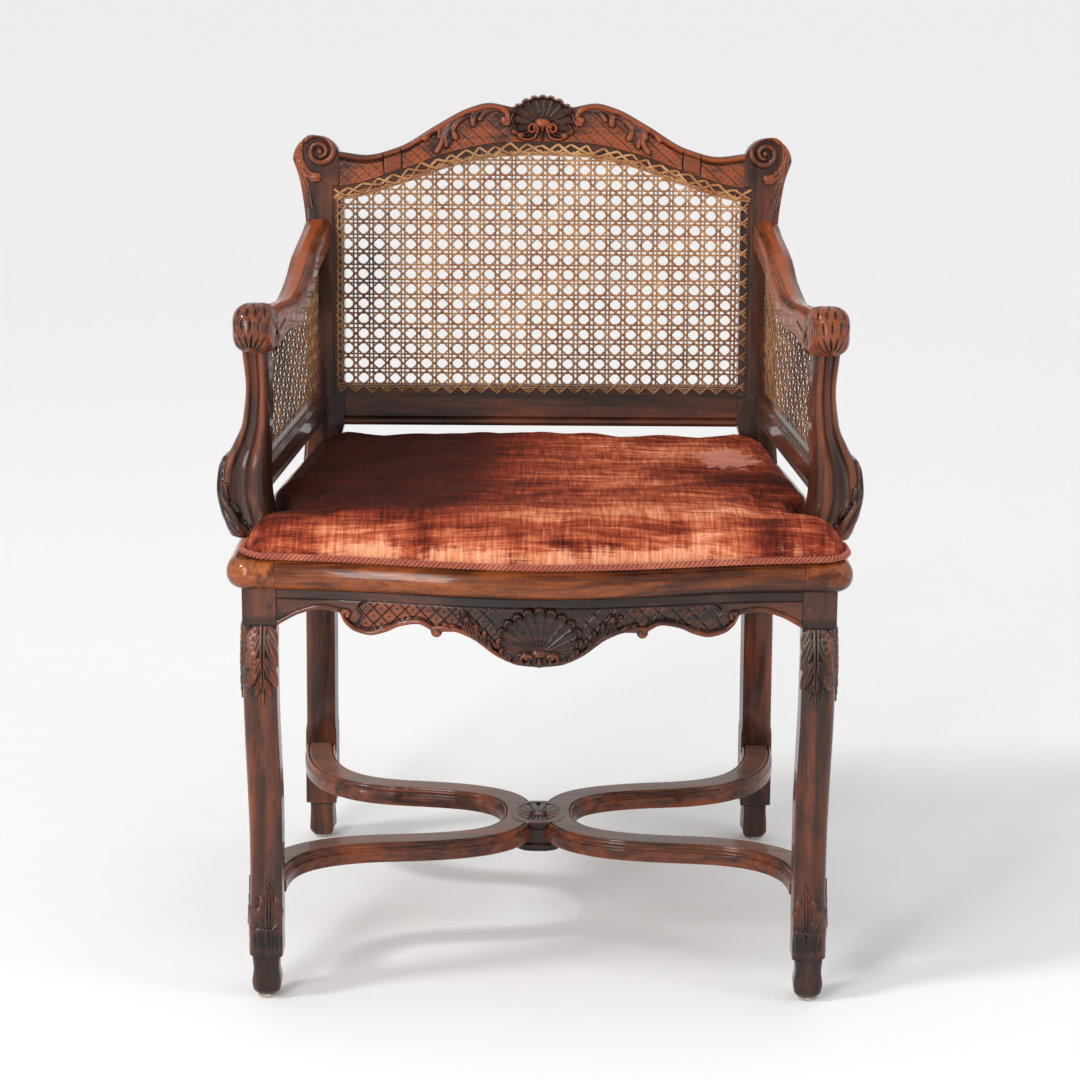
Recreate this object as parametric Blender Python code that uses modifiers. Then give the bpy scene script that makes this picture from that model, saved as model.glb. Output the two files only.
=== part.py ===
"""Carved and caned desk armchair with a loose squab cushion.

Metres, +Z up. The chair faces -Y, the floor is Z = 0 and the plane X = 0 is its middle.
"left" is -X and "right" is +X, as seen from the front.

Every wooden member is a loft of sections along its length. Members meet in mortise and tenon
joints: the tenon is drawn on the member's end, and the mortise is cut from the same values.
"""

import math
from dataclasses import dataclass

import bmesh
import bpy
import numpy as np
from mathutils import Matrix, Vector

# Clearances
GAP = 0.0003
WELD = 0.00002
CUT_LEAD = 0.006

# Seat frame
SEAT_HEIGHT = 0.467
SEAT_THICK = 0.030
SEAT_BOW = 0.034
SEAT_OVERHANG = 0.0155
SEAT_BULLNOSE = 0.013
SEAT_CORNER_RADIUS = 0.024
FRONT_RAIL_WIDTH = 0.055
SIDE_RAIL_WIDTH = 0.053
SEAT_BACK_OVERHANG = 0.006
CANE_REBATE_WIDTH = 0.012
CANE_REBATE_DEPTH = 0.003

# Front legs
FRONT_LEG_X = 0.2781
FRONT_LEG_Y = -0.2251
FRONT_LEG_WIDTH = 0.0342
LEG_BLOCK_HEIGHT = 0.038
FOOT_BLOCK_TOP = 0.078
FOOT_BLOCK_BOTTOM = 0.047
FOOT_WIDTH = 0.029

# Back legs, which run on upwards as the stiles of the back
BACK_LEG_X = 0.2535
BACK_LEG_Y = 0.2364
BACK_LEG_WIDTH = 0.0366
BACK_LEG_DEPTH = 0.034
BACK_FOOT_SPLAY = 0.004
BACK_FOOT_SET_BACK = 0.016
BACK_RAKE = math.radians(6)
STILE_DEPTH = 0.030
STILE_WIDTH = 0.043
STILE_OUTER_X = 0.2680

# Back: heights are measured along the raked back from the seat's top
BACK_HEIGHT = 0.4035
CREST_JOINT_X = 0.2295
CREST_RISE = 0.0590
CREST_SHOULDER = BACK_HEIGHT
CREST_NECK = BACK_HEIGHT - 0.0045
CREST_DIP = BACK_HEIGHT - CREST_RISE
CREST_END_TOP = CREST_DIP + 0.0035
CREST_SHELL_RADIUS = 0.040
CREST_SHELL_DROP = 0.027
CREST_RELIEF = 0.009
BACK_CANE_BOTTOM = 0.0720
BACK_CANE_DROP = 0.0430
BACK_CANE_TOP = BACK_HEIGHT - BACK_CANE_DROP
BACK_CANE_CORNER = CREST_DIP - 0.0360
SCROLL_RADIUS = 0.0268
SCROLL_HEIGHT = CREST_DIP - 0.0055
SCROLL_X = CREST_JOINT_X + SCROLL_RADIUS - 0.0010
BACK_RAIL_BOTTOM = 0.0382
BACK_RAIL_BEAD = 0.007

# Arms: the side frame lies in the upright plane from the arm post to the stile
POST_X = 0.2865
POST_Y = -0.138
ARM_STILE_X = 0.2565
ARM_KNUCKLE_RADIUS = 0.0250
ARM_KNUCKLE_WIDTH = 0.0390
ARM_KNUCKLE_REACH = 0.043
ARM_WIDTH = 0.029
ARM_POST_TOP = 0.191
ARM_DEPTH = 0.030
ARM_DIP = 0.2160
ARM_STILE_TOP = 0.2700
POST_DEPTH = 0.034
POST_FOOT_FLARE = 0.004
SIDE_RAIL_BOTTOM = 0.046
SIDE_RAIL_HEIGHT = 0.029
SIDE_RAIL_THICK = 0.022

# Aprons under the seat frame
APRON_THICK = 0.022
APRON_SET_BACK = 0.0150
APRON_END_DEPTH = 0.0385
APRON_CENTRE_DEPTH = 0.0705
APRON_RELIEF = 0.006
APRON_SHELL_RADIUS = 0.041
APRON_BALL_X = 0.1015
APRON_BALL_RADIUS = 0.0056
APRON_BALL_DEPTH = 0.0376
SIDE_APRON_DEPTH = 0.034
SIDE_APRON_RISE = 0.012
BACK_APRON_DEPTH = 0.032

# Crossed stretcher
STRETCHER_TOP = 0.1235
STRETCHER_HEIGHT = 0.0195
STRETCHER_WIDTH = 0.030
STRETCHER_WAIST = 0.034
STRETCHER_CENTRE_Y = -0.008
STRETCHER_RUN_BACK = 0.062
STRETCHER_RUN_FRONT = -0.102
STRETCHER_BLOCK_HEIGHT = 0.036
PATERA_WIDTH = 0.050
PATERA_LENGTH = 0.064
PATERA_RISE = 0.003

# Cane
CANE_THICK = 0.002
BACK_CANE_COLUMNS = 13
BACK_CANE_PITCH = 0.0335
SIDE_CANE_COLUMNS = 7
SIDE_CANE_ROWS = 4
SEAT_CANE_COLUMNS = 7
SEAT_CANE_ROWS = 6
CANE_HOLE_SHARE = 0.62
CANE_BORDER = 0.016

# Cushion
CUSHION_CROWN = 0.039
CUSHION_SEAM = 0.0042
CUSHION_SHOULDER = 0.055
CUSHION_EAR_X = 0.2975
CUSHION_NOTCH_X = 0.2570
CUSHION_BACK_X = 0.2270
CUSHION_BACK_Y = 0.2098
CUSHION_FRONT_INSET = 0.0045
CUSHION_NOTCH_CLEARANCE = 0.003
CORD_RADIUS = 0.0034

# Small parts
GLIDE_RADIUS = 0.0105
GLIDE_HEIGHT = 0.004
PEG_RADIUS = 0.003
PEG_LENGTH = 0.022
PEG_PROUD = 0.0004
TENON_LENGTH = 0.014
TENON_THICK = 0.010

LEG_TOP = SEAT_HEIGHT - SEAT_THICK - GAP
LEG_HALF = FRONT_LEG_WIDTH / 2
SIDES = {"left": -1, "right": 1}
X_AXIS = Vector((1, 0, 0))
Y_AXIS = Vector((0, 1, 0))
Z_AXIS = Vector((0, 0, 1))

PARTS = None
CUTTERS = None
MATERIALS = {}


# Scene and materials

def new_collection(name):
    collection = bpy.data.collections.new(name)
    bpy.context.scene.collection.children.link(collection)
    return collection


def make_materials():
    looks = {
        "walnut": ((0.105, 0.038, 0.020, 1), 0.38, 0.0),
        "seat_walnut": ((0.250, 0.088, 0.028, 1), 0.32, 0.0),
        "cane": ((0.400, 0.210, 0.085, 1), 0.55, 0.0),
        "velvet": ((0.330, 0.066, 0.028, 1), 0.85, 0.0),
        "piping": ((0.420, 0.090, 0.034, 1), 0.80, 0.0),
        "glide": ((0.420, 0.390, 0.340, 1), 0.45, 0.6),
    }
    for name, (colour, roughness, metallic) in looks.items():
        material = bpy.data.materials.new(name)
        material.use_nodes = True
        shader = material.node_tree.nodes["Principled BSDF"]
        shader.inputs["Base Color"].default_value = colour
        shader.inputs["Roughness"].default_value = roughness
        shader.inputs["Metallic"].default_value = metallic
        MATERIALS[name] = material


def finish_object(obj, name, material):
    """Gives a new object its name, finish and collection."""
    obj.name = name
    for owner in list(obj.users_collection):
        owner.objects.unlink(obj)
    PARTS.objects.link(obj)
    obj.data.materials.append(MATERIALS[material])
    return obj


def shade(mesh):
    mesh.shade_smooth()
    mesh.set_sharp_from_angle(angle=math.radians(38))


# Curves and sections

def smooth_through(knots):
    """A smooth function through (position, value) knots that never overshoots them."""
    x = np.array([k[0] for k in knots], float)
    y = np.array([k[1] for k in knots], float)
    step = np.diff(x)
    slope = np.diff(y) / step
    tangent = np.zeros(len(x))
    tangent[0], tangent[-1] = slope[0], slope[-1]
    for i in range(1, len(x) - 1):
        if slope[i - 1] * slope[i] > 0:
            tangent[i] = 2 * slope[i - 1] * slope[i] / (slope[i - 1] + slope[i])

    def value(at):
        at = min(max(at, x[0]), x[-1])
        i = min(int(np.searchsorted(x, at, side="right")) - 1, len(step) - 1)
        t = (at - x[i]) / step[i]
        rise = 3 * t**2 - 2 * t**3
        return float(
            y[i] + (y[i + 1] - y[i]) * rise
            + step[i] * (tangent[i] * (t - 2 * t**2 + t**3) + tangent[i + 1] * (t**3 - t**2))
        )

    return value


def spread(first, last, count):
    return [first + (last - first) * i / (count - 1) for i in range(count)]


def rounded_box(u0, u1, v0, v1, radii):
    """Twelve points round a rectangle, with its own radius at each of its four corners."""
    corners = ((u1, v1, 0), (u0, v1, 90), (u0, v0, 180), (u1, v0, 270))
    points = []
    for (u, v, start), radius in zip(corners, radii):
        centre_u = u - radius if u == u1 else u + radius
        centre_v = v - radius if v == v1 else v + radius
        for turn in (0, 45, 90):
            angle = math.radians(start + turn)
            points.append((centre_u + radius * math.cos(angle), centre_v + radius * math.sin(angle)))
    return points


@dataclass
class Place:
    """Where a flat section stands: its origin and the directions of its two axes."""

    origin: Vector
    u: Vector
    v: Vector

    def ring(self, section):
        return [self.origin + self.u * a + self.v * b for a, b in section]

    def moved(self, shift):
        return Place(self.origin + shift, self.u, self.v)


@dataclass
class Tenon:
    """A block that leaves its shoulder along an axis. Its ranges are in the shoulder's axes."""

    place: Place
    u_range: tuple
    v_range: tuple
    axis: Vector
    length: float = TENON_LENGTH

    def rings(self, section):
        """Two rings that step a member's last section down to the tenon and draw it out."""
        flat = [
            (min(max(a, self.u_range[0]), self.u_range[1]), min(max(b, self.v_range[0]), self.v_range[1]))
            for a, b in section
        ]
        return [self.place.ring(flat), self.place.moved(self.axis * self.length).ring(flat)]

    def middle(self, depth):
        """The point at a depth along the tenon's middle line."""
        return (
            self.place.origin + self.place.u * sum(self.u_range) / 2
            + self.place.v * sum(self.v_range) / 2 + self.axis * depth
        )


# Solids

def mesh_object(name, bm, material):
    mesh = bpy.data.meshes.new(name)
    bm.to_mesh(mesh)
    bm.free()
    shade(mesh)
    return finish_object(bpy.data.objects.new(name, mesh), name, material)


def loft(name, rings, material):
    """A closed solid through rings of equal length, with both ends capped."""
    bm = bmesh.new()
    loops = [[bm.verts.new(point) for point in ring] for ring in rings]
    count = len(loops[0])
    for here, there in zip(loops, loops[1:]):
        for i in range(count):
            j = (i + 1) % count
            bm.faces.new((here[i], here[j], there[j], there[i]))
    bm.faces.new(loops[0])
    bm.faces.new(loops[-1])
    bmesh.ops.remove_doubles(bm, verts=bm.verts, dist=WELD)
    bmesh.ops.dissolve_degenerate(bm, edges=bm.edges, dist=WELD)
    bmesh.ops.recalc_face_normals(bm, faces=bm.faces)
    return mesh_object(name, bm, material)


def add_boolean(target, tool, operation):
    modifier = target.modifiers.new(f"{operation.lower()}_{tool.name}", "BOOLEAN")
    modifier.operation = operation
    modifier.object = tool


def as_cutter(tool):
    """Hides a solid that only shapes others."""
    for owner in list(tool.users_collection):
        owner.objects.unlink(tool)
    CUTTERS.objects.link(tool)
    tool.hide_render = True
    tool.display_type = "WIRE"
    return tool


def cut_mortise(target, tenon):
    """Cuts the socket of a tenon, with clearance all round, from the member that takes it."""
    low_u, high_u = tenon.u_range[0] - GAP, tenon.u_range[1] + GAP
    low_v, high_v = tenon.v_range[0] - GAP, tenon.v_range[1] + GAP
    reach = tenon.length + GAP + CUT_LEAD
    bpy.ops.mesh.primitive_cube_add(size=1)
    cutter = bpy.context.object
    cutter.name = f"mortise_{target.name}_{len(target.modifiers)}"
    middle = (
        tenon.place.origin + tenon.place.u * (low_u + high_u) / 2
        + tenon.place.v * (low_v + high_v) / 2 + tenon.axis * (reach / 2 - CUT_LEAD)
    )
    axes = Matrix((tenon.place.u, tenon.place.v, tenon.axis)).transposed().to_4x4()
    size = Matrix.Diagonal((high_u - low_u, high_v - low_v, reach, 1))
    cutter.data.transform(axes @ size)
    if axes.determinant() < 0:
        cutter.data.flip_normals()
    cutter.location = middle
    add_boolean(target, as_cutter(cutter), "DIFFERENCE")


def round_bar(name, radius, length, centre, axis, material, sides=10):
    bpy.ops.mesh.primitive_cylinder_add(vertices=sides, radius=radius, depth=length)
    bar = finish_object(bpy.context.object, name, material)
    bar.matrix_world = Matrix.Translation(centre) @ axis.to_track_quat("Z", "Y").to_matrix().to_4x4()
    shade(bar.data)
    return bar


def peg(name, entry, axis, members):
    """A wooden pin driven along an axis from a face, through the members that it locks."""
    head = entry - axis * PEG_PROUD
    round_bar(name, PEG_RADIUS, PEG_LENGTH, head + axis * PEG_LENGTH / 2, axis, "walnut")
    for member in members:
        hole_length = PEG_LENGTH + GAP + CUT_LEAD
        centre = head + axis * (hole_length / 2 - CUT_LEAD)
        hole = round_bar(f"hole_{name}_{member.name}", PEG_RADIUS + GAP, hole_length, centre, axis, "walnut")
        add_boolean(member, as_cutter(hole), "DIFFERENCE")


# The seat's plan

FRONT_EDGE_Y = FRONT_LEG_Y - LEG_HALF - 0.85 * SEAT_OVERHANG
CREASE_X = FRONT_LEG_X - LEG_HALF + 0.0005
EAR_X = FRONT_LEG_X + LEG_HALF + SEAT_OVERHANG
STILE_FRONT_Y = BACK_LEG_Y - BACK_LEG_DEPTH / 2
SEAT_BACK_X = BACK_LEG_X + BACK_LEG_WIDTH / 2 + SEAT_BACK_OVERHANG


def bow(x):
    """How far the seat's serpentine front stands forward of its corners."""
    return SEAT_BOW * (1 + math.cos(math.pi * min(abs(x) / CREASE_X, 1))) / 2


def seat_front(x):
    return FRONT_EDGE_Y - bow(x)


def seat_front_inner(x):
    return FRONT_EDGE_Y + FRONT_RAIL_WIDTH - bow(x) / 2


seat_side = smooth_through((
    (FRONT_EDGE_Y, EAR_X),
    (POST_Y, EAR_X - 0.001),
    ((POST_Y + STILE_FRONT_Y) / 2, (EAR_X + SEAT_BACK_X) / 2 + 0.002),
    (STILE_FRONT_Y, SEAT_BACK_X),
))


def seat_side_inner(y):
    return seat_side(y) - SIDE_RAIL_WIDTH


def seat_rail_section(width):
    """A rail of the seat frame from its inner face out: a rebate for the cane and a bullnose."""
    nose = [
        (
            width - SEAT_BULLNOSE + SEAT_BULLNOSE * math.cos(math.radians(angle)),
            SEAT_THICK / 2 * (1 + math.sin(math.radians(angle))),
        )
        for angle in (-90, -54, -18, 18, 54, 90)
    ]
    floor = SEAT_THICK - CANE_REBATE_DEPTH
    rebate = [(CANE_REBATE_WIDTH, SEAT_THICK), (CANE_REBATE_WIDTH, floor), (0, floor)]
    return [(0, 0)] + nose + rebate


def rail_place(inner, outer):
    """Stands a rail's section on the line from its inner edge to its outer edge."""
    inner = Vector((*inner, SEAT_HEIGHT - SEAT_THICK))
    outer = Vector((*outer, SEAT_HEIGHT - SEAT_THICK))
    return Place(inner, (outer - inner).normalized(), Z_AXIS), (outer - inner).length


def rail_ring(inner, outer):
    place, width = rail_place(inner, outer)
    return place.ring(seat_rail_section(width))


SEAT_TENON_V = (SEAT_THICK * 0.27, SEAT_THICK * 0.70)


def front_rail_tenon(side):
    place, width = rail_place(
        (side * (CREASE_X - GAP), seat_front_inner(CREASE_X)), (side * (CREASE_X - GAP), seat_front(CREASE_X))
    )
    return Tenon(place, (width * 0.34, width * 0.62), SEAT_TENON_V, X_AXIS * side, 0.012)


def seat_rail_front():
    ends = {side: front_rail_tenon(side) for side in (-1, 1)}
    section = seat_rail_section(FRONT_RAIL_WIDTH)
    stations = spread(-(CREASE_X - GAP), CREASE_X - GAP, 17)
    rings = [rail_ring((x, seat_front_inner(x)), (x, seat_front(x))) for x in stations]
    rings = ends[-1].rings(section)[::-1] + rings + ends[1].rings(section)
    return loft("seat_rail_front", rings, "seat_walnut")


def side_rail_tenon(side):
    end = STILE_FRONT_Y - GAP
    place, width = rail_place((side * seat_side_inner(end), end), (side * seat_side(end), end))
    middle = BACK_LEG_X + 0.006 - seat_side_inner(end)
    u_range = (middle - TENON_THICK / 2, middle + TENON_THICK / 2)
    return Tenon(place, u_range, SEAT_TENON_V, Y_AXIS), width


def seat_rail_side(name, side):
    """A side rail, which turns the front corner as a rounded ear."""
    inner_corner = (side * CREASE_X, seat_front_inner(CREASE_X))
    rings = [rail_ring(inner_corner, (side * CREASE_X, seat_front(CREASE_X)))]
    centre = (EAR_X - SEAT_CORNER_RADIUS, FRONT_EDGE_Y + SEAT_CORNER_RADIUS)
    for angle in spread(-90, 0, 6):
        reach = math.radians(angle)
        outer_x = centre[0] + SEAT_CORNER_RADIUS * math.cos(reach)
        outer_y = centre[1] + SEAT_CORNER_RADIUS * math.sin(reach)
        rings.append(rail_ring(inner_corner, (side * outer_x, outer_y)))
    end = STILE_FRONT_Y - GAP
    for y in spread(seat_front_inner(CREASE_X) + 0.012, end, 7):
        rings.append(rail_ring((side * seat_side_inner(y), y), (side * seat_side(y), y)))
    tenon, width = side_rail_tenon(side)
    rings += tenon.rings(seat_rail_section(width))
    return loft(f"seat_rail_{name}", rings, "seat_walnut")


def back_rail_tenon(side):
    place = Place(
        Vector((side * (BACK_LEG_X - BACK_LEG_WIDTH / 2 - GAP), BACK_LEG_Y, SEAT_HEIGHT - SEAT_THICK)),
        Y_AXIS, Z_AXIS,
    )
    return Tenon(place, (-TENON_THICK / 2, TENON_THICK / 2), SEAT_TENON_V, X_AXIS * side)


def seat_rail_back():
    half = BACK_LEG_DEPTH / 2 - GAP
    floor = SEAT_THICK - CANE_REBATE_DEPTH
    section = [
        (-half, 0), (half, 0), (half, SEAT_THICK - 0.004), (half - 0.004, SEAT_THICK),
        (-half + CANE_REBATE_WIDTH, SEAT_THICK), (-half + CANE_REBATE_WIDTH, floor), (-half, floor),
    ]
    ends = {side: back_rail_tenon(side) for side in (-1, 1)}
    rings = ends[-1].rings(section)[::-1] + [ends[-1].place.ring(section), ends[1].place.ring(section)]
    return loft("seat_rail_back", rings + ends[1].rings(section), "walnut")


# Front legs

SHANK_TOP = LEG_TOP - LEG_BLOCK_HEIGHT
# Each row: share of the shank from its top, shift outwards, shift forwards, half width.
SHANK = (
    (0.00, 0.0000, 0.0000, LEG_HALF),
    (0.02, 0.0003, 0.0020, LEG_HALF + 0.0003),
    (0.12, 0.0008, 0.0060, LEG_HALF + 0.0003),
    (0.28, 0.0005, 0.0055, LEG_HALF + 0.0002),
    (0.47, -0.0005, 0.0010, LEG_HALF + 0.0003),
    (0.68, -0.0013, -0.0035, LEG_HALF + 0.0001),
    (0.85, -0.0010, -0.0038, LEG_HALF - 0.0003),
    (0.95, -0.0005, -0.0010, LEG_HALF),
    (1.00, 0.0000, 0.0010, LEG_HALF + 0.0005),
)
leg_out = smooth_through([(row[0], row[1]) for row in SHANK])
leg_forward = smooth_through([(row[0], row[2]) for row in SHANK])
leg_half = smooth_through([(row[0], row[3]) for row in SHANK])
FOOT_HALF = FOOT_WIDTH / 2
FOOT_FORWARD = 0.0025


def shank_share(z):
    return (SHANK_TOP - z) / (SHANK_TOP - FOOT_BLOCK_TOP)


def leg_ring(side, z, out, forward, half, ridge):
    """A leg's section: square, with a wide round on the corner that faces out and forwards."""
    origin = Vector((side * (FRONT_LEG_X + out), FRONT_LEG_Y - forward, z))
    place = Place(origin, X_AXIS * side, -Y_AXIS)
    edge = min(0.003, ridge)
    return place.ring(rounded_box(-half, half, -half, half, (ridge, edge, edge, edge)))


def front_leg_tenon(side):
    place = Place(Vector((side * FRONT_LEG_X, FRONT_LEG_Y, LEG_TOP)), X_AXIS * side, -Y_AXIS)
    return Tenon(place, (0.0025, 0.0125), (-0.008, 0.008), Z_AXIS, SEAT_THICK * 0.5)


def front_leg_back_face(z):
    share = shank_share(z)
    return FRONT_LEG_Y - leg_forward(share) + leg_half(share)


def front_leg(name, side):
    block_edge = 0.0008
    ridge = 0.011
    section = rounded_box(-LEG_HALF, LEG_HALF, -LEG_HALF, LEG_HALF, (block_edge,) * 4)
    rings = front_leg_tenon(side).rings(section)[::-1]
    for z in (LEG_TOP, SHANK_TOP):
        rings.append(leg_ring(side, z, 0, 0, LEG_HALF, block_edge))
    for share in (0.02, 0.07, 0.13, 0.20, 0.30, 0.42, 0.54, 0.66, 0.78, 0.88, 0.95, 1.0):
        z = SHANK_TOP - share * (SHANK_TOP - FOOT_BLOCK_TOP)
        rings.append(leg_ring(side, z, leg_out(share), leg_forward(share), leg_half(share), ridge))
    block_middle = (FOOT_BLOCK_TOP + FOOT_BLOCK_BOTTOM) / 2
    foot = (
        (block_middle, LEG_HALF + 0.0004, 0.006), (FOOT_BLOCK_BOTTOM + 0.002, LEG_HALF, 0.006),
        (FOOT_BLOCK_BOTTOM, FOOT_HALF, 0.005), (FOOT_BLOCK_BOTTOM * 0.66, FOOT_HALF * 0.94, 0.006),
        (FOOT_BLOCK_BOTTOM * 0.38, FOOT_HALF * 1.04, 0.007), (FOOT_BLOCK_BOTTOM * 0.2, FOOT_HALF * 0.96, 0.008),
        (GLIDE_HEIGHT + GAP, FOOT_HALF * 0.72, 0.008),
    )
    for z, half, edge in foot:
        rings.append(leg_ring(side, z, leg_out(1), FOOT_FORWARD, half, edge))
    return loft(f"front_leg_{name}", rings, "walnut")


# Back legs and stiles

RAKED_UP = Vector((0, math.sin(BACK_RAKE), math.cos(BACK_RAKE)))
RAKED_BACK = Vector((0, math.cos(BACK_RAKE), -math.sin(BACK_RAKE)))
BACK_ORIGIN = Vector((0, BACK_LEG_Y, SEAT_HEIGHT))


def back_point(x, depth, up):
    """A point of the raked back: across, backwards from its middle plane, and up its slope."""
    return BACK_ORIGIN + X_AXIS * x + RAKED_BACK * depth + RAKED_UP * up


def back_leg_centre(z):
    """Where the middle of a back leg is below the seat: its foot stands out and back."""
    share = 1 - min(max(z / SEAT_HEIGHT, 0), 1)
    return BACK_LEG_X + BACK_FOOT_SPLAY * share**1.5, BACK_LEG_Y + BACK_FOOT_SET_BACK * share**2


SCROLL_NECK = SCROLL_HEIGHT - 2.9 * SCROLL_RADIUS
STILE_INNER_X = STILE_OUTER_X - STILE_WIDTH
STILE_STEP = BACK_CANE_BOTTOM - 0.006


def scroll_half(up):
    rise = min(max((up - SCROLL_HEIGHT) / SCROLL_RADIUS, -1), 1)
    return SCROLL_RADIUS * math.sqrt(1 - rise**2)


def stile_span(up):
    """Inner and outer edge of a stile, widest from the lower rail's foot to the scroll at its top."""
    seat_inner = BACK_LEG_X - BACK_LEG_WIDTH / 2
    seat_outer = BACK_LEG_X + BACK_LEG_WIDTH / 2
    inner = smooth_through(((0, seat_inner), (BACK_RAIL_BOTTOM, STILE_INNER_X)))
    outer = smooth_through((
        (0, seat_outer), (STILE_STEP, STILE_OUTER_X), (SCROLL_NECK, STILE_OUTER_X),
        (SCROLL_HEIGHT - SCROLL_RADIUS, STILE_OUTER_X + 0.006), (SCROLL_HEIGHT, SCROLL_X + SCROLL_RADIUS),
    ))
    low, high = inner(up), outer(up)
    if up > crest_foot():
        low = CREST_JOINT_X + GAP
    if up > SCROLL_HEIGHT:
        low, high = max(low, SCROLL_X - scroll_half(up)), SCROLL_X + scroll_half(up)
    return low, high


def crest_foot():
    """Where the stile steps back to seat the crest's end, just below that end."""
    return cane_top(CREST_JOINT_X) - CANE_REBATE_WIDTH - GAP


def stile_ring(side, up):
    low, high = stile_span(up)
    edge = min(0.0045, (high - low) / 4)
    section = rounded_box(low, high, -STILE_DEPTH / 2, STILE_DEPTH / 2, (edge, 0.0015, 0.0015, edge))
    return Place(back_point(0, 0, up), X_AXIS * side, RAKED_BACK).ring(section)


def back_leg_ring(side, z, half_width, half_depth, edge):
    x, y = back_leg_centre(z)
    place = Place(Vector((side * x, y, z)), X_AXIS * side, Y_AXIS)
    return place.ring(rounded_box(-half_width, half_width, -half_depth, half_depth, (edge,) * 4))


def back_stile(name, side):
    half_width, half_depth = BACK_LEG_WIDTH / 2, BACK_LEG_DEPTH / 2
    rings = [
        back_leg_ring(side, GLIDE_HEIGHT + GAP, half_width * 0.62, half_depth * 0.68, 0.007),
        back_leg_ring(side, FOOT_BLOCK_BOTTOM * 0.25, half_width * 0.82, half_depth * 0.90, 0.006),
        back_leg_ring(side, FOOT_BLOCK_BOTTOM * 0.9, half_width * 0.76, half_depth * 0.86, 0.005),
        back_leg_ring(side, FOOT_BLOCK_BOTTOM, half_width * 1.02, half_depth, 0.003),
    ]
    for z in (FOOT_BLOCK_TOP, STRETCHER_TOP + 0.012):
        rings.append(back_leg_ring(side, z, half_width * 1.02, half_depth, 0.003))
    for z in spread(STRETCHER_TOP + 0.024, LEG_TOP - APRON_END_DEPTH - 0.012, 4):
        rings.append(back_leg_ring(side, z, half_width * 0.97, half_depth, 0.008))
    rings.append(back_leg_ring(side, LEG_TOP - APRON_END_DEPTH, half_width, half_depth, 0.0015))
    rings.append(back_leg_ring(side, SEAT_HEIGHT - 0.0005, half_width, half_depth, 0.0015))
    ups = [BACK_RAIL_BOTTOM, STILE_STEP]
    ups += spread(BACK_CANE_BOTTOM + 0.06, SCROLL_NECK, 3)
    ups += spread(SCROLL_NECK + 0.02, crest_foot(), 2)
    ups += [crest_foot() + WELD * 2, BACK_CANE_CORNER + CANE_REBATE_DEPTH]
    ups += [SCROLL_HEIGHT - SCROLL_RADIUS * 0.5, SCROLL_HEIGHT]
    ups += [SCROLL_HEIGHT + SCROLL_RADIUS * math.sin(math.radians(a)) for a in (22, 40, 55, 68, 78, 86)]
    rings += [stile_ring(side, up) for up in sorted(ups)]
    return loft(f"back_stile_{name}", rings, "walnut")


# Crest and lower rail of the back

CREST_DEPTH = STILE_DEPTH - 0.002


cane_top = smooth_through((
    (0.000, BACK_CANE_TOP),
    (0.050, BACK_CANE_TOP - 0.002),
    (0.105, BACK_CANE_TOP - 0.013),
    (0.162, BACK_CANE_CORNER + 0.019),
    (CREST_JOINT_X, BACK_CANE_CORNER + 0.001),
    (STILE_OUTER_X, BACK_CANE_CORNER),
))
crest_top = smooth_through((
    (0.000, CREST_NECK - 0.004),
    (0.034, CREST_NECK),
    (0.060, CREST_SHOULDER),
    (0.084, CREST_SHOULDER - 0.006),
    (0.118, CREST_SHOULDER - 0.024),
    (0.163, CREST_DIP + 0.009),
    (0.200, CREST_DIP),
    (CREST_JOINT_X, CREST_END_TOP),
))


def crest_place(x):
    return Place(back_point(x, 0, 0), RAKED_BACK, RAKED_UP)


def crest_section(x):
    """The crest's slice: its foot is hidden behind the cane's border, its top edges are eased."""
    low = cane_top(abs(x)) - CANE_REBATE_WIDTH
    high = crest_top(abs(x))
    half = CREST_DEPTH / 2
    return rounded_box(-half, half, low, high, (0.005, 0.004, 0.001, 0.001))


def crest_tenon(side):
    middle = (BACK_CANE_CORNER + CREST_DIP) / 2 - 0.004
    place = crest_place(side * CREST_JOINT_X)
    return Tenon(place, (-TENON_THICK / 2, TENON_THICK / 2), (middle - 0.011, middle + 0.011), X_AXIS * side, 0.012)


def shell_rise(share, turn, lobes):
    """Height of a fluted shell: lobes that swell outwards and thin to nothing at the hinge."""
    flute = abs(math.sin(turn * lobes))
    rim = math.sin(min(share / 0.92, 1) * math.pi / 2)
    return (0.35 + 0.65 * math.sqrt(flute)) * (0.25 + 0.75 * rim)


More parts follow.
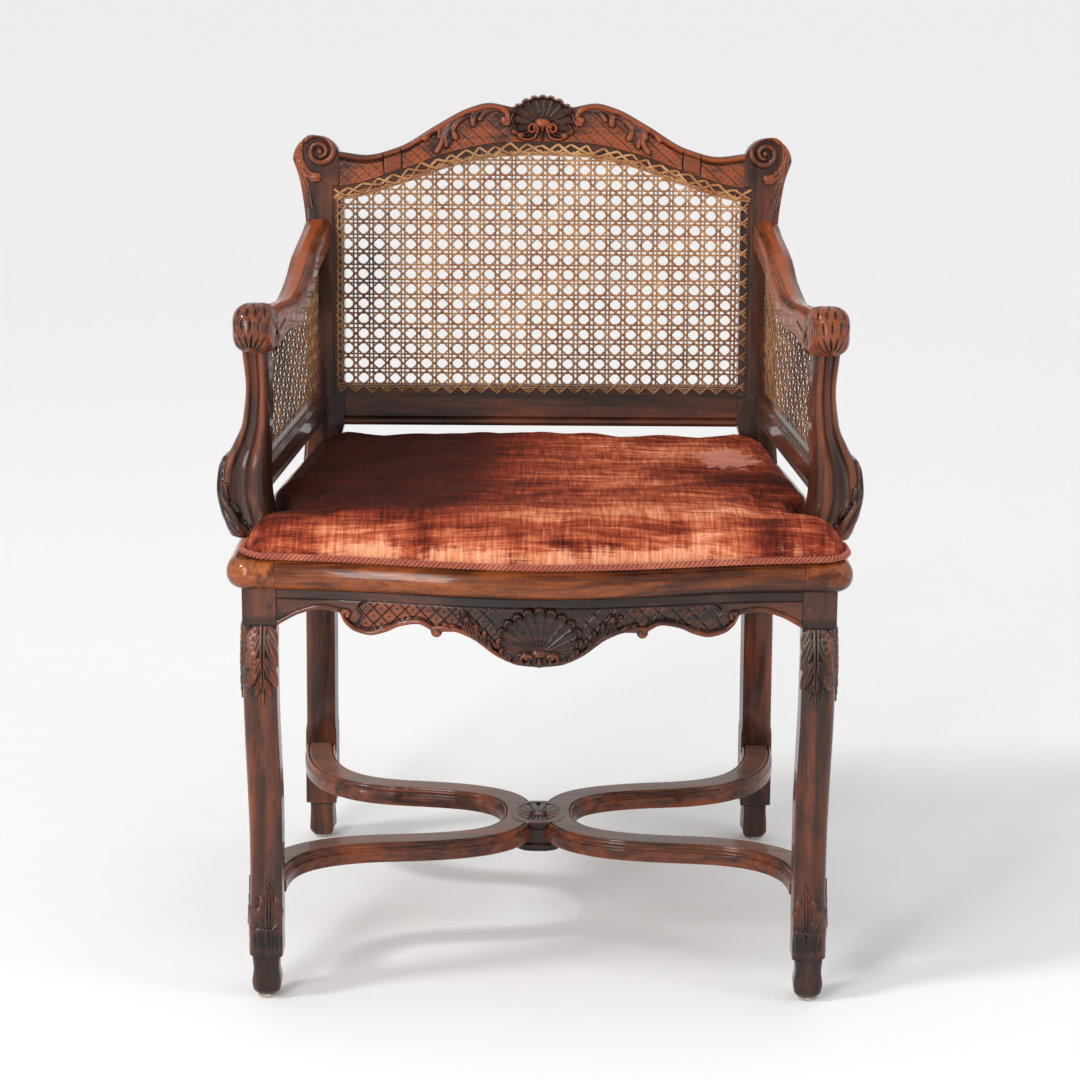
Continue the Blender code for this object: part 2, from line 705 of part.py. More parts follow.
def fluted_shell(name, frame, radius, relief, back, lobes, half_angle):
    """A carved shell as a solid fan. Its frame gives across, forwards and up."""
    origin, across, forward, up = frame
    steps = lobes * 4
    bm = bmesh.new()
    hinge = [bm.verts.new(origin + forward * depth) for depth in (relief * 0.5, -back)]
    rows = []
    for i in range(steps + 1):
        turn = i / steps
        angle = -half_angle + 2 * half_angle * turn
        scallop = 1 - 0.07 * (1 - math.sqrt(abs(math.sin(math.pi * turn * lobes))))
        row = []
        for share in (0.30, 0.65, 0.92, 1.0):
            out = radius * share * scallop
            drop = 0.55 if share == 1.0 else 1.0
            rise = relief * drop * shell_rise(share, math.pi * turn, lobes)
            flat = origin + across * out * math.sin(angle) + up * out * math.cos(angle)
            row.append(bm.verts.new(flat + forward * rise))
        row.append(bm.verts.new(flat - forward * back))
        rows.append(row)
    for here, there in zip(rows, rows[1:]):
        bm.faces.new((hinge[0], here[0], there[0]))
        for i in range(4):
            bm.faces.new((here[i], here[i + 1], there[i + 1], there[i]))
        bm.faces.new((hinge[1], there[4], here[4]))
    bm.faces.new([hinge[1]] + rows[0][::-1] + [hinge[0]])
    bm.faces.new([hinge[0]] + rows[-1] + [hinge[1]])
    bmesh.ops.recalc_face_normals(bm, faces=bm.faces)
    return mesh_object(name, bm, "walnut")


def crest_rail():
    inner_end = CREST_JOINT_X - GAP
    stations = spread(-inner_end, inner_end, 37)
    rings = [crest_place(x).ring(crest_section(x)) for x in stations]
    section = crest_section(CREST_JOINT_X)
    ends = {side: crest_tenon(side) for side in (-1, 1)}
    rings = ends[-1].rings(section)[::-1] + rings + ends[1].rings(section)
    crest = loft("crest_rail", rings, "walnut")
    hinge = back_point(0, -CREST_DEPTH / 2 - 0.001, CREST_NECK - CREST_SHELL_DROP)
    frame = (hinge, X_AXIS, -RAKED_BACK, RAKED_UP)
    shell = fluted_shell("crest_shell", frame, CREST_SHELL_RADIUS, CREST_RELIEF, CREST_DEPTH * 0.6, 9, math.radians(112))
    add_boolean(crest, as_cutter(shell), "UNION")
    return crest


def back_lower_rail_tenon(side):
    place = Place(back_point(side * (STILE_INNER_X - GAP), 0, 0), RAKED_BACK, RAKED_UP)
    middle = BACK_CANE_BOTTOM - 0.010
    return Tenon(place, (-TENON_THICK / 2, TENON_THICK / 2), (middle - 0.010, middle + 0.010), X_AXIS * side)


def back_lower_rail():
    """The rail under the back's cane, with a bead run along its lower front edge."""
    half = CREST_DEPTH / 2
    top = BACK_CANE_BOTTOM + CANE_REBATE_WIDTH
    low, bead = BACK_RAIL_BOTTOM, BACK_RAIL_BEAD
    section = [
        (half, low), (half, top), (-half, top), (-half, low + bead * 1.5), (-half + 0.002, low + bead * 1.2),
        (-half - 0.001, low + bead * 0.9), (-half - 0.002, low + bead * 0.5), (-half, low),
    ]
    ends = {side: back_lower_rail_tenon(side) for side in (-1, 1)}
    rings = ends[-1].rings(section)[::-1] + [ends[-1].place.ring(section), ends[1].place.ring(section)]
    return loft("back_lower_rail", rings + ends[1].rings(section), "walnut")


def back_rebate():
    """The shallow step round the back's opening in which the cane's border lies."""
    edge = STILE_INNER_X + CANE_REBATE_WIDTH
    floor = -STILE_DEPTH / 2 + CANE_REBATE_DEPTH
    front = -STILE_DEPTH / 2 - CUT_LEAD
    rings = []
    for x in spread(-edge, edge, 25):
        low, high = BACK_CANE_BOTTOM, cane_top(abs(x))
        rings.append(crest_place(x).ring([(front, low), (floor, low), (floor, high), (front, high)]))
    return as_cutter(loft("back_rebate", rings, "walnut"))


# Cane

def cane_sheet(name, lines_u, lines_v, point, open_cell):
    """A flat net: a grid of cells whose open ones are taken out, thickened to one sheet."""
    bm = bmesh.new()
    bmesh.ops.create_grid(bm, x_segments=len(lines_u) - 1, y_segments=len(lines_v) - 1, size=1)
    bm.verts.ensure_lookup_table()
    bm.faces.ensure_lookup_table()
    across = sorted({round(vert.co.x, 5) for vert in bm.verts})
    along = sorted({round(vert.co.y, 5) for vert in bm.verts})
    cell = {}
    for face in bm.faces:
        low = [min(vert.co[axis] for vert in face.verts) for axis in (0, 1)]
        cell[face] = (across.index(round(low[0], 5)), along.index(round(low[1], 5)))
    for vert in bm.verts:
        i, j = across.index(round(vert.co.x, 5)), along.index(round(vert.co.y, 5))
        vert.co = point(lines_u[i], lines_v[j])
    bmesh.ops.delete(bm, geom=[face for face in bm.faces if open_cell(*cell[face])], context="FACES_ONLY")
    bmesh.ops.remove_doubles(bm, verts=bm.verts, dist=WELD)
    bmesh.ops.dissolve_degenerate(bm, edges=bm.edges, dist=WELD)
    loose = [vert for vert in bm.verts if not vert.link_faces]
    bmesh.ops.delete(bm, geom=loose, context="VERTS")
    net = mesh_object(name, bm, "cane")
    solid = net.modifiers.new("thickness", "SOLIDIFY")
    solid.thickness = CANE_THICK
    solid.offset = 0
    return net


def hole_lines(first, last, count):
    """Grid lines of a row of gaps: the border's edge, then both sides of each gap, then the border."""
    pitch = (last - first - 2 * CANE_BORDER) / count
    lines = [first]
    for i in range(count):
        middle = first + CANE_BORDER + pitch * (i + 0.5)
        lines += [middle - pitch * CANE_HOLE_SHARE / 2, middle + pitch * CANE_HOLE_SHARE / 2]
    return lines + [last]


def is_gap(i, j):
    return i % 2 == 1 and j % 2 == 1


def back_cane():
    """The back's cane. Its rows stay level and stop where its border follows the crest's arch."""
    edge = STILE_INNER_X + CANE_REBATE_WIDTH - GAP
    low, top = BACK_CANE_BOTTOM + GAP, BACK_CANE_TOP - GAP
    lines_x = hole_lines(-edge, edge, BACK_CANE_COLUMNS)
    rows = int((top - low - 2 * CANE_BORDER) / BACK_CANE_PITCH)
    lines_up = [low]
    for j in range(rows + 1):
        middle = low + CANE_BORDER + BACK_CANE_PITCH * (j + 0.5)
        lines_up += [middle - BACK_CANE_PITCH * CANE_HOLE_SHARE / 2, middle + BACK_CANE_PITCH * CANE_HOLE_SHARE / 2]
    lines_up.append(top)
    depth = -STILE_DEPTH / 2 + CANE_REBATE_DEPTH - GAP - CANE_THICK / 2

    def inner_top(x):
        return cane_top(abs(x)) - GAP - CANE_BORDER

    def point(x, up):
        high = cane_top(abs(x)) - GAP if up == top else min(up, inner_top(x))
        return back_point(x, depth, high)

    def open_cell(i, j):
        if not is_gap(i, j):
            return False
        room = min(inner_top(lines_x[i]), inner_top(lines_x[i + 1])) - lines_up[j]
        return room > BACK_CANE_PITCH * CANE_HOLE_SHARE * 0.35

    return cane_sheet("cane_back", lines_x, lines_up, point, open_cell)


SEAT_CANE_EASE = 0.0006


def seat_cane():
    """The seat's cane, in the rebate of the seat frame."""
    inset = CANE_REBATE_WIDTH - SEAT_CANE_EASE
    back = STILE_FRONT_Y + GAP + inset
    height = SEAT_HEIGHT - CANE_REBATE_DEPTH + GAP + CANE_THICK / 2
    corner_y = seat_front_inner(CREASE_X) - inset
    ends = {"front": CREASE_X + 0.002, "back": BACK_LEG_X - BACK_LEG_WIDTH / 2 - 4 * GAP}

    def point(across, along):
        half = ends["front"] + (ends["back"] - ends["front"]) * along
        x = across * half
        front = seat_front_inner(x) - inset
        return Vector((x, front + (back - front) * along, height))

    lines_u = [line * 2 - 1 for line in net_shares(SEAT_CANE_COLUMNS, CANE_BORDER / (2 * ends["front"]))]
    lines_v = net_shares(SEAT_CANE_ROWS, CANE_BORDER / (back - corner_y))
    return cane_sheet("cane_seat", lines_u, lines_v, point, is_gap)


def net_shares(count, border):
    """The grid lines of a row of gaps as shares from 0 to 1."""
    pitch = (1 - 2 * border) / count
    lines = [0.0]
    for i in range(count):
        middle = border + pitch * (i + 0.5)
        lines += [middle - pitch * CANE_HOLE_SHARE / 2, middle + pitch * CANE_HOLE_SHARE / 2]
    return lines + [1.0]


# Side frames: arm, arm post, lower rail and cane

ARM_STILE_Y = BACK_LEG_Y - STILE_DEPTH / 2


@dataclass
class SideFrame:
    """The upright plane of one arm: s runs back from the post, n points out from the chair."""

    side: int

    def __post_init__(self):
        self.foot = Vector((self.side * POST_X, POST_Y, SEAT_HEIGHT))
        run = Vector((self.side * ARM_STILE_X, ARM_STILE_Y, SEAT_HEIGHT)) - self.foot
        self.length = run.length
        self.s = run.normalized()
        self.n = Vector((self.s.y, -self.s.x, 0)) * self.side

    def point(self, s, n, height):
        return self.foot + self.s * s + self.n * n + Z_AXIS * height

    def place(self, s, height=0.0):
        """A section across the side frame: u points out and v up."""
        return Place(self.point(s, 0, height), self.n, Z_AXIS)

    def stile_face(self, height):
        """How far back the raked front of the stile is at a height above the seat."""
        lean = math.tan(BACK_RAKE) * height + STILE_DEPTH / 2 * (1 - 1 / math.cos(BACK_RAKE))
        return self.length + lean / self.s.y


SIDE_LENGTH = SideFrame(1).length
POST_HALF = POST_DEPTH / 2
# Post: height as a share of its own, inner edge, outer edge, front, back
POST = (
    (0.00, -0.0205, 0.0235, -POST_HALF - POST_FOOT_FLARE, POST_HALF + 0.0015),
    (0.08, -0.0170, 0.0318, -POST_HALF - POST_FOOT_FLARE * 0.9, POST_HALF + 0.0015),
    (0.25, -0.0115, 0.0395, -POST_HALF - POST_FOOT_FLARE * 0.6, POST_HALF + 0.0010),
    (0.36, -0.0112, 0.0370, -POST_HALF - POST_FOOT_FLARE * 0.4, POST_HALF + 0.0005),
    (0.50, -0.0120, 0.0240, -POST_HALF, POST_HALF),
    (0.62, -0.0135, 0.0145, -POST_HALF, POST_HALF),
    (0.82, -0.0138, 0.0104, -POST_HALF, POST_HALF),
    (1.00, -0.0134, 0.0135, -POST_HALF, POST_HALF),
)
post_inner, post_outer, post_front, post_back = (
    smooth_through([(row[0], row[k]) for row in POST]) for k in (1, 2, 3, 4)
)
arm_top = smooth_through((
    (-ARM_KNUCKLE_REACH, ARM_POST_TOP + ARM_KNUCKLE_RADIUS),
    (-ARM_KNUCKLE_REACH + 0.004, ARM_POST_TOP + ARM_KNUCKLE_RADIUS * 1.55),
    (-ARM_KNUCKLE_REACH + 0.012, ARM_POST_TOP + ARM_KNUCKLE_RADIUS * 1.86),
    (-ARM_KNUCKLE_REACH + 0.025, ARM_POST_TOP + ARM_KNUCKLE_RADIUS * 2),
    (0.000, ARM_POST_TOP + ARM_KNUCKLE_RADIUS * 1.92),
    (0.022, ARM_POST_TOP + ARM_KNUCKLE_RADIUS * 1.62),
    (0.060, ARM_DIP + 0.0085),
    (0.100, ARM_DIP + 0.0060),
    (0.175, ARM_DIP),
    (0.245, ARM_DIP + 0.0140),
    (0.293, ARM_DIP + 0.0345),
    (SIDE_LENGTH + 0.035, ARM_STILE_TOP + 0.004),
))
arm_low = smooth_through((
    (-ARM_KNUCKLE_REACH, ARM_POST_TOP + ARM_KNUCKLE_RADIUS * 0.9),
    (-ARM_KNUCKLE_REACH + 0.004, ARM_POST_TOP + ARM_KNUCKLE_RADIUS * 0.42),
    (-ARM_KNUCKLE_REACH + 0.012, ARM_POST_TOP + ARM_KNUCKLE_RADIUS * 0.12),
    (-ARM_KNUCKLE_REACH + 0.021, ARM_POST_TOP),
    (0.0185, ARM_POST_TOP),
    (0.030, ARM_POST_TOP - 0.006),
    (0.060, ARM_POST_TOP - 0.003),
    (0.110, ARM_DIP + 0.005 - ARM_DEPTH),
    (0.175, ARM_DIP - ARM_DEPTH),
    (0.245, ARM_DIP + 0.0140 - ARM_DEPTH),
    (0.293, ARM_DIP + 0.0345 - ARM_DEPTH),
    (SIDE_LENGTH + 0.035, ARM_STILE_TOP + 0.003 - ARM_DEPTH),
))
arm_half = smooth_through((
    (-ARM_KNUCKLE_REACH, ARM_KNUCKLE_WIDTH * 0.34),
    (-ARM_KNUCKLE_REACH + 0.010, ARM_KNUCKLE_WIDTH * 0.49),
    (-0.010, ARM_KNUCKLE_WIDTH * 0.50),
    (0.016, ARM_KNUCKLE_WIDTH * 0.47),
    (0.045, ARM_WIDTH * 0.54),
    (0.090, ARM_WIDTH / 2),
    (SIDE_LENGTH + 0.035, ARM_WIDTH / 2),
))


arm_ease = smooth_through(((-ARM_KNUCKLE_REACH, 0.012), (0.000, 0.0145), (0.050, 0.0090), (SIDE_LENGTH, 0.0085)))
arm_under_ease = smooth_through((
    (-ARM_KNUCKLE_REACH, 0.0100), (-0.024, 0.0100), (-0.012, 0.0045), (0.050, 0.0035), (SIDE_LENGTH, 0.0035),
))


def arm_section(s):
    half, low, high = arm_half(s), arm_low(s), arm_top(s)
    most = 0.48 * min(2 * half, high - low)
    upper, lower = min(arm_ease(s), most), min(arm_under_ease(s), most)
    return rounded_box(-half, half, low, high, (upper, upper, lower, lower))


def arm_tenon(frame):
    """The arm's tenon into the stile. The shoulder leans with the stile's raked front."""
    middle = ARM_STILE_TOP - ARM_DEPTH / 2
    lean = Y_AXIS * math.tan(BACK_RAKE) + Z_AXIS
    origin = frame.point(frame.stile_face(middle), 0, middle) - lean * middle - Y_AXIS * GAP
    place = Place(origin, X_AXIS * frame.side, lean)
    return Tenon(place, (-TENON_THICK / 2, TENON_THICK / 2), (middle - 0.009, middle + 0.009), Y_AXIS, 0.012)


def arm(name, frame):
    tenon = arm_tenon(frame)
    front = [-ARM_KNUCKLE_REACH + step for step in (0, 0.0015, 0.004, 0.008, 0.013, 0.019, 0.026)]
    run = front + spread(0.004, 0.06, 5) + spread(0.085, SIDE_LENGTH - 0.03, 10)
    rings = [frame.place(s).ring(arm_section(s)) for s in run]
    end = arm_section(frame.stile_face(ARM_STILE_TOP - ARM_DEPTH / 2))
    rings += [tenon.place.ring(end)] + tenon.rings(end)
    return loft(f"arm_{name}", rings, "walnut")


def post_place(frame, height):
    """A level section of the post: u points out and v forwards."""
    return Place(frame.point(0, 0, height), frame.n, -frame.s)


def post_section(share):
    """Two round ribs with a hollow between them on the post's front."""
    inner, outer = post_inner(share), post_outer(share)
    front, back = -post_front(share), -post_back(share)
    valley = inner + (outer - inner) * 0.46
    hollow = 0.0035
    width = outer - inner
    return [
        (outer, front - 0.010), (outer - width * 0.08, front - 0.003), (outer - width * 0.25, front),
        (valley + width * 0.10, front - hollow * 0.5), (valley, front - hollow),
        (valley - width * 0.10, front - hollow * 0.5), (inner + width * 0.20, front),
        (inner + width * 0.05, front - 0.003), (inner, front - 0.010),
        (inner, back + 0.003), (inner + 0.003, back), (outer - 0.003, back), (outer, back + 0.003),
    ]


POST_HEIGHT = ARM_POST_TOP - GAP


def post_foot_tenon(frame):
    place = post_place(frame, GAP)
    return Tenon(place, (-0.008, 0.008), (-0.009, 0.009), -Z_AXIS, SEAT_THICK * 0.5)


def post_head_tenon(frame):
    place = post_place(frame, POST_HEIGHT)
    return Tenon(place, (-0.006, 0.006), (-0.007, 0.007), Z_AXIS, 0.014)


def arm_post(name, frame):
    shares = spread(0, 0.30, 6) + spread(0.36, 1, 8)
    rings = post_foot_tenon(frame).rings(post_section(0))[::-1]
    rings += [post_place(frame, GAP + (POST_HEIGHT - GAP) * share).ring(post_section(share)) for share in shares]
    rings += post_head_tenon(frame).rings(post_section(1))
    return loft(f"arm_post_{name}", rings, "walnut")


def side_rail_section():
    """The lower rail of a side frame, with an eased top and a bead on its inner face."""
    half, low, high = SIDE_RAIL_THICK / 2, SIDE_RAIL_BOTTOM, SIDE_RAIL_BOTTOM + SIDE_RAIL_HEIGHT
    return [
        (half, low + 0.003), (half, high - 0.004), (half - 0.004, high), (-half + 0.004, high),
        (-half, high - 0.004), (-half, low + 0.009), (-half + 0.002, low + 0.007), (-half - 0.001, low + 0.003),
        (-half + 0.003, low), (half - 0.003, low),
    ]


def lower_rail_tenons(frame):
    middle = SIDE_RAIL_BOTTOM + SIDE_RAIL_HEIGHT / 2
    reach = (middle - 0.008, middle + 0.008)
    width = (-TENON_THICK / 2, TENON_THICK / 2)
    highest_back = max(post_back(h / ARM_POST_TOP) for h in (SIDE_RAIL_BOTTOM, middle, middle * 2 - SIDE_RAIL_BOTTOM))
    front = Tenon(frame.place(highest_back + GAP), width, reach, -frame.s, 0.012)
    shoulder = Place(frame.point(frame.stile_face(SIDE_RAIL_BOTTOM), 0, 0) - Y_AXIS * GAP, X_AXIS * frame.side, Z_AXIS)
    return front, Tenon(shoulder, width, reach, Y_AXIS, 0.012)


def side_lower_rail(name, frame):
    front, back = lower_rail_tenons(frame)
    section = side_rail_section()
    rings = front.rings(section)[::-1] + [front.place.ring(section), back.place.ring(section)] + back.rings(section)
    return loft(f"side_lower_rail_{name}", rings, "walnut")


def side_cane(name, frame):
    """The cane under an arm: it fills the opening between post, arm, stile and lower rail."""
    ease = 2 * GAP
    low = SIDE_RAIL_BOTTOM + SIDE_RAIL_HEIGHT + ease
    border = CANE_BORDER * 0.6

    def top(s):
        return min(arm_low(s + step) for step in (-0.004, 0, 0.004)) - 2 * ease

    def point(across, along):
        s = POST_HALF + (frame.stile_face(low) - POST_HALF) * across
        height = low + (top(s) - low) * along
        first = post_back(min(height / ARM_POST_TOP, 1)) + ease
        last = frame.stile_face(height) - ease
        s = first + (last - first) * across
        return frame.point(s, 0, low + (top(s) - low) * along)

    lines_u = net_shares(SIDE_CANE_COLUMNS, border / SIDE_LENGTH)
    lines_v = net_shares(SIDE_CANE_ROWS, border / (ARM_POST_TOP - SIDE_RAIL_BOTTOM))
    return cane_sheet(f"cane_side_{name}", lines_u, lines_v, point, is_gap)


# Aprons

apron_depth = smooth_through((
    (0.0000, APRON_CENTRE_DEPTH),
    (0.0200, APRON_CENTRE_DEPTH - 0.002),
    (0.0395, APRON_CENTRE_DEPTH - 0.0095),
    (0.0690, 0.0415),
    (0.0850, 0.0367),
    (APRON_BALL_X, APRON_BALL_DEPTH),
    (0.1200, 0.0310),
    (0.1380, 0.0345),
    (0.1530, 0.0415),
    (0.1680, 0.0453),
    (0.1830, 0.0420),
    (0.1930, 0.0340),
    (0.1990, 0.0235),
    (0.2180, 0.0210),
    (0.2380, 0.0262),
    (FRONT_LEG_X - LEG_HALF, APRON_END_DEPTH),
))


def apron_edge(x):
    """How deep the front apron is, with the round end of each scroll hanging from its lower edge."""
    aside = (abs(x) - APRON_BALL_X) / APRON_BALL_RADIUS
    ball = APRON_BALL_DEPTH + APRON_BALL_RADIUS * math.sqrt(max(1 - aside**2, 0))
    return max(apron_depth(abs(x)), ball) if abs(aside) < 1 else apron_depth(abs(x))


def apron_stations(end):
    """Even steps along the front apron, with closer ones round each ball."""
    even = [x for x in spread(-end, end, 61) if abs(abs(x) - APRON_BALL_X) > APRON_BALL_RADIUS + 0.001]
    turns = [math.cos(math.radians(a)) for a in range(0, 181, 30)]
    round_ball = [APRON_BALL_X + APRON_BALL_RADIUS * turn for turn in turns]
    return sorted(even + round_ball + [-x for x in round_ball])


def apron_front_face(x):
    return seat_front(x) + APRON_SET_BACK


def front_apron_place(x):
    return Place(Vector((x, apron_front_face(x), LEG_TOP)), -Y_AXIS, -Z_AXIS)


def front_apron_section(x):
    """A slice of the front apron: a plain band at its top, and an eased lower edge."""
    depth = apron_edge(x)
    return [
        (-APRON_THICK, 0), (0.0015, 0), (0.0015, 0.008), (0, 0.0095), (0, depth - 0.003),
        (-0.003, depth), (-APRON_THICK, depth),
    ]


def front_apron_tenon(side):
    end = FRONT_LEG_X - LEG_HALF - GAP
    return Tenon(front_apron_place(side * end), (-0.016, -0.006), (0.007, APRON_END_DEPTH - 0.008), X_AXIS * side)


def apron_front():
    end = FRONT_LEG_X - LEG_HALF - GAP
    stations = apron_stations(end)
    rings = [front_apron_place(x).ring(front_apron_section(x)) for x in stations]
    section = front_apron_section(end)
    ends = {side: front_apron_tenon(side) for side in (-1, 1)}
    apron = loft("apron_front", ends[-1].rings(section)[::-1] + rings + ends[1].rings(section), "walnut")
    hinge = Vector((0, apron_front_face(0) - 0.0005, LEG_TOP - APRON_CENTRE_DEPTH + 0.018))
    frame = (hinge, X_AXIS, -Y_AXIS, Z_AXIS)
    shell = fluted_shell("apron_shell", frame, APRON_SHELL_RADIUS, APRON_RELIEF, 0.004, 9, math.radians(105))
    add_boolean(apron, as_cutter(shell), "UNION")
    return apron


def side_apron_ends(side):
    front_x = FRONT_LEG_X + 0.006
    back_x = BACK_LEG_X + 0.006
    front = Vector((side * front_x, FRONT_LEG_Y + LEG_HALF + GAP, LEG_TOP))
    back = Vector((side * back_x, STILE_FRONT_Y - GAP, LEG_TOP))
    return front, back


def side_apron_section(depth):
    half = APRON_THICK / 2
    return [(-half, 0), (half, 0), (half, depth - 0.003), (half - 0.003, depth), (-half, depth)]


def side_apron_tenons(side):
    front, back = side_apron_ends(side)
    axis = (back - front).normalized()
    across = Vector((axis.y, -axis.x, 0)) * side
    reach = (0.007, SIDE_APRON_DEPTH - 0.008)
    width = (-TENON_THICK / 2, TENON_THICK / 2)
    return (
        Tenon(Place(front, X_AXIS * side, -Z_AXIS), width, reach, -Y_AXIS),
        Tenon(Place(back, X_AXIS * side, -Z_AXIS), width, reach, Y_AXIS),
        across,
    )


def apron_side(name, side):
    """A side apron: its lower edge rises from the legs to a shallow double curve."""
    front, back, across = side_apron_tenons(side)
    rings = front.rings(side_apron_section(SIDE_APRON_DEPTH))[::-1]
    for share in spread(0, 1, 17):
        origin = front.place.origin.lerp(back.place.origin, share)
        wave = math.sin(math.pi * share) ** 0.6 - 0.45 * math.exp(-((share - 0.5) / 0.12) ** 2)
        depth = SIDE_APRON_DEPTH - SIDE_APRON_RISE * wave
        rings.append(Place(origin, X_AXIS * side, -Z_AXIS).ring(side_apron_section(depth)))
    rings += back.rings(side_apron_section(SIDE_APRON_DEPTH))
    return loft(f"apron_{name}", rings, "walnut")


def back_apron_tenon(side):
    place = Place(Vector((side * (BACK_LEG_X - BACK_LEG_WIDTH / 2 - GAP), BACK_LEG_Y, LEG_TOP)), Y_AXIS, -Z_AXIS)
    return Tenon(place, (-TENON_THICK / 2, TENON_THICK / 2), (0.007, BACK_APRON_DEPTH - 0.008), X_AXIS * side)


def apron_back():
    ends = {side: back_apron_tenon(side) for side in (-1, 1)}
    section = side_apron_section(BACK_APRON_DEPTH)
    rings = ends[-1].rings(section)[::-1] + [ends[-1].place.ring(section), ends[1].place.ring(section)]
    return loft("apron_back", rings + ends[1].rings(section), "walnut")


# Stretcher

STRETCHER_LOW = STRETCHER_TOP - STRETCHER_HEIGHT
BLOCK_FACE = 0.052


def bezier(points, t):
    """A point on a Bezier curve of any degree."""
    while len(points) > 1:
        points = [a.lerp(b, t) for a, b in zip(points, points[1:])]
    return points[0]


def stretcher_path(side, end):
    """Middle line of one arm in plan, from its leg to the centre block."""
    if end == "front":
        leg_x = FRONT_LEG_X + leg_out(shank_share(STRETCHER_TOP))
        leg_y = max(front_leg_back_face(z) for z in spread(STRETCHER_LOW, STRETCHER_TOP, 4)) + 2 * GAP
        turn_y, leave = STRETCHER_RUN_FRONT, 0.075
    else:
        leg_x, back_y = back_leg_centre(STRETCHER_TOP)
        leg_y = back_y - BACK_LEG_DEPTH / 2 - 3 * GAP
        turn_y, leave = STRETCHER_RUN_BACK, -0.105
    across = leg_x - STRETCHER_WAIST
    waist = Vector((side * STRETCHER_WAIST, STRETCHER_CENTRE_Y, 0))
    middle = Vector((side * (STRETCHER_WAIST + across * 0.50), turn_y, 0))
    slope = Vector((side * across * 0.30, (leg_y - turn_y) * 0.06, 0))
    leg = Vector((side * leg_x, leg_y, 0))
    outer = [leg, leg + Vector((0, leave, 0)), middle + slope, middle]
    inner = [middle, middle - slope * 1.15, waist + Vector((0, (turn_y - STRETCHER_CENTRE_Y) * 0.95, 0)), waist]
    line = [bezier(outer, t) for t in spread(0, 1, 13)] + [bezier(inner, t) for t in spread(0, 1, 13)[1:]]
    return [point for point in line if abs(point.y - STRETCHER_CENTRE_Y) > BLOCK_FACE * 0.62 or abs(point.x) > 0.06]


def stretcher_section():
    """A moulded bar, seen from its end: v is up from its underside."""
    half, high = STRETCHER_WIDTH / 2, STRETCHER_HEIGHT
    return [
        (half, 0.002), (half, high - 0.008), (half - 0.003, high - 0.0055), (half - 0.003, high - 0.003),
        (half - 0.006, high), (-half + 0.006, high), (-half + 0.003, high - 0.003),
        (-half + 0.003, high - 0.0055), (-half, high - 0.008), (-half, 0.002), (-half + 0.002, 0), (half - 0.002, 0),
    ]


def stretcher_stations(side, end):
    """Sections square to the line. The first is square to the leg's face."""
    line = stretcher_path(side, end)
    lift = Z_AXIS * STRETCHER_LOW
    stations = []
    for i, point in enumerate(line):
        ahead = line[min(i + 1, len(line) - 1)] - line[max(i - 1, 0)]
        along = Y_AXIS * (1 if end == "front" else -1) if i == 0 else ahead.normalized()
        stations.append((Place(point + lift, Vector((along.y, -along.x, 0)), Z_AXIS), along))
    return stations


def stretcher_tenons(side, end):
    stations = stretcher_stations(side, end)
    u_range, v_range = (-0.007, 0.007), (0.005, STRETCHER_HEIGHT - 0.007)
    first, first_along = stations[0]
    last, last_along = stations[-1]
    return (
        Tenon(first, u_range, v_range, -first_along, 0.012),
        Tenon(last, u_range, v_range, last_along, 0.012),
    )


def stretcher_arm(name, side, end):
    section = stretcher_section()
    at_leg, at_block = stretcher_tenons(side, end)
    rings = at_leg.rings(section)[::-1]
    rings += [place.ring(section) for place, along in stretcher_stations(side, end)]
    rings += at_block.rings(section)
    return loft(f"stretcher_{end}_{name}", rings, "walnut")


def block_corners(side, end):
    """The two plan corners of an arm's inner end, the outer one first."""
    place, along = stretcher_stations(side, end)[-1]
    corners = [place.origin + along * GAP + place.u * half for half in (-STRETCHER_WIDTH / 2, STRETCHER_WIDTH / 2)]
    return sorted(corners, key=lambda corner: -abs(corner.x))


def stretcher_block_outline():
    """Plan of the centre block: a face for each arm, hollow flanks, and straight front and back."""
    outline = []
    for side in (-1, 1):
        half = [block_corners(side, "back"), block_corners(side, "front")]
        back_outer, back_inner = half[0]
        front_outer, front_inner = half[1]
        waist = Vector((side * (STRETCHER_WAIST + STRETCHER_WIDTH / 2), STRETCHER_CENTRE_Y, back_outer.z))
        flank = [bezier([back_outer, waist, front_outer], t) for t in spread(0, 1, 7)]
        outline.append([back_inner] + flank + [front_inner])
    return outline[0] + outline[1][::-1]


def stretcher_centre():
    """The block that the four arms are tenoned into, with an oval boss on its top."""
    outline = stretcher_block_outline()
    low, high = STRETCHER_TOP - STRETCHER_BLOCK_HEIGHT, STRETCHER_TOP + 0.0005
    middle = Vector((0, STRETCHER_CENTRE_Y, 0))

    def scaled(share, z):
        return [Vector(((p.x - middle.x) * share, middle.y + (p.y - middle.y) * share, z)) for p in outline]

    rings = [scaled(0.80, low), scaled(0.92, low + 0.004), scaled(0.92, low + 0.007)]
    rings += [scaled(0.84, low + 0.009), scaled(1.0, STRETCHER_LOW), scaled(1.0, high - 0.002), scaled(0.97, high)]
    block = loft("stretcher_centre", rings, "walnut")
    bpy.ops.mesh.primitive_cylinder_add(vertices=24, radius=0.5, depth=1)
    boss = finish_object(bpy.context.object, "patera_boss", "walnut")
    boss.data.transform(Matrix.Diagonal((PATERA_WIDTH, PATERA_LENGTH, 2 * PATERA_RISE, 1)))
    boss.location = (0, STRETCHER_CENTRE_Y, high)
    add_boolean(block, as_cutter(boss), "UNION")
    return block


# Cushion

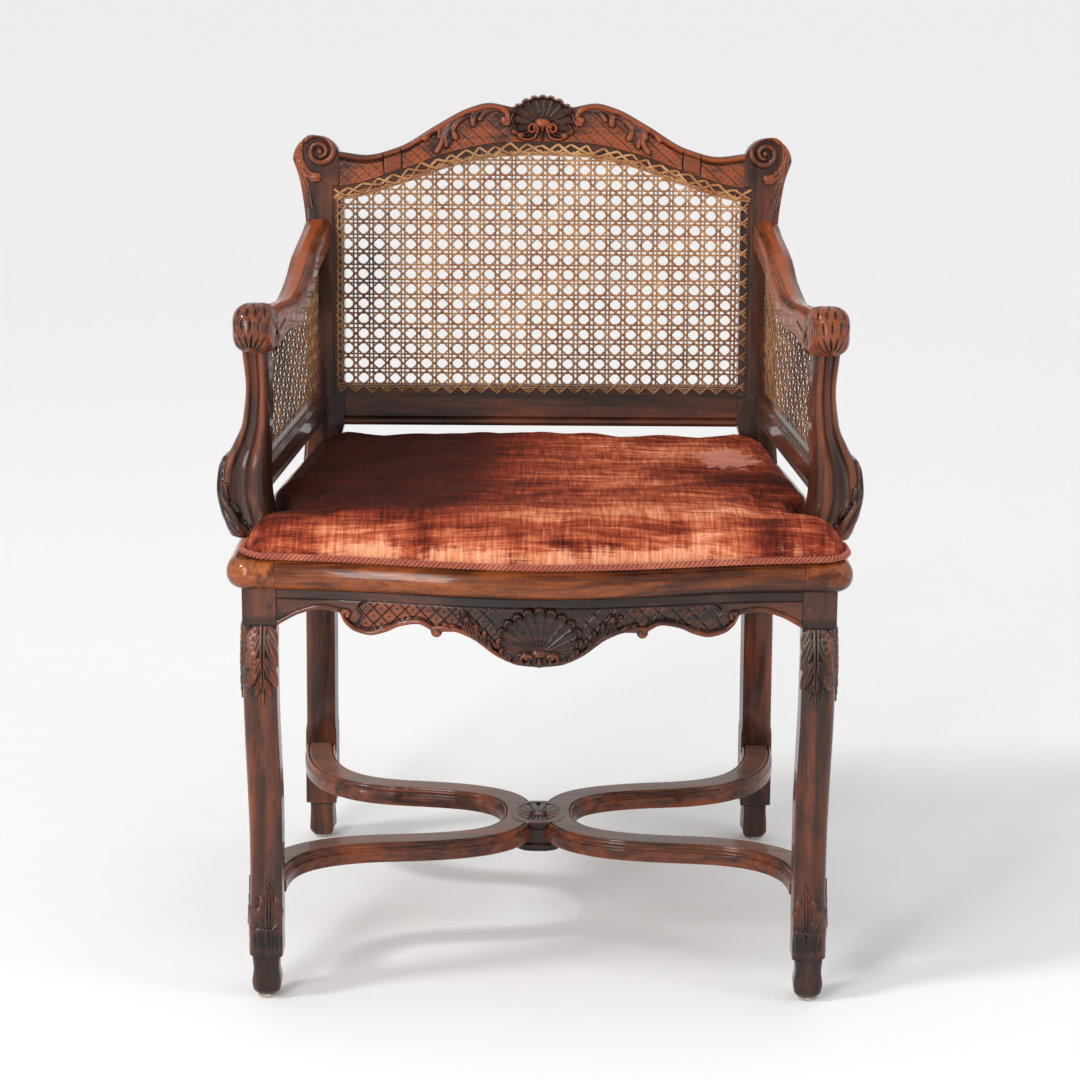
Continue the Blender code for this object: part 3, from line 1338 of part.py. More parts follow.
NOTCH_RUN = 0.010
NOTCH_FRONT = POST_Y - POST_DEPTH / 2 - POST_FOOT_FLARE - 2 * CORD_RADIUS - CUSHION_NOTCH_CLEARANCE - NOTCH_RUN
NOTCH_BACK = POST_Y + POST_DEPTH / 2 + 2 * CORD_RADIUS
CUSHION_SIDE_FRONT = FRONT_EDGE_Y + CUSHION_FRONT_INSET
cushion_half = smooth_through((
    (CUSHION_SIDE_FRONT, CUSHION_EAR_X - 0.018),
    (CUSHION_SIDE_FRONT + 0.009, CUSHION_EAR_X - 0.006),
    (CUSHION_SIDE_FRONT + 0.024, CUSHION_EAR_X),
    (NOTCH_FRONT - 0.018, CUSHION_EAR_X - 0.001),
    (NOTCH_FRONT - 0.006, CUSHION_EAR_X - 0.007),
    (NOTCH_FRONT, CUSHION_EAR_X - 0.019),
    (NOTCH_FRONT + NOTCH_RUN, CUSHION_NOTCH_X),
    (NOTCH_BACK, CUSHION_NOTCH_X),
    (NOTCH_BACK + 0.020, CUSHION_NOTCH_X + 0.004),
    (NOTCH_BACK + 0.060, CUSHION_NOTCH_X + 0.003),
    (CUSHION_BACK_Y - 0.035, CUSHION_BACK_X + 0.002),
    (CUSHION_BACK_Y - 0.010, CUSHION_BACK_X - 0.004),
    (CUSHION_BACK_Y, CUSHION_BACK_X - 0.014),
))


def cushion_front(x):
    ends = 0.010 * (abs(x) / CUSHION_EAR_X) ** 6
    return seat_front(x) + CUSHION_FRONT_INSET + ends


def half_at(along):
    return cushion_half(CUSHION_SIDE_FRONT + (CUSHION_BACK_Y - CUSHION_SIDE_FRONT) * along)


def cushion_plan(across, along):
    """A point of the cushion's plan. Both shares run over it, -1 to 1 across and 0 to 1 back."""
    x = across * half_at(along)
    front = cushion_front(x)
    return x, front + (CUSHION_BACK_Y - front) * along


def cushion_crown(across, along):
    """Height of the top above the seam: quick over the rolled edge, then a slow crown."""
    length = CUSHION_BACK_Y - cushion_front(across * half_at(along))
    rise = 1.0
    for room in (half_at(along) * (1 - abs(across)), length * along, length * (1 - along)):
        rise *= math.sqrt(1 - (1 - min(room / CUSHION_SHOULDER, 1)) ** 2)
    return (CUSHION_CROWN - CUSHION_SEAM) * rise * (0.90 + 0.10 * math.cos(across * math.pi / 2))


def cushion_lines():
    """The shares at which the cushion's plan is drawn: closer at its edges and at the notch."""
    half = (0.0, 0.2, 0.42, 0.62, 0.78, 0.89, 0.96, 1.0)
    across = [-share for share in half[:0:-1]] + list(half)
    length = CUSHION_BACK_Y - CUSHION_SIDE_FRONT
    near = [0, 0.009, 0.024, 0.045]
    notch = [y - CUSHION_SIDE_FRONT for y in (
        NOTCH_FRONT - 0.018, NOTCH_FRONT - 0.006, NOTCH_FRONT, NOTCH_FRONT + NOTCH_RUN * 0.4,
        NOTCH_FRONT + NOTCH_RUN, POST_Y, NOTCH_BACK, NOTCH_BACK + 0.020, NOTCH_BACK + 0.060,
    )]
    far = [length * 0.56, length * 0.72, length - 0.055, length - 0.025, length - 0.010, length]
    return across, [distance / length for distance in near + notch + far]


def cushion():
    """A knife-edged squab: a crowned top and a flat underside that meet in one seam."""
    seam = SEAT_HEIGHT + CUSHION_SEAM
    across, along = cushion_lines()
    bm = bmesh.new()
    sheets = {}
    for name in ("top", "bottom"):
        for i, u in enumerate(across):
            for j, v in enumerate(along):
                rise = cushion_crown(u, v)
                z = seam + rise if name == "top" else seam - min(CUSHION_SEAM - 2 * GAP, rise * 0.5)
                sheets[name, i, j] = bm.verts.new((*cushion_plan(u, v), z))
    for name in ("top", "bottom"):
        for i in range(len(across) - 1):
            for j in range(len(along) - 1):
                corners = ((i, j), (i + 1, j), (i + 1, j + 1), (i, j + 1))
                bm.faces.new([sheets[name, a, b] for a, b in corners])
    bmesh.ops.remove_doubles(bm, verts=bm.verts, dist=WELD)
    bmesh.ops.recalc_face_normals(bm, faces=bm.faces)
    return mesh_object("cushion", bm, "velvet")


def cushion_outline():
    """The cushion's seam in plan, once round from its front left corner."""
    across, along = cushion_lines()
    line = [cushion_plan(u, 0) for u in across] + [cushion_plan(1, v) for v in along[1:]]
    line += [cushion_plan(u, 1) for u in across[-2::-1]] + [cushion_plan(-1, v) for v in along[-2:0:-1]]
    return [Vector((x, y, 0)) for x, y in line]


def grown(line, distance):
    """A closed line moved outwards, its sides kept parallel."""
    moved = []
    for i, here in enumerate(line):
        into = (here - line[i - 1]).normalized()
        away = (line[(i + 1) % len(line)] - here).normalized()
        normal = Vector((into.y + away.y, -into.x - away.x, 0)).normalized()
        moved.append(here + normal * distance / max(normal.dot(Vector((into.y, -into.x, 0))), 0.6))
    return moved


def cushion_cord():
    """The twisted piping sewn round the cushion's seam, as one closed tube."""
    curve = bpy.data.curves.new("cushion_cord", "CURVE")
    curve.dimensions = "3D"
    curve.bevel_depth = CORD_RADIUS
    curve.bevel_resolution = 1
    line = grown(cushion_outline(), CORD_RADIUS + GAP)
    spline = curve.splines.new("POLY")
    spline.points.add(len(line) - 1)
    spline.use_cyclic_u = True
    for point, place in zip(spline.points, line):
        point.co = (place.x, place.y, SEAT_HEIGHT + CUSHION_SEAM, 1)
    return finish_object(bpy.data.objects.new("cushion_cord", curve), "cushion_cord", "piping")


# Feet

def glide(name, x, y):
    """A turned disc nailed under a foot."""
    mesh = bpy.data.meshes.new(f"glide_{name}")
    bm = bmesh.new()
    profile = (
        (0, GLIDE_HEIGHT), (GLIDE_RADIUS * 0.9, GLIDE_HEIGHT), (GLIDE_RADIUS, GLIDE_HEIGHT * 0.7),
        (GLIDE_RADIUS, GLIDE_HEIGHT * 0.25), (GLIDE_RADIUS * 0.86, 0), (0, 0),
    )
    verts = [bm.verts.new((radius, 0, z)) for radius, z in profile]
    for a, b in zip(verts, verts[1:]):
        bm.edges.new((a, b))
    bm.to_mesh(mesh)
    bm.free()
    disc = finish_object(bpy.data.objects.new(f"glide_{name}", mesh), f"glide_{name}", "glide")
    screw = disc.modifiers.new("turn", "SCREW")
    screw.steps = screw.render_steps = 16
    screw.use_merge_vertices = True
    screw.merge_threshold = 0.00005
    disc.location = (x, y, 0)
    return disc


# Assembly

def build_back(stiles):
    crest = crest_rail()
    lower = back_lower_rail()
    rebate = back_rebate()
    for member in (crest, lower, *stiles.values()):
        add_boolean(member, rebate, "DIFFERENCE")
    back_cane()
    for name, side in SIDES.items():
        for tenon, member, label in (
            (crest_tenon(side), crest, "crest"), (back_lower_rail_tenon(side), lower, "lower_rail"),
        ):
            cut_mortise(stiles[name], tenon)
            entry = tenon.middle(tenon.length / 2) + RAKED_BACK * STILE_DEPTH / 2
            peg(f"peg_{label}_{name}", entry, -RAKED_BACK, (stiles[name], member))


def build_seat(legs, stiles):
    front = seat_rail_front()
    seat_rail_back()
    rails = {name: seat_rail_side(name, side) for name, side in SIDES.items()}
    for name, side in SIDES.items():
        cut_mortise(rails[name], front_rail_tenon(side))
        cut_mortise(rails[name], front_leg_tenon(side))
        cut_mortise(stiles[name], side_rail_tenon(side)[0])
        cut_mortise(stiles[name], back_rail_tenon(side))
    seat_cane()
    return rails


def build_aprons(legs, stiles):
    front = apron_front()
    apron_back()
    for name, side in SIDES.items():
        side_apron = apron_side(name, side)
        at_leg, at_stile, _ = side_apron_tenons(side)
        at_front = front_apron_tenon(side)
        cut_mortise(legs[name], at_front)
        cut_mortise(legs[name], at_leg)
        cut_mortise(stiles[name], at_stile)
        cut_mortise(stiles[name], back_apron_tenon(side))
        entry = at_front.middle(at_front.length / 2)
        entry.y = FRONT_LEG_Y - LEG_HALF
        peg(f"peg_front_apron_{name}", entry, Y_AXIS, (legs[name], front))
        entry = at_leg.middle(at_leg.length / 2)
        entry.x = side * (FRONT_LEG_X + LEG_HALF)
        peg(f"peg_side_apron_{name}", entry, -X_AXIS * side, (legs[name], side_apron))


def build_sides(rails, stiles):
    for name, side in SIDES.items():
        frame = SideFrame(side)
        rest = arm(name, frame)
        post = arm_post(name, frame)
        side_lower_rail(name, frame)
        side_cane(name, frame)
        front, back = lower_rail_tenons(frame)
        cut_mortise(post, front)
        cut_mortise(stiles[name], back)
        cut_mortise(stiles[name], arm_tenon(frame))
        cut_mortise(rails[name], post_foot_tenon(frame))
        cut_mortise(rest, post_head_tenon(frame))


def build_stretcher(legs, stiles):
    centre = stretcher_centre()
    for name, side in SIDES.items():
        for end, members in (("front", legs), ("back", stiles)):
            stretcher_arm(name, side, end)
            at_leg, at_block = stretcher_tenons(side, end)
            cut_mortise(members[name], at_leg)
            cut_mortise(centre, at_block)


def build_glides():
    for name, side in SIDES.items():
        glide(f"front_{name}", side * (FRONT_LEG_X + leg_out(1)), FRONT_LEG_Y - FOOT_FORWARD)
        x, y = back_leg_centre(0)
        glide(f"back_{name}", side * x, y)


def main():
    global PARTS, CUTTERS
    for obj in list(bpy.data.objects):
        bpy.data.objects.remove(obj)
    PARTS = new_collection("desk_armchair")
    CUTTERS = new_collection("cutters")
    make_materials()
    legs = {name: front_leg(name, side) for name, side in SIDES.items()}
    stiles = {name: back_stile(name, side) for name, side in SIDES.items()}
    build_back(stiles)
    rails = build_seat(legs, stiles)
    build_aprons(legs, stiles)
    build_sides(rails, stiles)
    build_stretcher(legs, stiles)
    build_glides()
    cushion()
    cushion_cord()


main()
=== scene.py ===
"""Looks of the carved and caned desk armchair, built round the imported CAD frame.

Metres, +Z up. The chair faces -Y and the plane X = 0 is its middle. Wooden members are drawn
again as close nets of points, so that their carving is real relief. The cane is woven strand by
strand. The cushion is simulated as cloth and edged with a twisted cord.
"""

import math

import bpy
import numpy as np
from mathutils import Matrix, Vector


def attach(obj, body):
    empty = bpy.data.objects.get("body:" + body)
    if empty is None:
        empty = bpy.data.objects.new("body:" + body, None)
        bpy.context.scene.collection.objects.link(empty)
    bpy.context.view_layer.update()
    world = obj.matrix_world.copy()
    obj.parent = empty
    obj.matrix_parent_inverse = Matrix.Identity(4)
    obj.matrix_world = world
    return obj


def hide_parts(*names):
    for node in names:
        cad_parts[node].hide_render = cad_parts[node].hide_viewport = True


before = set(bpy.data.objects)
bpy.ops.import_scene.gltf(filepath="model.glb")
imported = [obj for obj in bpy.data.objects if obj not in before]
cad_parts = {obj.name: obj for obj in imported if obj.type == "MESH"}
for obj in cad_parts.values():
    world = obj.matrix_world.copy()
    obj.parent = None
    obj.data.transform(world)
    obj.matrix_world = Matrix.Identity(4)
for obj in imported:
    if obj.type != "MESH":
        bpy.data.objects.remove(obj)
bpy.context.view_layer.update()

MM = 0.001
GAP = 0.3 * MM
TINY = 1e-12  # keeps a division by nothing from failing
RIPPLE_PEAK = 1.6  # how high the waves of a ripple add up
MOST_EASE = 0.48  # the most of a side that one eased corner takes up
EDGE_DARK = 0.7  # how dark a carved stroke is along its edge
SIDES = {"left": -1, "right": 1}
X_AXIS, Y_AXIS, Z_AXIS = np.eye(3)

# Seat frame
SEAT_HEIGHT, SEAT_THICK, SEAT_BOW = 0.467, 0.030, 0.034
SEAT_OVERHANG, SEAT_BULLNOSE, SEAT_CORNER_RADIUS = 0.0155, 0.013, 0.024
FRONT_RAIL_WIDTH, SIDE_RAIL_WIDTH, SEAT_BACK_OVERHANG = 0.055, 0.053, 0.006
REBATE_WIDTH, REBATE_DEPTH = 0.012, 0.003
LEG_TOP = SEAT_HEIGHT - SEAT_THICK - GAP

# Legs
FRONT_LEG_X, FRONT_LEG_Y, LEG_HALF = 0.2781, -0.2251, 0.0171
SHANK_TOP, FOOT_BLOCK_TOP, FOOT_BLOCK_BOTTOM = LEG_TOP - 0.038, 0.078, 0.047
FOOT_HALF, FOOT_FORWARD, GLIDE_HEIGHT = 0.0145, 0.0025, 0.004
BACK_LEG_X, BACK_LEG_Y, BACK_LEG_WIDTH, BACK_LEG_DEPTH = 0.2535, 0.2364, 0.0366, 0.034
BACK_FOOT_SPLAY, BACK_FOOT_SET_BACK, APRON_END_DEPTH = 0.004, 0.016, 0.0385

# Back: "up" is measured along the raked back from the seat's top, "depth" backwards from its middle
BACK_RAKE = math.radians(6)
STILE_DEPTH, STILE_OUTER_X, STILE_INNER_X = 0.030, 0.268, 0.225
CREST_JOINT_X, CREST_DEPTH = 0.2295, 0.028
CANE_BOTTOM, CANE_TOP, CANE_CORNER = 0.072, 0.3605, 0.3085
SCROLL_RADIUS, SCROLL_UP, SCROLL_X = 0.0268, 0.339, 0.2553
BACK_RAIL_BOTTOM = 0.0382

# Arms: s runs back from the post, n outwards, heights are above the seat
POST_X, POST_Y, POST_HALF = 0.2865, -0.138, 0.017
ARM_STILE_X, ARM_STILE_Y = 0.2565, BACK_LEG_Y - STILE_DEPTH / 2
KNUCKLE_RADIUS, KNUCKLE_WIDTH, KNUCKLE_REACH = 0.025, 0.039, 0.043
ARM_WIDTH, ARM_POST_TOP, ARM_DEPTH, ARM_DIP, ARM_STILE_TOP = 0.029, 0.191, 0.030, 0.216, 0.270
SIDE_RAIL_TOP = 0.075

# Stretcher and apron
STRETCHER_TOP, STRETCHER_HEIGHT, STRETCHER_WIDTH = 0.1235, 0.0205, 0.036
STRETCHER_WAIST, STRETCHER_NECK, STRETCHER_CENTRE_Y = 0.034, 0.0210, -0.008
STRETCHER_RUN_BACK, STRETCHER_RUN_FRONT, HUB_HEIGHT = 0.080, -0.0975, 0.036
PATERA_WIDTH, PATERA_LENGTH, HUB_WIDTH, HUB_LENGTH = 0.048, 0.058, 0.059, 0.071
APRON_THICK, APRON_SET_BACK = 0.022, 0.015
APRON_BALL_X, APRON_BALL_RADIUS, APRON_BALL_DEPTH = 0.1015, 0.0056, 0.0376

# Cushion
CUSHION_CROWN, CUSHION_SEAM, CUSHION_ROLL, CUSHION_SHOULDER = 0.039, 0.0042, 0.055, 0.011
CUSHION_BULGE, CUSHION_BULGE_RUN, CUSHION_EAR_ROLL = 0.0080, 0.030, 0.026
CUSHION_EAR_X, CUSHION_NOTCH_X, CUSHION_BACK_X, CUSHION_BACK_Y = 0.2975, 0.257, 0.227, 0.2098
CUSHION_FRONT_INSET, CORD_RADIUS, CUSHION_SKEW = 0.0045, 0.0034, 0.005


# Curves

def between(pair, share):
    return pair[0] + (pair[1] - pair[0]) * share


def unit(ways, slack=0.0):
    """Directions of length 1."""
    return ways / (np.linalg.norm(ways, axis=-1, keepdims=True) + slack)


def leftward(ways):
    """Directions in a plane, turned to their left."""
    return np.stack((-ways[:, 1], ways[:, 0]), -1)


def at_height(plan, z):
    """Points of a plan, raised to a height."""
    return np.column_stack((plan, np.full(len(plan), z)))


def hermite(values, tangents, i, t, step):
    """A curve with given tangents from value i to the next one, at shares t of the step between them."""
    pull = tangents[i] * (t - 2 * t**2 + t**3) + tangents[i + 1] * (t**3 - t**2)
    return values[i] + (values[i + 1] - values[i]) * (3 * t**2 - 2 * t**3) + step * pull


def smooth_through(*knots):
    """A smooth function through (position, value) knots that never overshoots them."""
    x, y = np.array(knots, float).T
    step = np.diff(x)
    slope = np.diff(y) / step
    tangent = np.zeros(len(x))
    tangent[0], tangent[-1] = slope[0], slope[-1]
    same = slope[:-1] * slope[1:] > 0
    inner = tangent[1:-1]
    inner[same] = (2 * slope[:-1] * slope[1:])[same] / (slope[:-1] + slope[1:])[same]

    def value(at):
        at = np.clip(at, x[0], x[-1])
        i = np.clip(np.searchsorted(x, at, side="right") - 1, 0, len(step) - 1)
        return hermite(y, tangent, i, (at - x[i]) / step[i], step[i])

    return value


def bend(points, count):
    """A smooth line through a few points, as count points."""
    points = np.array(points, float)
    gaps = np.linalg.norm(np.diff(points, axis=0), axis=1)
    knots = np.concatenate(([0], np.cumsum(gaps)))
    tangent = np.gradient(points, knots, axis=0)
    at = np.linspace(0, knots[-1], count)
    i = np.clip(np.searchsorted(knots, at, side="right") - 1, 0, len(gaps) - 1)
    return hermite(points, tangent, i, ((at - knots[i]) / gaps[i])[:, None], gaps[i][:, None])


def spiral(centre, first, last, start, turns, count):
    """A scroll's line: from the outer radius to the inner one over a number of turns, in degrees."""
    t = np.linspace(0, 1, count)
    angle = np.radians(start + 360 * turns * t)
    radius = first * (last / first) ** t
    return np.stack((centre[0] + radius * np.cos(angle), centre[1] + radius * np.sin(angle)), -1)


def evenly(line, step, closed=False):
    """A line's points at even distances along it."""
    line = np.array(line, float)
    if closed:
        line = np.concatenate((line, line[:1]))
    run = np.concatenate(([0], np.cumsum(np.linalg.norm(np.diff(line, axis=0), axis=1))))
    count = max(int(round(run[-1] / step)), 2)
    at = np.linspace(0, run[-1], count + 1)
    points = np.stack([np.interp(at, run, line[:, k]) for k in range(line.shape[1])], -1)
    return points[:-1] if closed else points


def ripple(*places, seed, scale, waves=7):
    """Smooth seeded noise from -1 to 1 over any places."""
    draw = np.random.default_rng(seed)
    total = 0
    for _ in range(waves):
        push = draw.normal(size=len(places)) / scale
        total = total + np.sin(sum(p * k for p, k in zip(places, push)) + draw.uniform(0, 6.28))
    return total / waves**0.5 / RIPPLE_PEAK


def bump(distance, width):
    """1 at no distance, falling smoothly to nothing."""
    return np.exp(-((distance / width) ** 2))


def ramp(value, low, high):
    """0 below low, 1 above high, smooth between."""
    t = np.clip((value - low) / (high - low), 0, 1)
    return t * t * (3 - 2 * t)


# Close nets of points

def eased_section(corners, eases, sides, arc):
    """Closed sections with eased corners, and each point's place round them.

    A section's corners come as (stations, corners, 2). The place is i at corner i and i + 0.5 half
    way to the next one.
    """
    corners = np.array(corners, float)
    eases = np.broadcast_to(np.array(eases, float), corners.shape[:2])

    def toward(other):
        way = other - corners
        length = np.linalg.norm(way, axis=-1) + 1e-9
        return corners + way * (np.minimum(eases, MOST_EASE * length) / length)[..., None]

    start, end = toward(np.roll(corners, 1, 1)), toward(np.roll(corners, -1, 1))
    parts, places = [], []
    for i, count in enumerate(sides):
        t = np.linspace(0, 1, arc)[None, :, None]
        first, corner, last = start[:, i, None], corners[:, i, None], end[:, i, None]
        turn = first * (1 - t) ** 2 + corner * 2 * t * (1 - t) + last * t**2
        share = np.linspace(0, 1, count + 2)[None, 1:-1, None]
        side = last * (1 - share) + start[:, (i + 1) % len(sides), None] * share
        parts += [turn, side]
        places += [i - 0.12 + 0.24 * t.ravel(), i + 0.12 + 0.76 * share.ravel()]
    return np.concatenate(parts, 1), np.concatenate(places)


def corners_of(*corners):
    """Corners in each station's plane, each given by its two coordinates over the stations."""
    return np.stack([np.stack(np.broadcast_arrays(*corner), -1) for corner in corners], 1)


def box_corners(u0, u1, v0, v1):
    """The corners of a rectangle: outer high, inner high, inner low, outer low."""
    return corners_of((u1, v1), (u0, v1), (u0, v0), (u1, v0))


def run_round(section):
    """How far round its section each point is, and each section's whole length."""
    step = np.linalg.norm(np.diff(section, axis=1, append=section[:, :1]), axis=-1)
    run = np.cumsum(step, 1) - step
    return run, run[:, -1:] + step[:, -1:]


def years_of_use(points, depth, seed, scale):
    """Slight unevenness over a net of points, in millimetres of depth."""
    return depth * MM * ripple(*np.moveaxis(points, -1, 0), seed=seed, scale=scale)


def placed(section, origin, u, v):
    """Sections in their planes as points in space."""
    rows = len(section)
    origin, u, v = (np.broadcast_to(k, (rows, 3))[:, None] for k in (origin, u, v))
    return origin + section[..., :1] * u + section[..., 1:] * v


def net_normals(points):
    """Outward directions over a net of points that wraps round."""
    across = np.roll(points, -1, 1) - np.roll(points, 1, 1)
    normal = unit(np.cross(np.gradient(points, axis=0), across), TINY)
    outward = points - points.mean(1, keepdims=True)
    return -normal if (normal * outward).sum() < 0 else normal


def softened(points, axis, spread, closed):
    """A net blurred along one axis over a distance."""
    step = np.linalg.norm(np.diff(points, axis=axis), axis=-1).mean()
    for _ in range(int(np.clip(2 * (spread / step) ** 2, 1, 90))):
        if closed:
            ahead, behind = np.roll(points, -1, axis), np.roll(points, 1, axis)
        else:
            first, last = np.take(points, [0], axis), np.take(points, [-1], axis)
            ahead = np.concatenate((np.delete(points, 0, axis), last), axis)
            behind = np.concatenate((first, np.delete(points, -1, axis)), axis)
        points = points / 2 + (ahead + behind) / 4
    return points


def depth_below(points, normal, spread):
    """How far each point of a net lies under the net's own blurred form."""
    blurred = softened(softened(points, 0, spread, False), 1, spread, True)
    return ((blurred - points) * normal).sum(-1)


def net_marks(mesh, points, normal):
    """Keeps where a net is hollow, for grime, and where it stands proud, for wear."""
    fine, broad = (depth_below(points, normal, spread * MM) for spread in (1.0, 3.5))

    def mixed(sign, fine_full, fine_share, broad_full, broad_share):
        near = np.clip(sign * fine / (fine_full * MM), -1, 1) * fine_share
        return near + np.clip(sign * broad / (broad_full * MM), -1, 1) * broad_share

    set_value(mesh, "hollow", mixed(1, 0.30, 0.55, 1.7, 0.40))
    set_value(mesh, "proud", mixed(-1, 0.45, 0.25, 1.3, 0.8))


def net_quads(index):
    """The quads between the rows of a net of vertex numbers that wraps round."""
    ahead = np.roll(index, -1, 1)
    return np.stack((index[:-1], ahead[:-1], ahead[1:], index[1:]), -1).reshape(-1, 4)


def capped(index):
    """A net's quads, and its first and last rows as end faces."""
    return net_quads(index).tolist() + [index[0][::-1].tolist(), index[-1].tolist()]


def smooth_mesh(name, points, faces):
    mesh = bpy.data.meshes.new(name)
    mesh.from_pydata(points.tolist(), [], faces)
    mesh.shade_smooth()
    return mesh


def net_mesh(name, points):
    """A mesh over a net of points that wraps round, with end faces, facing out."""
    rows, count = points.shape[:2]
    index = np.arange(rows * count).reshape(rows, count)
    flat = points.reshape(-1, 3)
    faces = capped(index)
    corners = flat[net_quads(index)] - flat.mean(0)
    area = np.cross(corners[:, 2] - corners[:, 0], corners[:, 3] - corners[:, 1])
    if (area * corners.mean(1)).sum() < 0:
        faces = [face[::-1] for face in faces]
    return smooth_mesh(name, flat, faces)


def places_of(mesh):
    """A mesh's vertices as rows of coordinates."""
    places = np.empty(len(mesh.vertices) * 3)
    mesh.vertices.foreach_get("co", places)
    return places.reshape(-1, 3)


def set_value(mesh, name, values):
    """Keeps a number for each vertex, for the finishes."""
    kept = mesh.attributes.new(name, "FLOAT", "POINT")
    kept.data.foreach_set("value", np.ravel(values).astype(np.float32))


def linked(name, data):
    """A new object in the scene."""
    made = bpy.data.objects.new(name, data)
    bpy.context.scene.collection.objects.link(made)
    return made


def add_piece(name, mesh, material, nodes, body="chair"):
    """A piece of the dressed chair: it rides on a body and stands for CAD nodes."""
    piece = linked(name, mesh)
    mesh.materials.append(material)
    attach(piece, body)
    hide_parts(*nodes)
    return piece


def carved(name, points, height, material, nodes, direction=None, slot="walnut", crisp=60, **marks):
    """A wooden member: a net with relief raised on it, its hollows and wear kept for the finish.

    Other marks for the finish, such as its tint and its dust and painted highlights, come by name.
    """
    normal = net_normals(points)
    points = points + (normal if direction is None else direction) * height[..., None]
    mesh = net_mesh(name, points)
    net_marks(mesh, points, net_normals(points))
    for key, values in marks.items():
        set_value(mesh, key, np.broadcast_to(values, height.shape))
    mesh.set_sharp_from_angle(angle=math.radians(crisp))
    add_piece(name, mesh, material, nodes)


# Carving

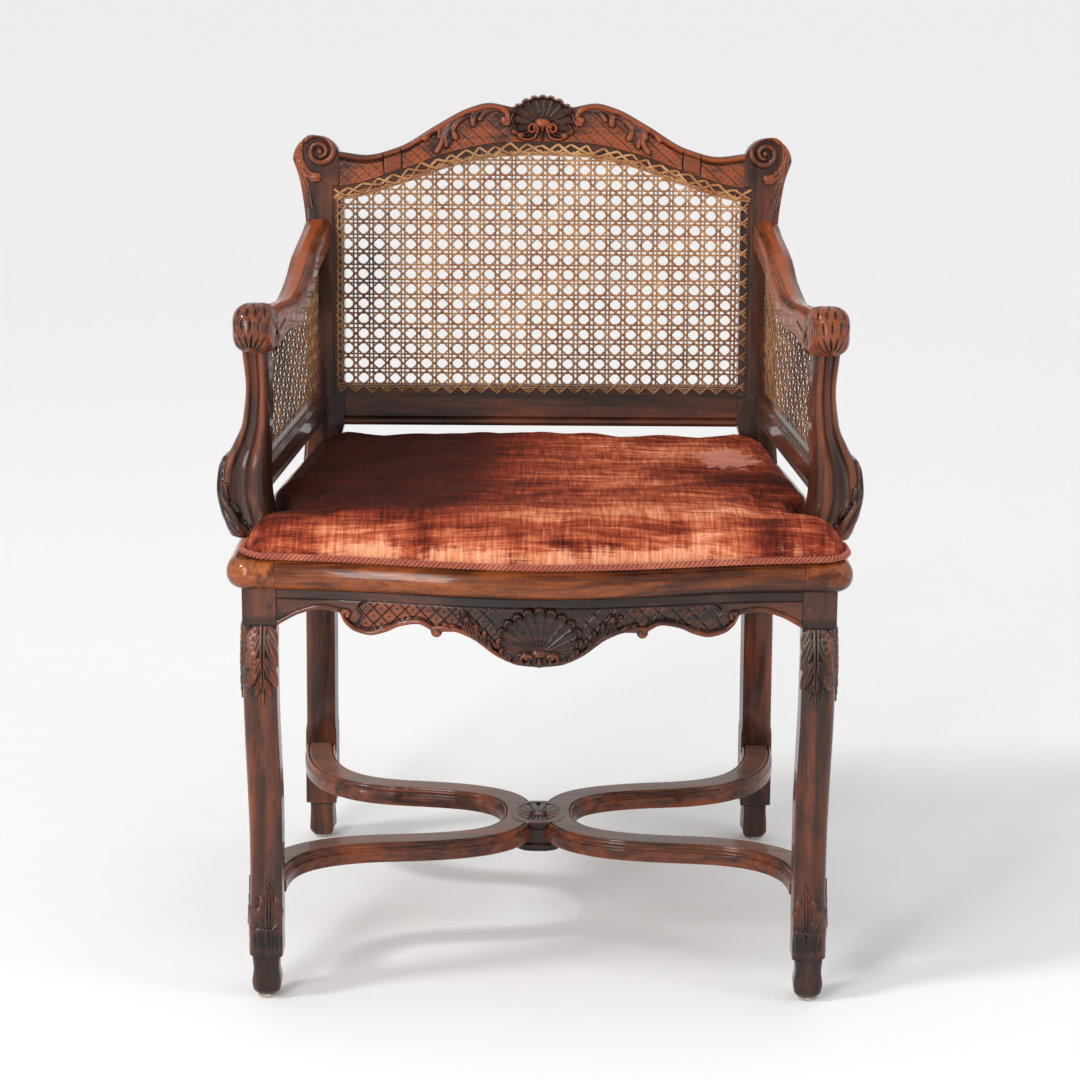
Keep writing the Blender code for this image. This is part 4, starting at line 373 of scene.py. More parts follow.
class Relief:
    """Heights over a flat net of places, raised and cut stroke by stroke, and the wear of each stroke.

    Strokes are in millimetres. Wear is 1 on wood rubbed bare and -1 where it is black with age.
    """

    def __init__(self, x, y):
        self.x, self.y = x / MM, y / MM
        self.height, self.tint, self.dust = (np.zeros(x.shape) for _ in range(3))

    def near(self, line, width):
        """Places within a width of a line: their distances, shares along it, and which side they are on."""
        low, high = line.min(0) - width, line.max(0) + width
        mask = (self.x > low[0]) & (self.x < high[0]) & (self.y > low[1]) & (self.y < high[1])
        place = np.stack((self.x[mask], self.y[mask]), -1)[:, None]
        start, way = line[:-1], np.diff(line, axis=0)
        t = np.clip(((place - start) * way).sum(-1) / ((way**2).sum(-1) + TINY), 0, 1)
        off = place - start - way * t[..., None]
        apart = np.linalg.norm(off, axis=-1)
        if not apart.size:
            return mask, np.zeros(0), np.zeros(0), np.zeros(0)
        pick = apart.argmin(1)
        rows = np.arange(len(pick))
        turn = way[pick, 0] * off[rows, pick, 1] - way[pick, 1] * off[rows, pick, 0]
        return mask, apart[rows, pick], (pick + t[rows, pick]) / len(way), np.sign(turn)

    def lift(self, mask, height, body, wear):
        """Raises places that are lower than a stroke. Body is 1 on its crown and 0 at its dark edge."""
        over = (height > self.height[mask]) & (body > 0)
        self.height[mask] = np.where(over, height, self.height[mask])
        self.tint[mask] = np.where(over, wear * body - EDGE_DARK * (1 - body) ** 3, self.tint[mask])

    def roll(self, line, width, height, taper=(1, 1), wear=(0.45, 0.45)):
        """A round moulding along a line."""
        mask, apart, share, _ = self.near(line, width)
        reach = width * between(taper, share)
        body = np.sqrt(np.clip(1 - (apart / reach) ** 2, 0, 1))
        self.lift(mask, height * body, body, between(wear, share))

    def lobe(self, points, root, tip, height, vein, wear=(-0.4, 0.85)):
        """A carved lobe: narrow at its root, round and full at its tip, gouged along its middle."""
        mask, apart, share, _ = self.near(bend(points, 26), max(root, tip))
        r = apart / between((root, tip), share)
        gouge = vein * bump(r, 0.38) * (1 - ramp(share, 0.62, 0.92))
        body = np.clip(1 - r**2, 0, 1) ** 0.42 * (1 - gouge)
        self.lift(mask, height * (0.62 + 0.38 * share) * body, body, between(wear, share))

    def blade(self, points, width, height, flutes, wear):
        """A long leaf: flutes side by side that narrow to a point."""
        mask, apart, share, side = self.near(bend(points, 36), width)
        reach = width * np.sqrt(np.sin(np.pi * (0.10 + 0.86 * share)))
        t = apart * side / reach
        ridges = 0.42 + 0.58 * np.abs(np.cos(np.pi * flutes * t / 2)) ** 0.8
        body = ridges * np.clip(1 - t**2, 0, 1) ** 0.3
        self.lift(mask, height * body, body, between(wear, share))

    def tongue(self, centre, half_width, half_length, height, wear):
        """A low oval pad."""
        across, along = (self.x - centre[0]) / half_width, (self.y - centre[1]) / half_length
        oval = np.clip(1 - across**2 - along**2, 0, 1)
        body = np.sqrt(oval[oval > 0])
        self.lift(oval > 0, height * body, body, wear)

    def dome(self, centre, radius, height, wear):
        apart = np.hypot(self.x - centre[0], self.y - centre[1]) / radius
        mask = apart < 1
        body = np.sqrt(1 - apart[mask] ** 2)
        self.lift(mask, height * body, body, wear)

    def sink(self, mask, cut, depth, dark):
        self.height[mask] -= depth * cut
        self.tint[mask] -= dark * cut

    def groove(self, line, width, depth):
        mask, apart, _, _ = self.near(line, 2.5 * width)
        self.sink(mask, bump(apart, width), depth, 1.2)

    def gouge(self, points, width, depth):
        """A lens-shaped cut, deepest half way along it."""
        mask, apart, share, _ = self.near(bend(points, 16), 2.5 * width)
        lens = np.sqrt(np.sin(np.pi * np.clip(share, 0.02, 0.98)))
        self.sink(mask, lens * bump(apart, width * lens), depth, 1.3)

    def volute(self, line, width, height, eye, wear):
        """A roll that winds in to a round eye."""
        self.roll(line, width, height, (1, 0.8), (wear, wear))
        self.dome(line[-1], eye, height * 1.25, wear)

    def lattice(self, across, where, pitch, lean, depth, groove_highlight, thin=0.72):
        """Crossed scored lines with a punched dot in each lozenge, where a mask says.

        The lines of one way may be painted pale: a painted highlight on their groove walls.
        """
        a, b = across / MM / pitch + self.y / lean, across / MM / pitch - self.y / lean
        for phase, pale in ((a % 1, 0), (b % 1, groove_highlight)):
            line = where * bump(np.abs(phase - 0.5) * pitch, thin)
            self.height -= depth * line
            self.tint -= 1.3 * line * (1 - pale)
            # A pale line is a painted highlight on its groove wall, kept with the dust
            self.dust += line * pale
        dot = where * bump(np.hypot((a + 0.5) % 1 - 0.5, (b + 0.5) % 1 - 0.5) * pitch * 0.7, 1.2 * thin)
        self.height -= depth * 1.2 * dot
        self.tint -= 1.2 * dot

    def shell(self, hinge, flutes, height, wear):
        """A scallop: smooth dark flutes that fan from a hinge, each with a thin rolled rim."""
        angles, radii = np.array(flutes, float).T
        across, up = self.x - hinge[0], self.y - hinge[1]
        turn = np.degrees(np.arctan2(np.abs(across), up))
        edges = np.concatenate(([-(angles[0] + angles[1]) / 2], (angles[:-1] + angles[1:]) / 2,
                                [1.5 * angles[-1] - 0.5 * angles[-2]]))
        pick = np.clip(np.searchsorted(edges, turn) - 1, 0, len(angles) - 1)
        f = np.clip((turn - edges[pick]) / (edges[pick + 1] - edges[pick]) * 2 - 1, -1, 1)
        share = np.hypot(across, up) / (radii[pick] * (0.84 + 0.16 * np.sqrt(1 - f**2)))
        end = ramp(share, 0.82, 0.96)
        wall = np.maximum(0.62 * np.abs(f) ** 3.6, end**1.5)
        fan = (0.50 + 0.50 * share) * (0.26 + 0.74 * wall)
        rim = np.sqrt(np.clip(1 - ((share - 0.962) / 0.038) ** 2, 0, 1))
        seam = bump(1 - np.abs(f), 0.06) * ramp(share, 0.25, 0.6)
        profile = np.where(share < 0.962, fan, rim) * (1 - 0.5 * seam)
        inside = (share <= 1) & (turn < edges[-1])
        rubbed = -0.30 + (0.30 + wear) * ramp(share, 0.915, 0.965)
        rubbed = rubbed + 0.5 * wear * ramp(np.abs(f), 0.78, 0.94) * ramp(share, 0.2, 0.7)
        self.height = np.where(inside, np.maximum(height * profile, 0.1 * height), self.height)
        self.tint = np.where(inside, np.clip(rubbed, -1, wear) - 1.2 * seam, self.tint)


# The seat's plan

FRONT_EDGE_Y = FRONT_LEG_Y - LEG_HALF - 0.85 * SEAT_OVERHANG
CREASE_X = FRONT_LEG_X - LEG_HALF + 0.0005
EAR_X = FRONT_LEG_X + LEG_HALF + SEAT_OVERHANG
STILE_FRONT_Y = BACK_LEG_Y - BACK_LEG_DEPTH / 2
SEAT_BACK_X = BACK_LEG_X + BACK_LEG_WIDTH / 2 + SEAT_BACK_OVERHANG
seat_side = smooth_through(
    (FRONT_EDGE_Y, EAR_X), (POST_Y, EAR_X - 0.001),
    ((POST_Y + STILE_FRONT_Y) / 2, (EAR_X + SEAT_BACK_X) / 2 + 0.002), (STILE_FRONT_Y, SEAT_BACK_X),
)


def bow(x):
    """How far the seat's serpentine front stands forward of its corners."""
    return SEAT_BOW * (1 + np.cos(np.pi * np.minimum(np.abs(x) / CREASE_X, 1))) / 2


def seat_front(x):
    return FRONT_EDGE_Y - bow(x)


def seat_front_inner(x):
    return FRONT_EDGE_Y + FRONT_RAIL_WIDTH - bow(x) / 2


# Finishes

def feed(tree, socket, value):
    """Sets a socket to a value, or links another node's socket to it."""
    if isinstance(value, bpy.types.NodeSocket):
        tree.links.new(value, socket)
    else:
        socket.default_value = value


def node(tree, kind, inputs=None, **settings):
    """A shader node. Inputs are values or other nodes' sockets."""
    made = tree.nodes.new(kind)
    for name, value in settings.items():
        setattr(made, name, value)
    for name, value in (inputs or {}).items():
        feed(tree, made.inputs[name], value)
    return made


def colour(*screen):
    """A colour as a screen shows it, 0 to 255, in the shader's linear terms."""
    return tuple(((k / 255 + 0.055) / 1.055) ** 2.4 if k > 10 else k / 255 / 12.92 for k in screen) + (1,)


def new_material(name):
    material = bpy.data.materials.new(name)
    material.use_nodes = True
    tree = material.node_tree
    return material, tree, tree.nodes["Principled BSDF"]


def noise(tree, stretch, scale, detail=5.0, roughness=0.6, distortion=0.0):
    """Noise in the object's own place, drawn out along its axes."""
    place = node(tree, "ShaderNodeTexCoord").outputs["Object"]
    mapped = node(tree, "ShaderNodeMapping", {"Vector": place, "Scale": stretch})
    return node(tree, "ShaderNodeTexNoise", {
        "Vector": mapped.outputs["Vector"], "Scale": scale, "Detail": detail, "Roughness": roughness,
        "Distortion": distortion,
    }).outputs["Fac"]


def spread_of(tree, value, low, high, to_low=0.0, to_high=1.0):
    return node(tree, "ShaderNodeMapRange", {
        "Value": value, "From Min": low, "From Max": high, "To Min": to_low, "To Max": to_high,
    }, interpolation_type="SMOOTHSTEP").outputs["Result"]


def blend(tree, share, first, second):
    made = node(tree, "ShaderNodeMix", data_type="RGBA")
    for i, value in ((0, share), (6, first), (7, second)):
        feed(tree, made.inputs[i], value)
    return made.outputs[2]


def layered(tree, base, *layers):
    """Tones laid over a base, each up to its share as a value goes from low to high."""
    for value, low, high, most, tone in layers:
        base = blend(tree, spread_of(tree, value, low, high, 0.0, most), base, tone)
    return base


def math_of(tree, operation, *values, clamp=False):
    made = node(tree, "ShaderNodeMath", operation=operation, use_clamp=clamp)
    for socket, value in zip(made.inputs, values):
        feed(tree, socket, value)
    return made.outputs[0]


def plus(tree, first, *others):
    for other in others:
        first = math_of(tree, "ADD", first, other)
    return first


def times(tree, first, second):
    return math_of(tree, "MULTIPLY", first, second)


def swing(tree, value, middle, gain):
    """How far a value is from its middle, times a gain."""
    return times(tree, math_of(tree, "SUBTRACT", value, middle), gain)


def attribute(tree, name):
    return node(tree, "ShaderNodeAttribute", attribute_name=name).outputs["Fac"]


def complete(tree, shader, base, roughness, fine_relief=None, constants=None):
    """Gives a finish its colour, its roughness, any fine relief and its constants."""
    feed(tree, shader.inputs["Base Color"], base)
    feed(tree, shader.inputs["Roughness"], roughness)
    if fine_relief:
        raised = node(tree, "ShaderNodeBump", dict(zip(("Height", "Strength", "Distance"), fine_relief)))
        feed(tree, shader.inputs["Normal"], raised.outputs["Normal"])
    for name, value in (constants or {}).items():
        shader.inputs[name].default_value = value


# The pale grey tone serves both for dust and for painted highlights
WOOD_TONES = {
    "black": colour(22, 15, 13), "deep": colour(52, 33, 27), "mid": colour(78, 45, 33),
    "warm": colour(114, 59, 35), "rubbed": colour(154, 75, 34), "dust": colour(164, 146, 130),
}
SEAT_TONES = {
    "black": colour(40, 18, 9), "deep": colour(84, 38, 15), "mid": colour(142, 72, 28),
    "warm": colour(170, 90, 38), "rubbed": colour(190, 110, 54), "dust": colour(200, 170, 140),
}


def wood(name, grain, tones, age=1.0, roughness=0.30, dusty=0.0):
    """Old varnished walnut: streaks along the grain, black in its hollows, rubbed where it stands proud.

    A dusty member is grey on its upward faces.
    """
    material, tree, shader = new_material(name)

    def along_grain(share):
        return [share if axis == grain else 1.0 for axis in range(3)]

    streak = noise(tree, along_grain(0.07), 190.0, 6.0, 0.62, 0.5)
    figure = noise(tree, along_grain(0.07), 42.0, 4.0, 0.55, 1.2)
    patina = noise(tree, along_grain(0.4), 17.0, 5.0, 0.62, 0.3)
    pores = noise(tree, along_grain(0.07 * 0.35), 900.0, 2.0, 0.5)
    hollow, proud, tint, dust = (attribute(tree, key) for key in ("hollow", "proud", "tint", "dust"))
    tone = plus(tree, times(tree, streak, 0.55), times(tree, figure, 0.45))
    patchy = swing(tree, patina, 0.5, 0.8)
    worn = plus(tree, times(tree, proud, 0.5), patchy)
    rubbed = plus(tree, tint, plus(tree, swing(tree, tone, 0.5, 1.7), times(tree, patchy, 1.1)))
    if dusty:
        normal = node(tree, "ShaderNodeNewGeometry").outputs["Normal"]
        facing = node(tree, "ShaderNodeSeparateXYZ", {"Vector": normal})
        settled = spread_of(tree, facing.outputs["Z"], 0.75, 0.97, 0.0, dusty)
        dust = plus(tree, dust, times(tree, settled, spread_of(tree, hollow, 0.05, 0.5, 1.0, 0.2)))
    base = layered(
        tree, blend(tree, spread_of(tree, tone, 0.38, 0.62), tones["deep"], tones["mid"]),
        (patina, 0.46, 0.68, 0.6, tones["warm"]), (patina, 0.44, 0.28, 0.4 * age, tones["black"]),
        (figure, 0.50, 0.36, 0.6 * age, tones["black"]), (worn, 0.25, 0.90, 0.60, tones["rubbed"]),
        (rubbed, 0.05, 0.95, 0.95, tones["rubbed"]), (tint, -0.08, -0.80, 0.92, tones["black"]),
        (hollow, 0.05, 0.62, 0.94, tones["black"]), (pores, 0.60, 0.72, 0.4, tones["black"]),
        (dust, 0.0, 1.0, 0.8, tones["dust"]),
    )
    dull = plus(tree, spread_of(tree, hollow, 0.0, 0.7, 0.0, 0.12),
                spread_of(tree, patina, 0.3, 0.7, -0.06, 0.12))
    rough = plus(tree, times(tree, streak, 0.6), times(tree, pores, -0.5))
    complete(tree, shader, base, plus(tree, dull, roughness), (rough, 0.22, 0.0006),
             {"Specular IOR Level": 0.14, "Coat Weight": 0.48, "Coat Roughness": 0.07})
    return material


def cane_finish():
    """Split cane: tan skin with darker runs, browned where a strand's age says so."""
    material, tree, shader = new_material("cane")
    mottle = noise(tree, (1, 1, 1), 60.0, 4.0, 0.6)
    fibre = noise(tree, (1, 1, 1), 700.0, 3.0, 0.6)
    base = blend(tree, spread_of(tree, mottle, 0.35, 0.65), colour(168, 108, 62), colour(214, 162, 106))
    base = layered(tree, base, (fibre, 0.45, 0.72, 0.5, colour(112, 66, 40)))
    base = blend(tree, attribute(tree, "age"), base, colour(58, 34, 26))
    complete(tree, shader, base, spread_of(tree, fibre, 0.3, 0.7, 0.38, 0.58), (fibre, 0.3, 0.0003))
    return material


VELVET_RAMP = (
    (0.00, colour(44, 16, 12)), (0.22, colour(78, 29, 20)), (0.42, colour(126, 50, 33)),
    (0.58, colour(160, 74, 48)), (0.74, colour(196, 108, 74)), (0.90, colour(222, 148, 110)),
    (1.00, colour(234, 170, 134)),
)


def velvet_finish():
    """Worn velvet: its nap goes from dark to pale as it was brushed, and it is bald above the front cord."""
    material, tree, shader = new_material("velvet")
    cloud = noise(tree, (1, 1, 1), 11.0, 4.0, 0.6, 0.8)
    weft = noise(tree, (0.07, 1, 1), 330.0, 5.0, 0.65, 0.2)
    warp = noise(tree, (1, 0.07, 0.10), 330.0, 5.0, 0.65, 0.2)
    brush = noise(tree, (0.16, 1, 1), 70.0, 4.0, 0.6, 0.6)
    tooth = noise(tree, (1, 0.10, 0.10), 120.0, 4.0, 0.7)
    pile = noise(tree, (1, 1, 1), 1500.0, 2.0, 0.5)
    edge = noise(tree, (1, 1, 1), 62.0, 5.0, 0.62, 0.4)
    nap, bald, stain = (attribute(tree, key) for key in ("nap", "bald", "stain"))
    threads = plus(tree, weft, warp)
    lively = spread_of(tree, nap, 0.06, 0.40, 0.46, 1.08)
    sway = plus(tree, swing(tree, threads, 1.0, 0.75), swing(tree, brush, 0.5, 0.9),
                swing(tree, cloud, 0.5, 0.7))
    light = math_of(tree, "ADD", nap, times(tree, sway, lively), clamp=True)
    ramp_node = node(tree, "ShaderNodeValToRGB", {"Fac": light})
    stops = ramp_node.color_ramp.elements
    while len(stops) < len(VELVET_RAMP):
        stops.new(0.5)
    for stop, (place, tone) in zip(stops, VELVET_RAMP):
        stop.position, stop.color = place, tone
    skin = blend(tree, spread_of(tree, warp, 0.36, 0.64), colour(206, 122, 86), colour(236, 170, 132))
    rubbed = plus(tree, bald, swing(tree, tooth, 0.5, 0.9), swing(tree, weft, 0.5, 0.8))
    base = layered(tree, ramp_node.outputs["Color"], (rubbed, 0.38, 0.74, 0.94, skin))
    felt = blend(tree, spread_of(tree, pile, 0.3, 0.7), colour(178, 104, 88), colour(230, 164, 146))
    matted = spread_of(tree, plus(tree, stain, swing(tree, edge, 0.5, 1.9)), 0.56, 0.70)
    base = blend(tree, times(tree, matted, spread_of(tree, weft, 0.34, 0.6, 0.45, 0.95)), base, felt)
    height = plus(tree, times(tree, threads, 0.45), times(tree, pile, 0.5))
    complete(tree, shader, base, spread_of(tree, threads, 0.7, 1.3, 0.66, 0.90), (height, 0.35, 0.0012),
             {"Specular IOR Level": 0.08, "Sheen Weight": 0.04, "Sheen Roughness": 0.4,
              "Sheen Tint": colour(240, 150, 110)})
    return material


def piping_finish():
    """Twisted silk cord in the velvet's colour, rubbed paler in patches, and darker in the creases between
    its plies: painted shade.
    """
    material, tree, shader = new_material("piping")
    yarn = noise(tree, (1, 1, 1), 900.0, 3.0, 0.6)
    wear = noise(tree, (1, 1, 1), 24.0, 3.0, 0.6)
    base = blend(tree, spread_of(tree, yarn, 0.35, 0.65), colour(128, 50, 31), colour(190, 92, 58))
    base = layered(tree, base, (wear, 0.52, 0.70, 0.45, colour(216, 130, 92)))
    # Painted shade: the creases between the plies go dark
    base = blend(tree, attribute(tree, "painted_crease_shade"), base, colour(60, 22, 16))
    complete(tree, shader, base, spread_of(tree, yarn, 0.3, 0.7, 0.55, 0.80), (yarn, 0.4, 0.0006),
             {"Sheen Weight": 0.2})
    return material


def glide_finish():
    material, tree, shader = new_material("glide")
    scuff = noise(tree, (1, 1, 1), 260.0, 4.0, 0.65)
    base = blend(tree, spread_of(tree, scuff, 0.35, 0.65), colour(150, 140, 124), colour(205, 198, 184))
    complete(tree, shader, base, spread_of(tree, scuff, 0.3, 0.7, 0.35, 0.6), constants={"Metallic": 0.35})
    return material


WALNUT = [wood(f"walnut_along_{axis}", i, WOOD_TONES) for i, axis in enumerate("xyz")]
LOW_WALNUT = wood("walnut_low", 0, WOOD_TONES, dusty=0.36)
SEAT_WALNUT = [wood(f"seat_walnut_along_{axis}", i, SEAT_TONES, 0.75, 0.22) for i, axis in enumerate("xy")]
CANE, VELVET, PIPING, GLIDE = cane_finish(), velvet_finish(), piping_finish(), glide_finish()


# Seat rails

def rail_section(width, rows):
    """A rail's section from its inner face out: flat underside, bullnose, flat top and the rebate."""
    width = np.broadcast_to(np.asarray(width, float), (rows,))
    angle = np.radians(np.linspace(-90, 90, 28))
    nose_u = (width - SEAT_BULLNOSE)[:, None] + SEAT_BULLNOSE * np.cos(angle)
    nose_v = np.broadcast_to(SEAT_THICK / 2 * (1 + np.sin(angle)), nose_u.shape)
    floor = SEAT_THICK - REBATE_DEPTH
    flat = np.array([(0, 0), (0.25, 0), (0.5, 0), (0.75, 0)])
    under = np.stack((flat[:, 0] * (width - SEAT_BULLNOSE)[:, None], np.zeros((rows, 4))), -1)
    top_share = np.linspace(0, 1, 8)[1:]
    top_u = (width - SEAT_BULLNOSE)[:, None] * (1 - top_share) + REBATE_WIDTH * top_share
    top = np.stack((top_u, np.full_like(top_u, SEAT_THICK)), -1)
    step = np.broadcast_to(np.array([(REBATE_WIDTH, floor), (0, floor)]), (rows, 2, 2))
    return np.concatenate((under, np.stack((nose_u, nose_v), -1), top, step), 1)


def seat_rail(name, inner, outer, grain):
    """A rail through pairs of points on its inner and its outer edge, softened by years of use."""
    inner, outer = (at_height(np.column_stack(line), SEAT_HEIGHT - SEAT_THICK) for line in (inner, outer))
    way = outer - inner
    width = np.linalg.norm(way, axis=1)
    points = placed(rail_section(width, len(width)), inner, way / width[:, None], Z_AXIS)
    ends = np.minimum(np.arange(len(width)), np.arange(len(width))[::-1])[:, None]
    worn = years_of_use(points, 0.25, 3, 0.02) * np.minimum(ends, 1)
    x, z = points[..., 0], points[..., 2] - SEAT_HEIGHT + SEAT_THICK
    # Painted shadow: the rails go darker towards the right, where the cushion's overhang shades them, and
    # darker along their lower edge; the ripple adds patchy grime
    painted_shadow_and_grime = 0.45 * ramp(x, 0.0, 0.20) + 0.35 * ramp(-z, -0.010, -0.002)
    painted_shadow_and_grime = painted_shadow_and_grime + 0.3 * ripple(x, 3 * z, seed=4, scale=0.03)
    carved(f"{name}_dressed", points, worn, SEAT_WALNUT[grain], [name], slot="seat_walnut",
           tint=0.05 - painted_shadow_and_grime)


def seat_rails():
    x = np.linspace(-(CREASE_X - GAP), CREASE_X - GAP, 161)
    seat_rail("seat_rail_front", (x, seat_front_inner(x)), (x, seat_front(x)), 0)
    turn = np.radians(np.linspace(-90, 0, 26))
    corner_y = seat_front_inner(CREASE_X)
    y = np.linspace(corner_y + 0.012, STILE_FRONT_Y - GAP, 70)
    outer_x = np.concatenate(([CREASE_X], EAR_X - SEAT_CORNER_RADIUS * (1 - np.cos(turn)), seat_side(y)))
    outer_y = np.concatenate(([FRONT_EDGE_Y], FRONT_EDGE_Y + SEAT_CORNER_RADIUS * (1 + np.sin(turn)), y))
    round_corner = 1 + len(turn)
    inner_x = np.concatenate((np.full(round_corner, CREASE_X), seat_side(y) - SIDE_RAIL_WIDTH))
    inner_y = np.concatenate((np.full(round_corner, corner_y), y))
    for name, side in SIDES.items():
        seat_rail(f"seat_rail_{name}", (side * inner_x, inner_y), (side * outer_x, outer_y), 1)


# Front legs

leg_out = smooth_through(
    (0, 0), (0.02, 0.0003), (0.12, 0.0008), (0.28, 0.0005), (0.47, -0.0005), (0.68, -0.0013), (0.85, -0.001),
    (0.95, -0.0005), (1, 0),
)
leg_forward = smooth_through(
    (0, 0), (0.02, 0.002), (0.12, 0.006), (0.28, 0.0055), (0.47, 0.001), (0.68, -0.0035), (0.85, -0.0038),
    (0.95, -0.001), (1, 0.001),
)
leg_half = smooth_through(
    (0, LEG_HALF), (0.12, LEG_HALF + 0.0003), (0.47, LEG_HALF + 0.0003), (0.85, LEG_HALF - 0.0003),
    (1, LEG_HALF + 0.0005),
)
foot_half = smooth_through(
    (GLIDE_HEIGHT + GAP, FOOT_HALF * 0.72), (FOOT_BLOCK_BOTTOM * 0.2, FOOT_HALF * 0.96),
    (FOOT_BLOCK_BOTTOM * 0.38, FOOT_HALF * 1.04), (FOOT_BLOCK_BOTTOM * 0.66, FOOT_HALF * 0.94),
    (FOOT_BLOCK_BOTTOM - 0.002, FOOT_HALF), (FOOT_BLOCK_BOTTOM, FOOT_HALF * 1.02),
)


def shank_share(z):
    return (SHANK_TOP - z) / (SHANK_TOP - FOOT_BLOCK_TOP)


def knee_leaf(relief):
    """Acanthus hanging from the top of the knee: a grooved stem with fluted plumes on both sides."""
    for way in (-1, 1):
        for root, middle, tip, width, wear in (
            ((6.5, 0), (10.5, 8), (13.0, 17), 5.4, -0.2), ((4.5, 10), (9.5, 23), (13.5, 37), 6.0, 0.15),
            ((3.5, 32), (8.5, 44), (13.0, 57), 5.6, 0.30), ((2.5, 53), (5.0, 60), (7.0, 67), 3.4, 0.35),
        ):
            line = [(way * x, -y) for x, y in (root, middle, tip)]
            relief.blade(line, width, 2.8 * MM, 3, (wear, wear * 0.6))
            relief.lobe(line[1:], width * 0.35, width * 0.55, 2.9 * MM, 0.2, (-0.1, wear + 0.1))
    relief.roll(bend([(0, 0), (0, -40), (0, -77)], 20), 4.3, 3.1 * MM, (1, 0.3), (-0.2, 0.3))
    relief.groove(bend([(0, 2), (0, -35), (0, -66)], 20), 0.9, 1.6 * MM)
    # Grey on the raised upper plumes: painted highlight, kept with the dust
    relief.dust += 0.35 * ramp(relief.y, -44, -4) * ramp(relief.height / MM, 1.4, 2.6)


def toe_leaf(relief):
    """A pointed leaf that runs up the shank between two lower lobes, over gouges on the toe's block."""
    for way in (-1, 1):
        for points, root, tip, height, vein, worn in (
            (((3, 0), (8.5, 8), (11.5, 18)), 3.4, 4.6, 1.9, 0.5, -0.05),
            (((2, 10), (6.5, 20), (8, 29)), 2.8, 3.6, 2.1, 0.4, 0.0),
        ):
            relief.lobe([(way * x, y) for x, y in points], root, tip, height * MM, vein, (-0.35, worn))
    relief.blade(((0, 0), (0, 20), (0, 43)), 5.2, 2.4 * MM, 3, (-0.3, 0.25))
    block = ramp(-relief.y, -2, 1) * ramp(relief.y, -30, -27)
    relief.tint -= 0.12 * block
    for n in range(-3, 4):
        sway, odd = 0.6 * math.sin(2.1 * n), 2 * (n % 2)
        relief.gouge(((n * 4.9, -2 - odd), (n * 4.7 + sway, -13), (n * 4.4, -25 + odd)), 1.7, 1.7 * MM)


def front_leg_rings(side):
    """A front leg's heights, and its sections and points from the seat to the foot."""
    block = np.linspace(LEG_TOP, SHANK_TOP + 0.0006, 24)
    shank = SHANK_TOP - np.linspace(0.002, 1, 330) * (SHANK_TOP - FOOT_BLOCK_TOP)
    toe = np.linspace(FOOT_BLOCK_TOP - 0.0008, FOOT_BLOCK_BOTTOM + 0.0006, 38)
    foot = np.linspace(FOOT_BLOCK_BOTTOM, GLIDE_HEIGHT + GAP, 44)
    z = np.concatenate((block, shank, toe, foot))
    share = np.clip(shank_share(z), 0, 1)
    half = leg_half(share)
    half[-len(foot):] = foot_half(foot)
    half[-len(toe) - len(foot):-len(foot)] = LEG_HALF + 0.0004
    forward = np.where(z < FOOT_BLOCK_TOP, FOOT_FORWARD, leg_forward(share))
    ease = np.full((len(z), 4), 0.003)
    ease[:, 0], ease[:, 1] = 0.014, 0.006
    ease[: len(block)] = 0.0012
    ease[z < FOOT_BLOCK_BOTTOM + 0.0004] = 0.008
    section, place = eased_section(box_corners(-half, half, -half, half), ease, (34, 12, 12, 26), 12)
    origin = np.column_stack((side * (FRONT_LEG_X + leg_out(share)), FRONT_LEG_Y - forward, z))
    return z, section, place, placed(section, origin, X_AXIS * side, -Y_AXIS)


def front_leg(name, side):
    z, section, place, points = front_leg_rings(side)
    run, round_leg = run_round(section)
    down = np.broadcast_to(z[:, None], run.shape)
    height, tint, dust = (np.zeros(run.shape) for _ in range(3))
    for face in (0.5, 3.5):
        centre = run[:, [int(np.abs(place - face).argmin())]]
        wrap = (run - centre + round_leg / 2) % round_leg - round_leg / 2
        knee, toe = Relief(wrap, down - SHANK_TOP + 0.002), Relief(wrap, down - FOOT_BLOCK_TOP)
        knee_leaf(knee)
        toe_leaf(toe)
        for relief in (knee, toe):
            tint = np.where(np.abs(relief.tint) > np.abs(tint), relief.tint, tint)
            height = np.where(np.abs(relief.height) > np.abs(height), relief.height, height)
            dust = np.maximum(dust, relief.dust)
    leafy = ((z < SHANK_TOP) & (z > FOOT_BLOCK_BOTTOM))[:, None]
    height = height * leafy
    height += years_of_use(points, 0.25, 5, 0.018) * (z < SHANK_TOP)[:, None]
    # The top block goes darker towards its lower edge
    block_foot_dark = 0.5 * ramp(-z, -SHANK_TOP - 0.014, -SHANK_TOP - 0.006)
    block = ramp(z, SHANK_TOP, SHANK_TOP + 0.003) * (-0.06 - block_foot_dark)
    foot = 0.12 * ramp(-z, -FOOT_BLOCK_BOTTOM, -FOOT_BLOCK_BOTTOM + 0.004)
    foot = foot - 0.6 * bump(z - FOOT_BLOCK_BOTTOM, 0.004)
    carved(f"front_leg_{name}_dressed", points, height, WALNUT[2], [f"front_leg_{name}"],
           tint=tint * leafy + (block + foot)[:, None], dust=dust * leafy)


# Back: stiles, crest and their carving

